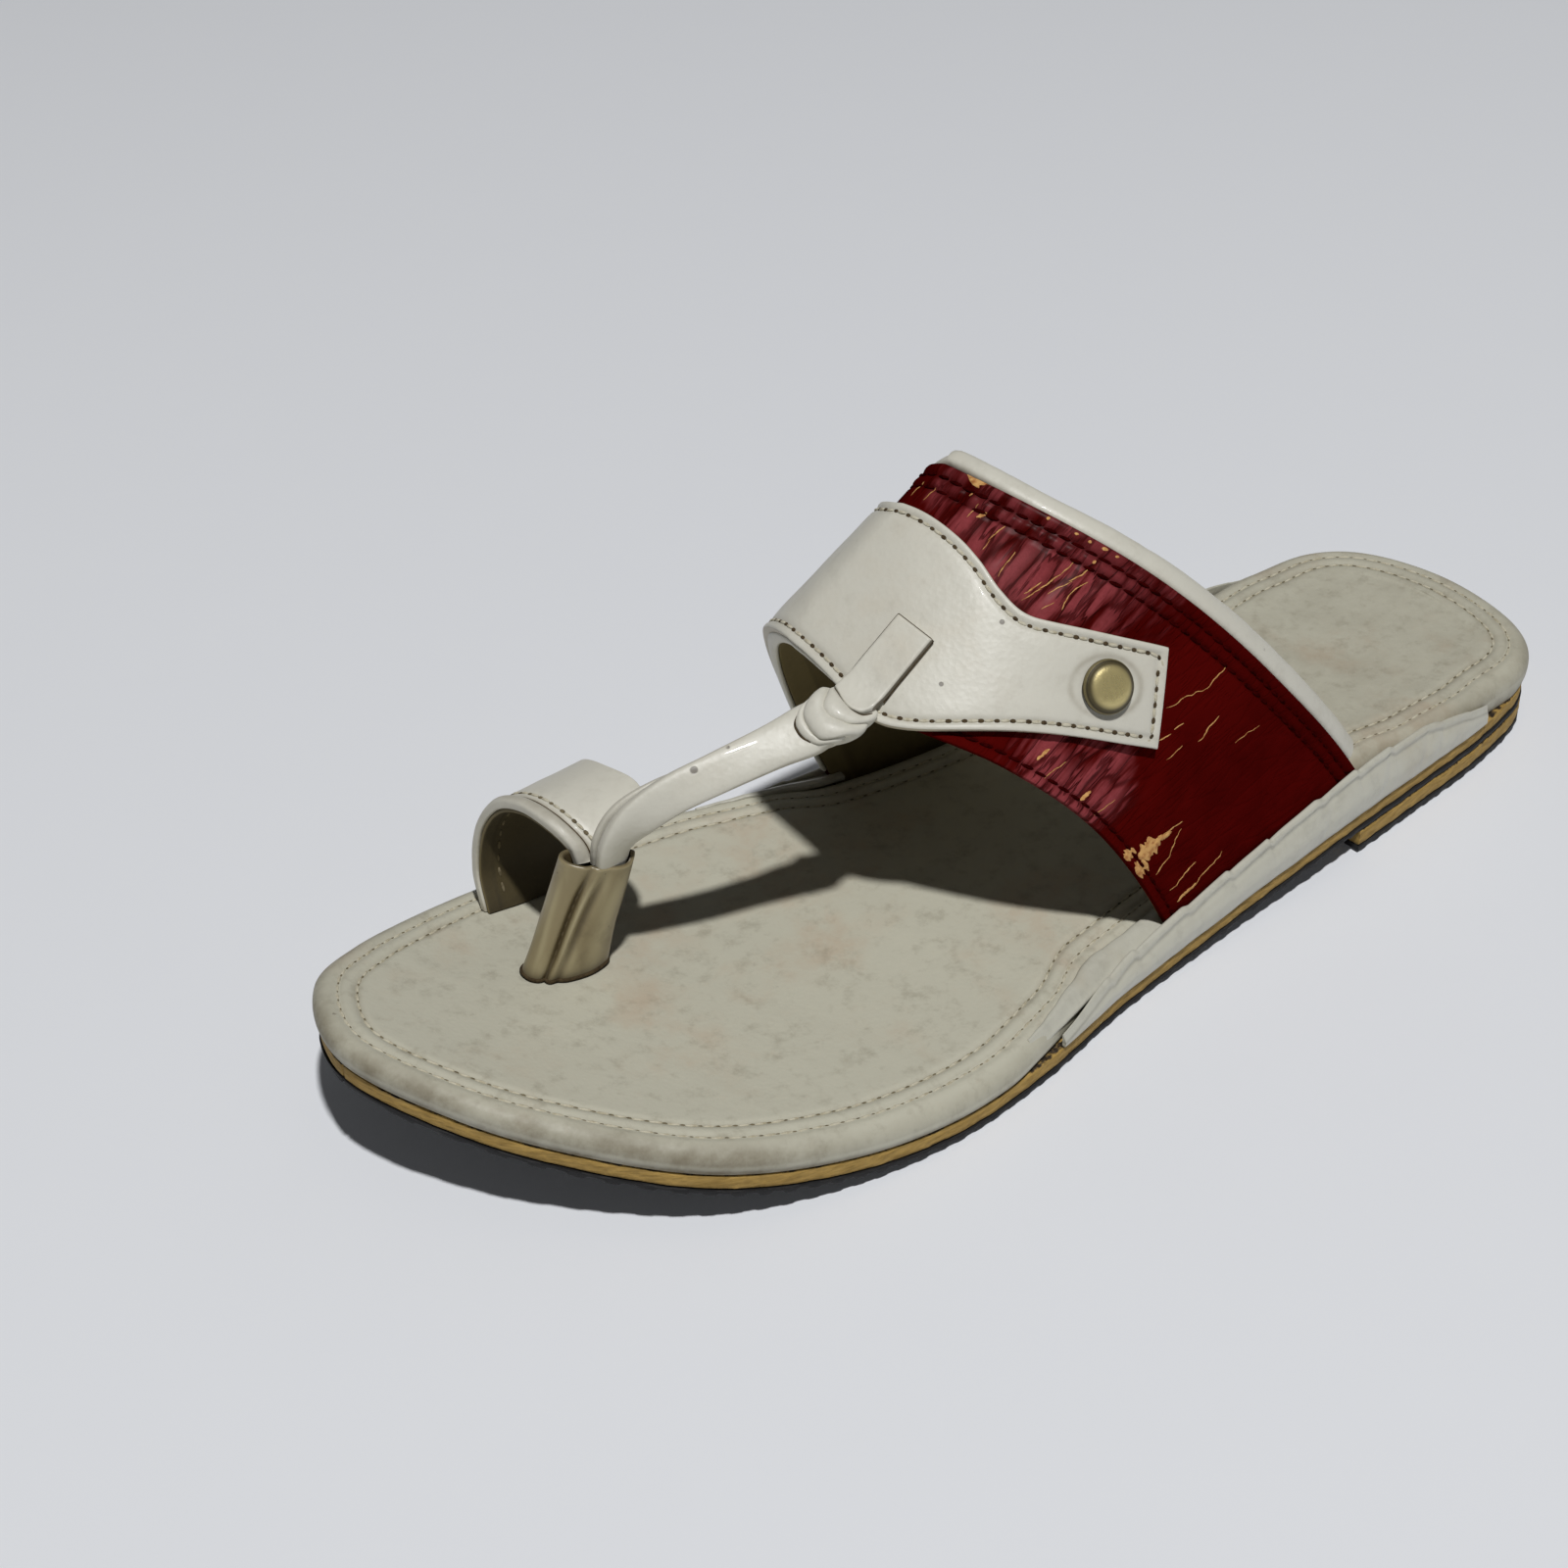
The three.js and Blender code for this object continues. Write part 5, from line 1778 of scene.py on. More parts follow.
    def build(self, leather: Stuff) -> None:
        """Builds and dresses the patches.

        Args:
            leather: Material of the bare leather.
        """
        form = Form()
        for number, flake in enumerate(self.rows):
            self.patch(form, flake, 3 * number + 1)
        form.build("vamp_flakes", leather, "vamp")


@dataclass(frozen=True)
class SideStrips:
    """Folded strips that close the feet of the band over the footbed's edge."""

    thickness: float = 2.2
    end_thickness: float = 0.9
    end_offset: float = 1.3
    end_taper: float = 22.0
    corner: float = 0.4
    bulge: float = 0.5
    steps: int = 330
    height_steps: int = 34
    pleat_pitch: float = 13.0
    scallop: float = 0.9
    lip_bead: float = 0.4
    lip_share: float = 0.36
    lip_groove: Rows = table(RIDGE, (2.0, 0.6, 0.2))
    fold_from: float = -9.0
    fold_to: float = 35.0
    fold_width: float = 5.2
    fold_inset: float = 1.5
    fold_thickness: float = 1.1
    tuck: Rows = table(RIDGE, (0.0, 1.3, 0.3))
    tucks: tuple[float, ...] = (-97.0, -90.0, -84.0, -71.0, -52.0)
    sharp: float = 80.0
    lips: Rows = table(
        "x lip", (-110, 15.4), (-90, 19.9), (-68, 21.4), (-30, 16.6), (-6, 13.2), (10, 11.0), (27, 7.9)
    )
    pleat_shift: float = 3.0
    pleat_wave: float = 37.0
    pleat_step: float = 0.15
    pleat_fall: float = 0.8
    bead_least: float = 0.4
    bead_lean: float = 0.8
    bead_at: float = 0.8
    bead_width: float = 0.6
    uneven: Ripple = Ripple(0.1, 21.0, 8)
    uneven_lean: float = 6.0
    tuck_lean: float = 5.0
    tuck_rise: float = 0.4
    thin_from: float = 0.35
    thin_ramp: float = 0.6
    foot_darkening: Rows = table(RIDGE, (0.0, 0.07, 0.8))
    lip_groove_shade: Rows = table(RIDGE, (1.8, 0.3, 0.4))
    fold_steps: int = 120
    fold_across: int = 14
    fold_least: float = 0.35
    fold_ramp: float = 26.0
    fold_edge: Ripple = Ripple(0.35, 19.0, 14)
    fold_seat: float = 0.12
    fold_sunk: float = 1.9
    fold_sunk_to: float = 0.75
    fold_end: float = 18.0
    fold_end_ramp: float = 17.0
    fold_end_sunk: float = 0.9
    fold_lift: float = 0.25
    fold_uneven: Ripple = Ripple(0.12, 17.0, 18)
    fold_darkening: Rows = table(RIDGE, (1.0, 0.08, 0.5))
    seed: int = 4

    @cached_property
    def lip(self) -> TableCurve:
        """Height of the lip along the foot."""
        return column(self.lips, "lip", "x")

    def pleat(self, x: Array, seed: int) -> Array:
        """Height of the lip's turned edge, from 0 to 1: a quick step up at each fold, then a slow fall.

        Args:
            x: Sections along the foot.
            seed: Seed of the folds.

        Returns:
            The height at each section.
        """
        phase = (x + self.pleat_shift * wobble(x, self.pleat_wave, seed)) / self.pleat_pitch
        part = phase - np.floor(phase)
        return smooth(part / self.pleat_step) * (1.0 - part) ** self.pleat_fall

    def form(self, side: Side) -> Form:
        """Skin of the strip on one side.

        Args:
            side: Side of the foot.

        Returns:
            The form.
        """
        rear, front = self.lips[0].x, self.lips[-1].x
        x = np.linspace(rear, front, self.steps + 1)[:, None]
        full = smooth(np.minimum(front - x, x - rear) / self.end_taper)
        seed = self.seed + side.value
        low = SOLE.footbed_bottom(x)
        tall = self.lip(x) + self.scallop * full * (self.pleat(x, seed) - 0.5) - low
        strip = strip_loops(tall[:, 0], self.end_thickness, self.corner, self.height_steps)
        share = strip.across / tall
        z = low + strip.across
        place = np.broadcast_to(x, z.shape)
        below = tall - strip.across
        pleat = self.pleat(place + self.bead_lean * below, seed)
        bead = self.lip_bead * lerp(self.bead_least, 1.0, pleat)
        swell = self.bulge * np.sin(math.pi * np.clip(share, 0.0, 1.0))
        swell = swell + bead * bell(below - self.bead_at, self.bead_width) - ridges(self.lip_groove, below)
        for tuck in self.tucks:
            tucked = ridges(self.tuck, place - tuck + self.tuck_lean * share)
            swell = swell - tucked * smooth(share / self.tuck_rise)
        swell = swell + self.uneven.at(place + self.uneven_lean * share)
        thickness = lerp(self.end_thickness, self.thickness, full)
        thinned = smooth((share - self.thin_from) / self.thin_ramp)
        half = thickness / 2.0 * lerp(1.0, self.lip_share, thinned)
        offset = GAP + self.end_offset * (1.0 - full) + half + strip.lift * half + swell * strip.face * full
        points = LAST.off(place, LAST.around_at_height(side, place, z), offset)
        # Darker along the strip's foot, and painted shade in the groove below the lip.
        dirt = ridges(self.foot_darkening, share) + ridges(self.lip_groove_shade, below)
        return Form().sweep(points, dirt=np.minimum(1.0, dirt))

    def fold(self, side: Side) -> Form:
        """Skin of the flat fold that runs out over the footbed's rim in front of the band.

        Args:
            side: Side of the foot.

        Returns:
            The form.
        """
        start = self.fold_from if side is Side.LATERAL else BAND.edges[0].front
        x = np.linspace(start, self.fold_to, self.fold_steps)[:, None]
        width = self.fold_width * lerp(self.fold_least, 1.0, smooth((self.fold_to - x) / self.fold_ramp))
        width = width + self.fold_edge.at(x)
        strip = strip_loops(width[:, 0], self.fold_thickness, self.corner, self.fold_across)
        share = strip.across / width
        inset = self.fold_inset + SOLE.seat(x) * self.fold_seat + strip.across
        rim_x, rim_y = SOLE.rim(side, x + 0.0 * inset, inset)
        sunk = lerp(self.fold_sunk, 0.0, smooth(share / self.fold_sunk_to))
        sunk = sunk + self.fold_end_sunk * smooth((x - self.fold_end) / self.fold_end_ramp)
        lift = self.fold_lift + strip.lift * self.fold_thickness / 2.0 + self.fold_uneven.at(x + strip.across)
        points = xyz(rim_x, rim_y, SOLE.footbed_top(rim_x) - sunk + lift)
        return Form().sweep(points, dirt=ridges(self.fold_darkening, share))

    def build(self, leather: Stuff) -> None:
        """Builds and dresses both strips.

        Args:
            leather: Material of the leather.
        """
        for side in Side:
            name = f"rand_{side.name.lower()}"
            self.form(side).build(f"{name}_leather", leather, name, self.sharp)
            self.fold(side).build(f"{name}_fold", leather, name, self.sharp)


@dataclass(frozen=True)
class Collar:
    """Padded roll along the rear edge of the band, curled inwards and slimmer over the crest."""

    lip: TableCurve
    half_width: float = 3.0
    half_height: float = 2.1
    roundness: float = 0.85
    curl: float = 32.0
    crest_share: float = 0.75
    crest_reach: float = 0.75
    lip_clearance: float = 2.8
    tuck: float = 1.0
    tuck_reach: float = 0.3
    dent_pitch: float = 31.0
    dent: Rows = table(RIDGE, (13.0, 1.1, 0.05))
    seam: Rows = table(RIDGE, (-1.0, 0.2, 0.6))
    steps: int = 260
    sides: int = 28
    reach_steps: int = 501
    uneven: Ripple = Ripple(0.02, 19.0, 6)

    def reach(self, side: Side) -> float:
        """How far round the last the roll goes before it meets the side strip.

        Args:
            side: Side of the foot.

        Returns:
            The place around the last.
        """
        around = side.value * np.linspace(1.0, 0.5, self.reach_steps)
        x = BAND.rear(around)
        clear = LAST.point(x, around)[:, 2] >= self.lip(x) + self.lip_clearance
        return float(around[np.argmax(clear)])

    def build(self, leather: Stuff) -> None:
        """Builds and dresses the roll.

        Args:
            leather: Material of the leather.
        """
        around = np.linspace(self.reach(Side.MEDIAL), self.reach(Side.LATERAL), self.steps + 1)
        seat = BAND.point(around, 1.0, -BAND.wall / 2.0)
        normal = BAND.normal(around, 1.0)
        back = unit(np.cross(normal, unit(np.gradient(seat, axis=0))))
        back = np.where(back[:, :1] > 0, -back, back)
        share = lerp(self.crest_share, 1.0, smooth(np.abs(around) / self.crest_reach))[:, None]
        cos, sin = math.cos(math.radians(self.curl)), math.sin(math.radians(self.curl))
        clear = math.hypot(self.half_width * cos, self.half_height * sin)
        tuck = self.tuck * smooth(np.abs(around) / self.tuck_reach)[:, None]
        centre = seat + back * (clear * share - tuck) - normal * (self.half_width * sin * share)
        length = run_length(seat)[:, None]
        angle = circle(self.sides)
        wide = self.half_width * signed_power(np.cos(angle), self.roundness)
        high = self.half_height * signed_power(np.sin(angle), self.roundness)
        soft = 1.0 + self.uneven.at(length + 2.0 * np.cos(angle))
        dents = ridges(self.dent, np.mod(length, self.dent_pitch))
        soft = soft - dents * np.maximum(0.0, np.sin(angle))
        along = (back * cos - normal * sin)[:, None, :] * wide[None, :, None]
        across = (normal * cos + back * sin)[:, None, :] * high[None, :, None]
        points = centre[:, None, :] + (along + across) * (share * soft)[..., None]
        # Painted shade along the side of the roll that meets the band.
        form = Form().sweep(points, dirt=ridges(self.seam, np.cos(angle)))
        piece = form.build("collar_roll_leather", leather, "collar_roll")


@dataclass(frozen=True)
class Saddle:
    """Beige strap over the band, with its sewn edges and the snap tab."""

    thickness: float = 1.9
    corner: float = 0.4
    length_steps: int = 360
    across_steps: int = 68
    sewn_inset: float = 1.9
    sewn_from: float = 0.35
    run_steps: int = 300
    end_steps: int = 40
    rim: Rows = table(RIDGE, (1.9, 0.7, -0.34), (0.9, 0.6, 0.12))
    fold_to: float = 0.3
    fold_reach: float = 0.55
    fold_over: float = 0.2
    snap_around: float = 0.535
    snap_across: float = 0.495
    snap_dent: Rows = table(RIDGE, (0.0, 8.0, 0.25))
    snap_contact_shade: Rows = table(RIDGE, (5.7, 0.5, 0.5))
    edges: Rows = table(
        "front_around front rear_around rear",
        (-0.915, 0.0, -0.915, 0.6), (-0.8, 0.0, -0.81, 0.61), (-0.6, 0.0, -0.62, 0.65),
        (-0.4, 0.0, -0.43, 0.71), (-0.2, 0.0, -0.25, 0.74), (-0.02, 0.0, -0.06, 0.745),
        (0.1, -0.005, 0.06, 0.765), (0.18, -0.025, 0.15, 0.748), (0.25, -0.045, 0.22, 0.705),
        (0.31, -0.015, 0.285, 0.64), (0.385, 0.06, 0.345, 0.6), (0.475, 0.16, 0.4, 0.622),
        (0.605, 0.315, 0.49, 0.695), (0.675, 0.415, 0.572, 0.782),
    )
    arc_steps: int = 400
    width_steps: tuple[int, int] = (120, 9)
    swell: float = 0.14
    inner_ramp: float = 4.0
    uneven: Ripple = Ripple(0.1, 26.0, 12)
    uneven_row: float = 6.0
    uneven_skew: float = 0.5
    uneven_from: float = 3.0
    row_dirt: Rows = table(RIDGE, (0.0, 0.8, 0.25))
    snap_scale: tuple[float, float] = (100.0, 42.0)
    fold_steps: int = 200
    fold_sides: int = 14

    @cached_property
    def columns(self) -> dict[str, TableCurve]:
        """Each column of the edges over the row number."""
        return columns(self.edges)

    def place(self, row: Array, share: Array) -> tuple[Array, Array]:
        """Place around the last and across the band, from the front (0) to the rear edge (1).

        Args:
            row: Row numbers of the edges.
            share: Shares of the way to the rear edge.

        Returns:
            The two places.
        """
        at = self.columns
        around = lerp(at["front_around"](row), at["rear_around"](row), share)
        return around, lerp(at["front"](row), at["rear"](row), share)

    @cached_property
    def lengths(self) -> tuple[Array, Array]:
        """Row numbers and the length along the strap's middle at each."""
        row = np.linspace(0.0, len(self.edges) - 1.0, self.arc_steps)
        return row, run_length(BAND.point(*self.place(row, 0.5), 0.0))

    @cached_property
    def width(self) -> TableCurve:
        """Width of the strap over the row number."""
        row = np.linspace(0.0, len(self.edges) - 1.0, self.width_steps[0])
        share = np.linspace(0.0, 1.0, self.width_steps[1])[:, None]
        return TableCurve(row, run_length(BAND.point(*self.place(row[None, :], share), 0.0))[-1])

    def relief(self, row: Array, across: Array, to_end: Array) -> Array:
        """Height of the sewn edge and soft waves of the strap's face.

        Args:
            row: Row number along the strap.
            across: Millimetres from the front edge.
            to_end: Millimetres to the end of the tab.

        Returns:
            The height above its plain face.
        """
        rim = np.minimum(np.minimum(across, self.width(row) - across), to_end)
        height = ridges(self.rim, rim) + self.swell * smooth((rim - self.sewn_inset) / self.inner_ramp)
        uneven = self.uneven.at(self.uneven_row * row + self.uneven_skew * across)
        return height + uneven * smooth((rim - self.uneven_from) / self.inner_ramp)

    def build(self, leather: Stuff) -> None:
        """Builds and dresses the strap, its far end cut square with worn corners.

        Args:
            leather: Material of the leather.
        """
        rows, lengths = self.lengths
        inset, rise = cut_edge(self.thickness, self.corner)
        body = np.linspace(0.0, lengths[-1] - inset[-1], self.length_steps + 1)[:-1]
        along = np.concatenate([body, lengths[-1] - inset[::-1]])[:, None]
        pinch = np.concatenate([np.ones(len(body)), rise[::-1]])[:, None]
        row = np.interp(along, lengths, rows)
        width = self.width(row)
        strip = strip_loops(width[:, 0], self.thickness, self.corner, self.across_steps)
        around, across = self.place(row, strip.across / width)
        long, wide = self.snap_scale
        from_snap = np.hypot((around - self.snap_around) * long, (across - self.snap_across) * wide)
        relief = self.relief(row, strip.across, lengths[-1] - along) - ridges(self.snap_dent, from_snap)
        lift = strip.lift * pinch
        offset = GAP + self.thickness / 2.0 + lift * self.thickness / 2.0 + relief * np.maximum(0.0, lift)
        edge = np.maximum(strip.edge, 1.0 - pinch)
        from_row = np.minimum(strip.across, width - strip.across) - self.sewn_inset
        dirt = ridges(self.row_dirt, from_row)
        # Painted shade in a thin ring round the snap cap's rim.
        dirt = dirt + ridges(self.snap_contact_shade, from_snap)
        form = Form().sweep(BAND.point(around, across, offset), dirt=dirt, edge=edge)
        form.build("saddle_strap_leather", leather, "saddle_strap")
        self.fold().build("saddle_strap_fold", leather, "saddle_strap")

    def fold(self) -> Form:
        """Skin of the saddle's front edge, turned in over the band's front edge.

        Returns:
            The form.
        """
        around = np.linspace(self.edges[0].front_around, self.fold_to, self.fold_steps)
        normal = BAND.normal(around, 0.0)
        over = GAP + self.fold_over
        points = BAND.point(around, 0.0, (over - BAND.wall) / 2.0)
        ahead = unit(np.cross(np.gradient(points, axis=0), normal))
        ahead = np.where(ahead[:, :1] < 0, -ahead, ahead)
        angle = circle(self.fold_sides)[:, None]
        loops = points[:, None, :] + (over + BAND.wall) / 2.0 * np.sin(angle) * normal[:, None, :]
        return Form().sweep(loops + self.fold_reach * np.cos(angle) * ahead[:, None, :])

    def paths(self) -> list[Path]:
        """Path of the sewn row: along the rear edge, round the tab's end and back along the front.

        Returns:
            The one path.
        """
        rows, lengths = self.lengths
        last = float(np.interp(lengths[-1] - self.sewn_inset, lengths, rows))
        run = np.linspace(self.sewn_from, last, self.run_steps)
        row = np.concatenate([run, np.full(self.end_steps, last), run[::-1]])
        width = self.width(row)
        rear = width[: self.run_steps] - self.sewn_inset
        end = np.linspace(rear[-1], self.sewn_inset, self.end_steps + 2)[1:-1]
        across = np.concatenate([rear, end, np.full(self.run_steps, self.sewn_inset)])
        place, share = self.place(row, across / width)
        relief = self.relief(row, across, lengths[-1] - np.interp(row, rows, lengths))
        return [Path(BAND.point(place, share, GAP + self.thickness + relief), BAND.normal(place, share))]


class StrapFrame(NamedTuple):
    """Points, side and face directions of the strap at row numbers."""

    centre: Array
    side: Array
    face: Array


@dataclass(frozen=True)
class ToeStrap:
    """Strap from the saddle to the toe post: a tongue, binding turns and a strip of two layers."""

    saddle_thickness: float = 1.9
    step: float = 0.01
    tongue_end: float = 1.5
    tongue_round: float = 8.0
    tongue_lift: float = 1.0
    tongue_dome: float = 0.45
    tongue_corner: float = 0.5
    turn_row: float = 2.0
    turn_pitch: float = 4.0
    shoulder: float = 2.0
    turn_tuck: float = 0.5
    turn_height: float = 1.7
    turn_roundness: float = 0.85
    thinnest_turn: float = 0.35
    crevice_rises: tuple[float, ...] = (0.45, 0.3, 0.05)
    widest_crevice: float = 0.4
    flare: float = 1.4
    flare_row: float = 4.0
    flare_reach: float = 0.6
    line: float = 0.17
    crevice: float = 0.2
    core_row: float = 1.75
    core_power: float = 2.6
    strip_power: float = 3.2
    under_power: float = 4.0
    under_first: float = 3.0
    under_drop: float = 2.2
    under_end_drop: float = 2.3
    under_bow: float = 1.4
    under_thick: float = 1.6
    under_narrower: float = 1.2
    steps_per_row: int = 18
    sides: int = 44
    sharp: float = 50.0
    tongue_edge: TableCurve = TableCurve(
        (0.0, 0.18, 0.48, 0.75, 0.91, 1.0), (-0.5, 0.45, 1.5, 1.0, -0.4, -2.0)
    )
    turn_edge: TableCurve = TableCurve(
        (0.0, 0.1, 0.25, 0.5, 0.75, 0.9, 1.0), (0.5, 2.7, 4.5, 5.1, 4.3, 3.0, 0.4)
    )
    tab: Rows = table(
        "around across width thick",
        (0.208, 0.345, 8.2, 2.2), (0.206, 0.14, 8.4, 2.2), (0.204, -0.05, 8.6, 2.2),
    )
    free: Rows = table(
        "x y z lean_degrees width thick",
        (43.6, 3.8, 63.6, 24, 8.6, 3.4), (46.8, 1.9, 61.5, 30, 8.6, 3.4), (54.5, -1.0, 59.1, 38, 8.3, 3.2),
        (63.5, -4.1, 56.6, 46, 7.8, 3.0), (72.4, -7.8, 53.3, 57, 7.6, 3.0), (78.9, -10.8, 48.7, 70, 7.8, 3.0),
        (81.4, -12.5, 44.3, 80, 7.4, 2.8), (81.9, -13.9, 38.6, 88, 6.8, 2.4),
    )
    length_steps: int = 1200
    core_steps: int = 40
    under_steps: int = 130
    tongue_across: int = 24
    turn_sides: tuple[int, int] = (108, 36)
    underside_shade: float = 0.4
    side_dirt: float = 0.3
    side_from: float = 0.9
    side_ramp: float = 0.1
    top_row: float = 0.15
    tongue_steps: tuple[int, int] = (20, 110)
    end_stretch: float = 1.5
    end_least: float = 0.1
    lift_row: float = 1.1
    edge_to: float = 0.75
    line_row: float = 1.5
    line_steps: int = 70
    line_low: float = 0.35
    line_high: float = 0.5
    crevice_from: float = 0.04
    crevice_steps: int = 60
    turn_fullness: float = 0.8
    turn_sunk: float = -0.35
    bead_roundness: float = 0.9
    turn_shade_to: float = 0.35
    turn_shade_ramp: float = 0.45
    strip_start: float = 1.0
    core_over: float = 0.1
    core_narrower: float = 1.0
    core_thinner: float = 0.6

    @cached_property
    def knots(self) -> tuple[Array, Array]:
        """Points and face normals of the strap's rows."""
        points, normals = [], []
        for row in self.tab:
            offset = self.saddle_thickness + 2.0 * GAP + row.thick / 2.0
            points.append(BAND.point(row.around, row.across, offset))
            normals.append(BAND.normal(row.around, row.across))
        for row in self.free:
            lean = math.radians(row.lean_degrees)
            points.append(np.array([row.x, row.y, row.z]))
            normals.append(np.array([0.0, math.sin(lean), math.cos(lean)]))
        return np.array(points), np.array(normals)

    @cached_property
    def last(self) -> float:
        """Number of the last row."""
        return len(self.tab) + len(self.free) - 1.0

    @cached_property
    def lengths(self) -> tuple[Array, Array]:
        """Row numbers, and millimetres along the strap from where its turns begin."""
        row = np.linspace(0.0, self.last, self.length_steps)
        length = run_length(self.frame(row).centre)
        return row, length - np.interp(self.turn_row, row, length)

    def row_at(self, along: Array) -> Array:
        """Row numbers at millimetres along the strap from where its turns begin."""
        row, length = self.lengths
        return np.interp(along, length, row)

    def frame(self, row: Array) -> StrapFrame:
        """Centre line and directions of the strap at row numbers.

        Args:
            row: Row numbers.

        Returns:
            The frame.
        """
        points, normals = self.knots
        flat = np.ravel(row)
        after = open_spline(points, np.minimum(self.last, flat + self.step))
        tangent = unit(after - open_spline(points, np.maximum(0.0, flat - self.step)))
        face = open_spline(normals, flat)
        face = unit(face - tangent * np.sum(face * tangent, axis=-1, keepdims=True))
        parts = (open_spline(points, flat), np.cross(face, tangent), face)
        return StrapFrame(*(part.reshape(*np.shape(row), 3) for part in parts))

    def sizes(self, row: Array) -> tuple[Array, Array]:
        """Width and thickness of the strap at row numbers."""
        rows = [*self.tab, *self.free]
        return column(rows, "width")(row), column(rows, "thick")(row)

    def strip(self, form: Form, row: Array, width: Array, thick: Any, power: float, drop: Any = 0.0) -> None:
        """Adds one strip of the strap.

        Args:
            form: Form that takes the strip.
            row: Row numbers along the strap.
            width: Its width at each row.
            thick: Its thickness, one for all rows or one a row.
            power: Squareness of its section.
            drop: How far it lies below the strap's middle.
        """
        at = self.frame(row)
        angle = circle(self.sides) + math.pi / self.sides
        wide, high = (signed_power(part, 2.0 / power) for part in (np.cos(angle), np.sin(angle)))
        width, thick, drop = (np.broadcast_to(size, row.shape)[:, None] for size in (width, thick, drop))
        points = (at.centre - at.face * drop)[:, None, :]
        points = points + at.side[:, None, :] * (wide * width / 2.0)[..., None]
        points = points + at.face[:, None, :] * (high * thick / 2.0)[..., None]
        sides = smooth((np.abs(wide) - self.side_from) / self.side_ramp)
        # Painted shade on the strip's underside, and a darker tone on its sides.
        form.sweep(points, dirt=self.underside_shade * smooth(-high) + self.side_dirt * sides)

    def tongue(self, form: Form) -> None:
        """Adds the tongue sewn on the saddle, square at its top and round at its lower end.

        Args:
            form: Form that takes it.
        """
        end = float(self.row_at(self.tongue_end))
        top = np.linspace(0.0, self.top_row, self.tongue_steps[0])
        row = np.concatenate([top[:-1], np.linspace(self.top_row, end, self.tongue_steps[1])])
        width, thick = (size[:, None] for size in self.sizes(row))
        length = run_length(self.frame(row).centre)[:, None]
        to_end = length[-1] - length
        inset, rise = cut_edge(float(thick[0, 0]), self.tongue_corner)
        lower_rise = np.maximum(self.end_least, rise)
        full = np.interp(length, inset, rise) * np.interp(to_end, inset * self.end_stretch, lower_rise)
        strip = strip_loops(width[:, 0], float(thick[0, 0]), self.tongue_corner, self.tongue_across)
        share = strip.across / width
        shift = (self.tongue_edge(share) - self.tongue_end) * smooth(1.0 - to_end / self.tongue_round)
        at = self.frame(self.row_at(self.tongue_end - to_end + shift))
        across = strip.across - width / 2.0
        lower = smooth(row - self.lift_row)[:, None]
        dome = self.tongue_dome * (1.0 - (2.0 * share - 1.0) ** 2) * lower
        high = strip.lift * full * (thick / 2.0) + dome * strip.face + self.tongue_lift * lower
        points = at.centre + at.side * across[..., None] + at.face * high[..., None]
        # The lower side walls take the darkening and the dark cut colour: partly a dark cut edge, partly
        # painted shade where the tongue lies on the saddle.
        edge = np.maximum(strip.edge, 1.0 - full) * smooth((self.edge_to - strip.lift) / EDGE_FADE)
        form.sweep(points, dirt=edge, edge=edge)

    def wrapped(self, along: Array, angle: Array, out: Any, over: Any) -> StrapFrame:
        """Points wrapped round the strap.

        Args:
            along: Millimetres along the strap from where its turns begin.
            angle: Angles round the strap, from its outer edge over its face.
            out: Millimetres beside its edges.
            over: Millimetres above its face.

        Returns:
            The points, with the strap's directions there.
        """
        row = self.row_at(along)
        at = self.frame(row)
        width, thick = self.sizes(row)
        wide, high = (signed_power(part, self.turn_roundness) for part in (np.cos(angle), np.sin(angle)))
        points = at.centre + at.side * (wide * (width / 2.0 + out))[..., None]
        return at._replace(centre=points + at.face * (high * (thick / 2.0 + over))[..., None])

    def across_at(self, angle: Array) -> Array:
        """Share of the way across the strap at angles round it."""
        return (1.0 + signed_power(np.cos(angle), self.turn_roundness)) / 2.0

    def outline(self, form: Form) -> None:
        """Adds dark cords of painted shade round the tongue, where it meets the saddle, and in the crevices
        beside the turns.

        Args:
            form: Form that takes them.
        """
        row = np.linspace(self.line_row, 0.0, self.line_steps)
        at = self.frame(row)
        width, thick = self.sizes(row)
        low = at.centre - at.face * (thick / 2.0 - self.line_low)[:, None]
        high = at.centre + at.face * self.line_high
        out = at.side * (width / 2.0)[:, None]
        across = np.linspace(-1.0, 1.0, self.tongue_across)[1:-1, None]
        points = np.vstack([high - out, high[-1] + across * out[-1], (low + out)[::-1]])
        up = np.vstack([at.face, np.tile(at.face[-1], (len(across), 1)), at.face[::-1]])
        form.cord(points, up, self.line)
        angle = np.linspace(self.crevice_from, 1.0 - self.crevice_from, self.crevice_steps) * math.pi
        share = self.across_at(angle)
        turns = np.cumsum([0.0, self.turn_pitch, self.shoulder])
        edges = [self.tongue_edge(share), *(self.turn_edge(share) + turn for turn in turns)]
        for edge, rise in zip(edges, (self.tongue_lift, *self.crevice_rises)):
            line = self.wrapped(edge + self.crevice, angle, min(rise, self.widest_crevice), rise)
            form.cord(line.centre, line.face, self.crevice)

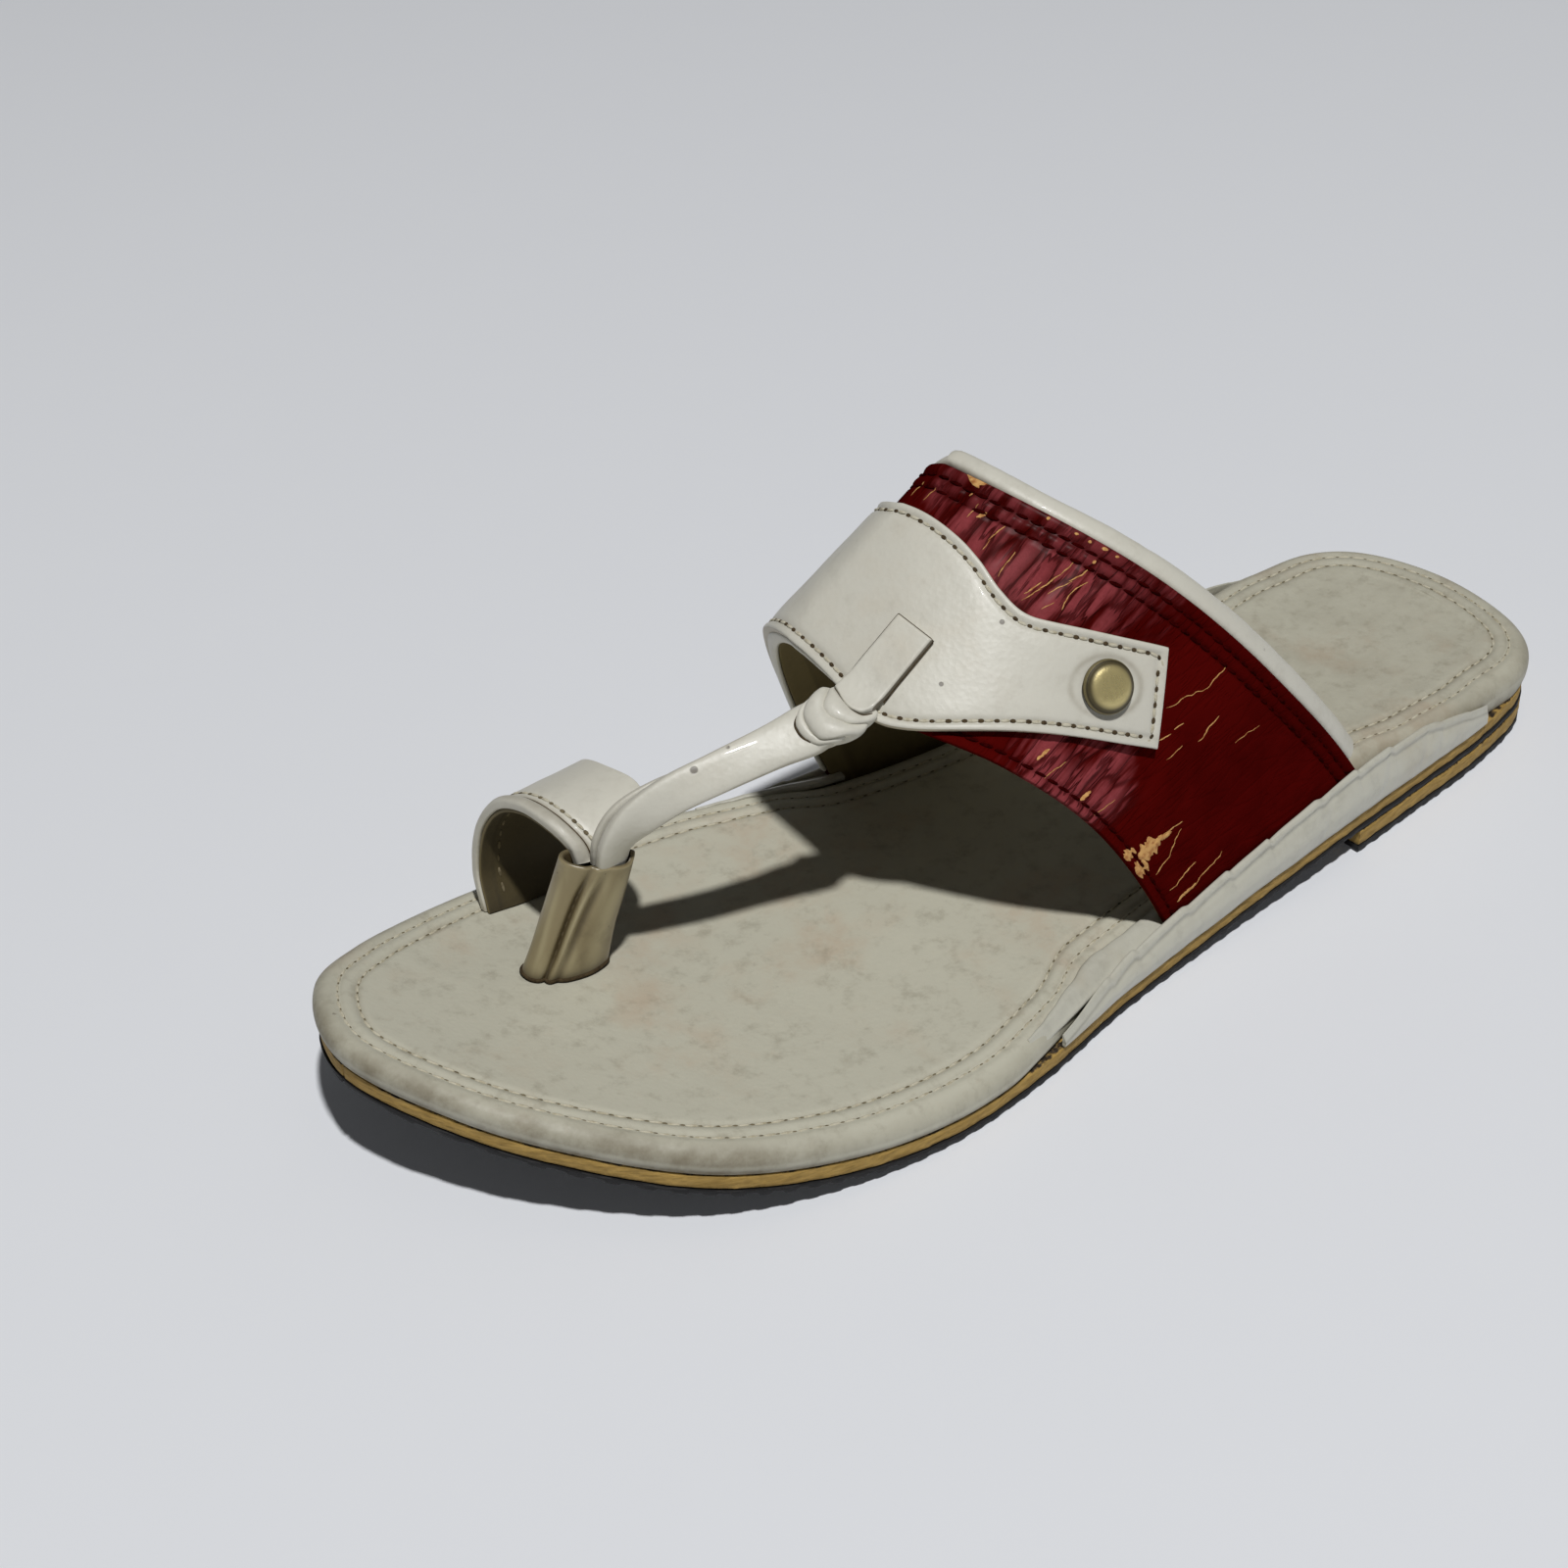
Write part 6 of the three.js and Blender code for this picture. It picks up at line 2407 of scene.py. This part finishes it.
    def turn(self, form: Form, number: int) -> None:
        """Adds one binding turn round the strap, puffed towards the toe and drawn in at its lower end.

        Args:
            form: Form that takes the turn.
            number: 0 for the turn beside the tongue, 1 for the next, 2 for the strap's own shoulder.
        """
        angle = circle(self.turn_sides[0])[:, None]
        bead = circle(self.turn_sides[1])
        share = self.across_at(angle)
        pitch = (0.0, self.turn_pitch, self.shoulder)[number]
        end = self.turn_edge(share) + pitch + (self.turn_pitch if number > 1 else 0.0)
        start = (end - pitch if number else self.tongue_edge(share)) - self.turn_tuck
        half = np.maximum(self.thinnest_turn, (end - start) / 2.0)
        rise = np.minimum(self.turn_height, self.turn_fullness * half)
        out = rise * np.maximum(self.turn_sunk, signed_power(np.sin(bead), self.bead_roundness))
        points = self.wrapped(end - half + half * np.cos(bead), angle, out, out).centre
        # Painted shade on the low side of each turn's bead, in the crevices between the turns.
        dirt = smooth((self.turn_shade_to - np.sin(bead)) / self.turn_shade_ramp)
        form.sweep(points, True, dirt=dirt, edge=0.0)

    def build(self, leather: Stuff, crevice_shaded: Stuff) -> None:
        """Builds and dresses the strap.

        Args:
            leather: Finish of the strips.
            crevice_shaded: Finish of the tongue and the turns, with painted shade along their lower edges and
                in the crevices between them.
        """
        form = Form()
        self.tongue(form)
        for number in range(3):
            self.turn(form, number)
        form.build("toe_strap_tongue", crevice_shaded, "toe_strap", self.sharp)
        first = float(self.row_at(self.turn_pitch + self.strip_start))
        form = Form()
        row = np.linspace(self.core_row, first + self.core_over, self.core_steps)
        width, thick = self.sizes(row)
        self.strip(form, row, width - self.core_narrower, thick - self.core_thinner, self.core_power)
        row = np.linspace(first, self.last, int(self.last) * self.steps_per_row)
        width, thick = self.sizes(row)
        width = width + self.flare * bell(np.maximum(0.0, row - self.flare_row), self.flare_reach)
        self.strip(form, row, width, thick, self.strip_power)
        row = np.linspace(self.under_first, self.last, self.under_steps)
        share = (row - self.under_first) / (self.last - self.under_first)
        drop = lerp(self.under_drop, self.under_end_drop, share) + self.under_bow * np.sin(math.pi * share)
        width = self.sizes(row)[0] - self.under_narrower
        self.strip(form, row, width, self.under_thick, self.under_power, drop)
        form.build("toe_strap_leather", leather, "toe_strap", self.sharp)


@dataclass(frozen=True)
class ToeRing:
    """Band over the big toe with a rolled front lip."""

    thickness: float = 2.4
    outer: float = 1.5
    lining_trim: float = 0.35
    lining_gap: float = 0.05
    corner: float = 0.35
    steps_per_row: int = 26
    across_steps: int = 54
    lip_groove: float = 3.2
    sewn_inset: float = 4.6
    face: Rows = table(RIDGE, (1.4, 1.4, 0.65), (3.2, 0.5, -0.5), (4.6, 0.6, -0.2))
    # Painted shade in the groove behind the rolled lip, and a darker tone over the lip.
    dirt: Rows = table(RIDGE, (3.2, 0.45, 0.8), (1.4, 1.3, 0.5))
    line: float = 0.17
    step: float = 0.004
    rows: Rows = table(
        "y z front rear skew",
        (-42.4, 15.5, 92.0, 65.0, 0), (-46.0, 23.5, 90.8, 65.5, 0), (-44.8, 33.4, 90.0, 66.5, 0),
        (-39.6, 41.2, 89.4, 68.0, 0), (-32.2, 44.6, 88.8, 68.6, -1), (-24.6, 44.6, 88.2, 67.6, -2),
        (-19.2, 42.0, 87.0, 70.5, -2.5), (-17.6, 38.8, 86.6, 78.5, -2.5),
    )
    swell: float = 0.12
    swell_ramp: float = 3.0
    uneven: Ripple = Ripple(0.07, 21.0, 15)
    uneven_row: float = 10.0
    foot_darkening: Rows = table(RIDGE, (0.0, 0.18, 0.5))
    path_steps: int = 160
    edge_worn: float = 0.3
    lining_worn: float = 0.8
    sewn_from: float = 0.25
    sewn_short: float = 2.2
    line_from: float = 0.05
    line_short: float = 1.3

    @cached_property
    def columns(self) -> dict[str, TableCurve]:
        """Each column of the rows over the row number."""
        return columns(self.rows)

    def normal(self, row: Array) -> Array:
        """Outward normal of the band at row numbers.

        Args:
            row: Row numbers.

        Returns:
            The normals, of length 1.
        """
        run, rise = (
            self.columns[name](row + self.step) - self.columns[name](row - self.step) for name in ("y", "z")
        )
        return np.where((row <= 0.0)[..., None], np.array([0.0, -1.0, 0.0]), unit(xyz(0.0, -rise, run)))

    def point(self, row: Array, across: Array, depth: Any) -> Array:
        """Point of the band.

        Args:
            row: Row number over the toe.
            across: Millimetres from its front edge.
            depth: Distance outside its middle.

        Returns:
            The points.
        """
        at = {name: curve(row) for name, curve in self.columns.items()}
        share = across / self.width(row)
        x = lerp(at["front"], at["rear"], share)
        seat = (SOLE.footbed_top(x) + GAP - self.rows[0].z) * np.maximum(0.0, 1.0 - row)
        middle = xyz(x, at["y"] + at["skew"] * (0.5 - share), at["z"] + seat)
        return middle + self.normal(row) * np.asarray(depth)[..., None]

    def width(self, row: Array) -> Array:
        """Width of the band at row numbers."""
        return self.columns["front"](row) - self.columns["rear"](row)

    def relief(self, row: Array, across: Array) -> Array:
        """Height of the rolled lip and the sewn row on the band's face."""
        height = ridges(self.face, across) + self.swell * smooth((across - self.sewn_inset) / self.swell_ramp)
        return height + self.uneven.at(self.uneven_row * row + across)

    def build(self, leather: Stuff, lining: Stuff) -> None:
        """Builds and dresses the ring and its lining.

        Args:
            leather: Material of the outside.
            lining: Material of the inside.
        """
        last = len(self.rows) - 1.0
        row = np.linspace(0.0, last, int(last) * self.steps_per_row + 1)
        inner = self.thickness - self.outer - self.lining_gap
        for stuff, word, thick, trim, sign, worn in (
            (leather, "leather", self.outer, 0.0, 1.0, self.edge_worn),
            (lining, "lining", inner, self.lining_trim, -1.0, self.lining_worn),
        ):
            strip = strip_loops(self.width(row) - 2.0 * trim, thick, self.corner, self.across_steps)
            across = strip.across + trim
            place = np.broadcast_to(row[:, None], across.shape)
            relief = self.relief(place, across) * strip.face * max(0.0, sign)
            depth = (self.thickness - thick) / 2.0 * sign + strip.lift * thick / 2.0 + relief
            dirt = ridges(self.dirt, across) + ridges(self.foot_darkening, place)
            form = Form().sweep(self.point(place, across, depth), dirt=dirt, edge=strip.edge * worn)
            form.build(f"toe_ring_{word}", stuff, "toe_ring")

    def line_on(self, row: Array, across: float) -> Path:
        """Path along the band's face at millimetres from its front edge."""
        held = np.full(len(row), across)
        return Path(self.point(row, held, self.thickness / 2.0 + self.relief(row, held)), self.normal(row))

    def paths(self) -> list[Path]:
        """Paths of the sewn row on the band's face and of the one on its lining.

        Returns:
            The two paths.
        """
        row = np.linspace(self.sewn_from, len(self.rows) - self.sewn_short, self.path_steps)
        face = self.line_on(row, self.sewn_inset)
        back = self.point(row, np.full(len(row), self.sewn_inset), np.full(len(row), -self.thickness / 2.0))
        return [face, Path(back, -face.up)]

    def outline(self, form: Form) -> None:
        """Adds a dark cord of painted shade in the groove behind the rolled lip."""
        row = np.linspace(self.line_from, len(self.rows) - self.line_short, self.path_steps)
        line = self.line_on(row, self.lip_groove)
        form.cord(line.points, line.up, self.line)


@dataclass(frozen=True)
class ToePost:
    """Leather sleeve between the toes, open at its top and folded upright."""

    turn: float = -27.0
    foot_turn: float = -11.0
    top_tilt: float = 0.22
    sides: int = 150
    height_steps: int = 70
    rows: Rows = table(
        "z x y long thick",
        (17.0, 90.2, -18.9, 17.6, 8.6), (25.0, 87.9, -17.9, 15.9, 7.8),
        (33.0, 85.5, -16.9, 14.7, 7.4), (40.2, 83.4, -15.9, 14.2, 7.6),
    )
    # Loops that turn in over the open top; their darkening and dark edge tone paint the shade inside the
    # opening.
    rim: Rows = table(
        "inset drop dirt", (0.35, -0.25, 0.3), (0.65, -0.3, 0.3), (1.0, 0.4, 0.9), (1.0, 4.0, 0.9)
    )
    opening_shade: float = 0.6
    far_rim: float = 1.9
    teardrop: float = 0.26
    line: float = 0.35
    folds: Rows = table(
        "top bottom width depth",
        (76, 44, 6, -1.3), (90, 53, 6, 0.35), (106, 64, 8, -0.7), (138, 112, 20, 0.3),
        (34, 22, 9, 0.2), (262, 250, 12, -0.6), (310, 318, 11, -0.4),
    )
    sharp: float = 70.0
    foot_darkening: Rows = table(RIDGE, (0.0, 0.07, 0.9))
    foot_folds: float = 0.55
    foot_gain: float = 0.45
    foot_rate: float = 3.0
    top_flat: float = 0.65
    top_from: float = 0.6
    top_ramp: float = 0.4
    teardrop_fade: float = 0.7
    turn_rate: float = 1.2
    far_power: int = 4
    far_width: float = 26.0
    fold_darkening: float = 0.85
    fold_shade_from: float = -0.1
    fold_shade_ramp: float = 0.8
    ridge_highlight_ramp: float = 0.35
    line_share: float = 0.01

    def folded(self, share: float) -> Array:
        """How far the folds push the sleeve out round its loop, at a share of its height.

        Args:
            share: Share of the sleeve's height.

        Returns:
            The push at each point of the loop.
        """
        angle = np.degrees(circle(self.sides))
        reach = np.zeros(self.sides)
        for fold in self.folds:
            away = angle - lerp(fold.bottom, fold.top, share) + HALF_TURN
            reach = reach + fold.depth * bell(away % (2.0 * HALF_TURN) - HALF_TURN, fold.width)
        low = self.foot_folds + self.foot_gain * smooth(share * self.foot_rate)
        return reach * low * (1.0 - self.top_flat * smooth((share - self.top_from) / self.top_ramp))

    def ring(self, share: float, inset: float = 0.0) -> Array:
        """Loop of the sleeve.

        Args:
            share: Share of its height, from the footbed up.
            inset: How far inside its outer skin.

        Returns:
            The loop's points.
        """
        row = share * (len(self.rows) - 1.0)
        size = {name: float(curve(row)) for name, curve in columns(self.rows).items()}
        angle = circle(self.sides)
        reach = self.folded(share) - inset
        long = (size["long"] / 2.0 + reach) * np.cos(angle)
        pinch = 1.0 + self.teardrop * np.cos(angle) * (1.0 - self.teardrop_fade * share)
        thick = (size["thick"] / 2.0 + reach) * np.sin(angle) * pinch
        turn = math.radians(lerp(self.foot_turn, self.turn, smooth(self.turn_rate * share)))
        x = size["x"] + long * math.cos(turn) - thick * math.sin(turn)
        y = size["y"] + long * math.sin(turn) + thick * math.cos(turn)
        level = self.top_tilt * long * share + size["z"]
        far = bell(np.degrees(angle) - HALF_TURN, self.far_width)
        level = level + self.far_rim * share**self.far_power * far
        seat = (SOLE.footbed_top(x) + GAP - self.rows[0].z) * max(0.0, 1.0 - self.foot_rate * share)
        return xyz(x, y, level + seat)

    def build(self, leather: Stuff) -> None:
        """Builds and dresses the sleeve.

        Args:
            leather: Material of the leather.
        """
        shares = np.linspace(0.0, 1.0, self.height_steps + 1)
        folded = np.array([self.folded(share) for share in shares])
        rim = [self.ring(1.0, loop.inset) - loop.drop * UP for loop in self.rim]
        loops = np.array([*(self.ring(share) for share in shares), *rim])
        # Painted shade in the fold grooves, and painted shadow round the foot.
        deep = smooth((self.fold_shade_from - folded) / self.fold_shade_ramp)
        dirt = ridges(self.foot_darkening, shares)[:, None] + self.fold_darkening * deep
        bare = np.zeros((len(rim), self.sides))
        dirt = np.vstack([np.minimum(1.0, dirt), bare + np.array([[loop.dirt] for loop in self.rim])])
        edge = np.concatenate([0.0 * shares, np.full(len(rim), self.opening_shade)])[:, None]
        # The worn value lightens the fold ridges: painted highlight, partly rubbed wear.
        worn = np.vstack([smooth(folded / self.ridge_highlight_ramp), bare])
        form = Form().sweep(loops, dirt=dirt, edge=edge, worn=worn)
        form.build("toe_post_sleeve", leather, "toe_post", self.sharp)

    def outline(self, form: Form) -> None:
        """Adds a dark cord of painted shadow round the sleeve's foot."""
        form.cord(self.ring(self.line_share), UP, self.line, True)


@dataclass(frozen=True)
class SnapCap:
    """Domed cap of the snap, plain, with a dark rim."""

    saddle: Saddle
    seat: float = 0.35
    sides: int = 72
    profile: Rows = table(
        "radius height dirt",
        (0.4, 0.0, 1.0), (4.8, 0.0, 1.0), (5.1, 0.2, 0.9), (5.2, 0.45, 0.8), (5.1, 0.75, 0.8),
        (4.85, 0.95, 1.0), (4.6, 1.15, 0.95), (4.3, 1.5, 0.9), (3.8, 1.85, 0.55), (3.1, 2.08, 0.2),
        (2.1, 2.22, 0.0), (1.0, 2.28, 0.0), (0.15, 2.3, 0.0),
    )
    steps: int = 80
    sharp: float = 80.0

    def build(self, brass: Stuff) -> None:
        """Builds and dresses the cap.

        Args:
            brass: Material of the cap.
        """
        around, across = self.saddle.snap_around, self.saddle.snap_across
        normal = BAND.normal(around, across)
        seat = BAND.point(around, across, self.saddle.thickness + 2.0 * GAP + self.seat)
        side = unit(np.cross(normal, np.array([1.0, 0.0, 0.0])))
        fine = np.linspace(0.0, len(self.profile) - 1.0, self.steps)[:, None]
        radius, height, dirt = (curve(fine) for curve in columns(self.profile).values())
        angle = circle(self.sides)[:, None]
        spread = np.cos(angle) * side + np.sin(angle) * np.cross(normal, side)
        points = seat + height[..., None] * normal + radius[..., None] * spread
        form = Form().sweep(points, dirt=np.clip(dirt, 0.0, 1.0))
        form.build("snap_cap_brass", brass, "snap_cap", self.sharp)


class Lamp(NamedTuple):
    """Soft round lamp: degrees from +X towards +Y and above the floor, metres away and across, watts."""

    azimuth: float
    elevation: float
    distance: float
    size: float
    power: float


@dataclass(frozen=True)
class Studio:
    """Pale floor, soft light and the camera."""

    eye: tuple[float, float, float] = (325.36, 323.77, 358.8)
    azimuth: float = 139.762
    elevation: float = 36.026
    roll: float = -0.838
    focal_px: float = 2893.1
    image_px: float = 1600.0
    sensor: float = 36.0
    clip_start: float = 0.01
    floor_size: float = 12.0
    key: Lamp = Lamp(60.0, 68.0, 3.0, 0.15, 69.0)
    fill: Lamp = Lamp(200.0, 45.0, 2.2, 1.6, 0.5)
    sky: float = 0.05
    sky_colour: Colour = tone(244, 247, 252)

    def camera(self) -> None:
        """Adds the camera."""
        az, el, roll = (math.radians(angle) for angle in (self.azimuth, self.elevation, self.roll))
        back = Vector((math.sin(az) * math.cos(el), -math.cos(az) * math.cos(el), math.sin(el)))
        right = Vector((math.cos(az), math.sin(az), 0.0))
        up = back.cross(right)
        turned = right * math.cos(roll) + up * math.sin(roll)
        upright = up * math.cos(roll) - right * math.sin(roll)
        data = bpy.data.cameras.new("camera")
        data.sensor_width = self.sensor
        data.lens = self.sensor * self.focal_px / self.image_px
        data.clip_start = self.clip_start
        camera = add_object("camera", data)
        matrix = Matrix((turned, upright, back)).transposed().to_4x4()
        matrix.translation = Vector(self.eye) * MM
        camera.matrix_world = matrix
        bpy.context.scene.camera = camera

    def light(self, name: str, lamp: Lamp) -> None:
        """Adds a lamp that looks at the sandal.

        Args:
            name: Name of the lamp.
            lamp: Its place, size and power.
        """
        az, el = math.radians(lamp.azimuth), math.radians(lamp.elevation)
        way = Vector((math.cos(az) * math.cos(el), math.sin(az) * math.cos(el), math.sin(el)))
        data = bpy.data.lights.new(name, "AREA")
        data.shape = "DISK"
        data.size = lamp.size
        data.energy = lamp.power
        light = add_object(name, data)
        light.location = way * lamp.distance
        light.rotation_euler = way.to_track_quat("Z", "Y").to_euler()

    def floor(self, stuff: Stuff) -> None:
        """Adds the floor.

        Args:
            stuff: Material of the floor.
        """
        half = self.floor_size / 2.0
        corners = [(-half, -half, 0.0), (half, -half, 0.0), (half, half, 0.0), (-half, half, 0.0)]
        mesh = bpy.data.meshes.new("floor")
        mesh.from_pydata(corners, [], [(0, 1, 2, 3)])
        mesh.materials.append(stuff.material)
        floor = add_object("floor", mesh)
        floor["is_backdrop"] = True

    def build(self, floor: Stuff) -> None:
        """Builds the studio.

        Args:
            floor: Material of the floor.
        """
        self.camera()
        self.floor(floor)
        self.light("key", self.key)
        self.light("fill", self.fill)
        world = bpy.data.worlds.new("studio")
        world.use_nodes = True
        sky = world.node_tree.nodes["Background"]
        sky.inputs["Color"].default_value = self.sky_colour
        sky.inputs["Strength"].default_value = self.sky
        bpy.context.scene.world = world
        bpy.context.scene.view_settings.view_transform = "Standard"


class Finishes:
    """Materials of the sandal."""

    def __init__(self) -> None:
        """Makes every material."""
        self.footbed = Leather(
            "footbed_leather",
            tone(197, 194, 176), tone(190, 170, 146), tone(112, 101, 78), tone(150, 136, 108),
            roughness=0.5, stain_size=26.0, stain_share=0.6, mottle=0.3, crumple_depth=0.1,
            marks=table(MARK, (120.8, -16.2, 24.0, 0.7), (70.0, 20.0, 14.2, 0.4), (64.0, -10.0, 13.6, 0.35)),
        ).make()
        # Its dirt colour also paints the shade under the toe strap, along the collar's join and round the
        # snap.
        strap = Leather(
            "strap_leather",
            tone(211, 208, 195), tone(198, 186, 164), tone(128, 117, 93), tone(170, 158, 132),
            roughness=0.44, stain_share=0.4, mottle=0.12, coat=0.04,
            marks=table(MARK, (67.7, -6.0, 58.1, 0.9), (12.1, 16.1, 76.8, 0.6), (25.7, 14.5, 68.4, 0.55)),
        )
        self.strap = strap.make()
        # A darker copy of the strap leather for the tongue and the turns: its dirt and cut colours paint the
        # shade along their lower edges and between the turns.
        self.crevice_shaded = replace(
            strap, name="creviced_leather", dirt=tone(70, 58, 42), cut=tone(92, 80, 60), marks=()
        ).make()
        self.rand = Leather(
            "rand_leather", tone(196, 194, 180), tone(178, 168, 146), tone(76, 68, 50), tone(150, 136, 108),
            roughness=0.34, mottle=0.15, coat=0.25,
        ).make()
        lining = Leather(
            "lining_leather", tone(108, 95, 60), tone(88, 76, 46), tone(58, 50, 30), tone(124, 110, 72),
            roughness=0.6, mottle=0.3,
        )
        self.lining = lining.make()
        # A darker copy of the lining for the inside of the toe ring: painted shade.
        self.ring_lining = replace(
            lining, name="ring_lining", colour=tone(76, 66, 40), stain=tone(60, 52, 30)
        ).make()
        self.red = RedLeather(
            "vamp_red_leather", tone(80, 8, 6), tone(148, 66, 70), tone(56, 4, 3)
        ).make(Slot.RED)
        self.sleeve = SleeveLeather(
            "sleeve_leather", tone(146, 133, 100), tone(180, 169, 134), tone(68, 56, 34), tone(66, 46, 24)
        ).make(Slot.WORN)
        self.board = Board(
            "tan_board", tone(184, 150, 80), tone(144, 114, 52), tone(40, 28, 14)
        ).make(Slot.BOARD)
        self.rubber = Rubber("black_rubber", tone(17, 16, 18), tone(56, 54, 55)).make(Slot.RUBBER)
        self.brass = AgedBrass("aged_brass", tone(240, 222, 158), tone(58, 50, 28)).make(Slot.BRASS)
        self.thread = Thread("beige_thread", tone(200, 194, 174), tone(174, 165, 140)).make()
        self.red_thread = Thread("red_thread", tone(56, 5, 5), tone(34, 3, 3), 0.7, 0.0).make(Slot.RED)
        # Dark brown of the needle holes, also used for the cords of painted shade.
        self.hole = Thread("needle_hole", tone(78, 64, 42), tone(54, 42, 26), 0.8).make()
        self.soft_hole = Thread("soft_hole", tone(122, 112, 88), tone(92, 82, 60), 0.8).make()
        self.bare = Thread("bare_leather", tone(212, 164, 100), tone(168, 108, 58), 0.7).make(Slot.RED)
        self.floor = PaleFloor("pale_floor", tone(232, 234, 238), tone(205, 208, 212)).make()


def write_sizes() -> None:
    """Writes the solids' box and the dressed sandal's box for comparison."""
    boxes = {"cad": CAD_BOX, "visual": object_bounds()}
    plain = {key: [[float(v) for v in corner] for corner in box] for key, box in boxes.items()}
    LOG.info("boxes: %s", plain)


def main() -> None:
    """Builds the sandal piece by piece, then the studio."""
    logging.basicConfig(level=logging.INFO, format="%(name)s: %(message)s")
    finishes = Finishes()
    footbed, strips, band, saddle = Footbed(), SideStrips(), InstepBand(), Saddle()
    strap, ring, post = ToeStrap(), ToeRing(), ToePost()
    SoleLayers().build(board=finishes.board, tread=finishes.rubber)
    footbed.build(finishes.footbed)
    strips.build(finishes.rand)
    band.build(finishes.red, finishes.lining)
    Flakes(band).build(finishes.bare)
    Collar(strips.lip).build(finishes.strap)
    saddle.build(finishes.strap)
    strap.build(finishes.strap, finishes.crevice_shaded)
    ring.build(finishes.strap, finishes.ring_lining)
    post.build(finishes.sleeve)
    SnapCap(saddle).build(finishes.brass)
    # Dark cords of painted shade in crevices, grooves and round the post's foot.
    shade_cords = Form()
    for part in (strap, post, ring):
        part.outline(shade_cords)
    shade_cords.build("seam_lines", finishes.hole)
    bed_thread = Sewing(3.15, 2.7, 0.6, 0.5, 1.575, 0.06, 0.08)
    bed_hole = Sewing(3.15, 0.95, 0.42, 0.26, 0.0, 0.05)
    strap_thread = Sewing(2.95, 2.1, 0.65, 0.5, 1.475, 0.08, 0.06)
    strap_hole = Sewing(2.95, 1.2, 0.85, 0.3, 0.0, 0.08)
    red_thread = Sewing(2.9, 2.7, 0.75, 0.7, 1.45, 0.1, 0.12)
    face, back = ring.paths()
    rows = SewnRows()
    rows.sew("footbed_stitches", footbed.paths(), bed_thread, finishes.thread, 1)
    rows.sew("footbed_needle_holes", footbed.paths(), bed_hole, finishes.soft_hole, 2)
    rows.sew("strap_stitches", [*saddle.paths(), face], strap_thread, finishes.thread, 3)
    rows.sew("lining_stitches", [back], strap_thread, finishes.soft_hole, 6)
    rows.sew("strap_needle_holes", saddle.paths(), strap_hole, finishes.hole, 4)
    rows.sew("ring_needle_holes", [face], strap_hole, finishes.soft_hole, 7)
    rows.sew("vamp_stitches", band.paths(), red_thread, finishes.red_thread, 5)
    Studio().build(finishes.floor)
    write_sizes()


if __name__ == "__main__":
    main()
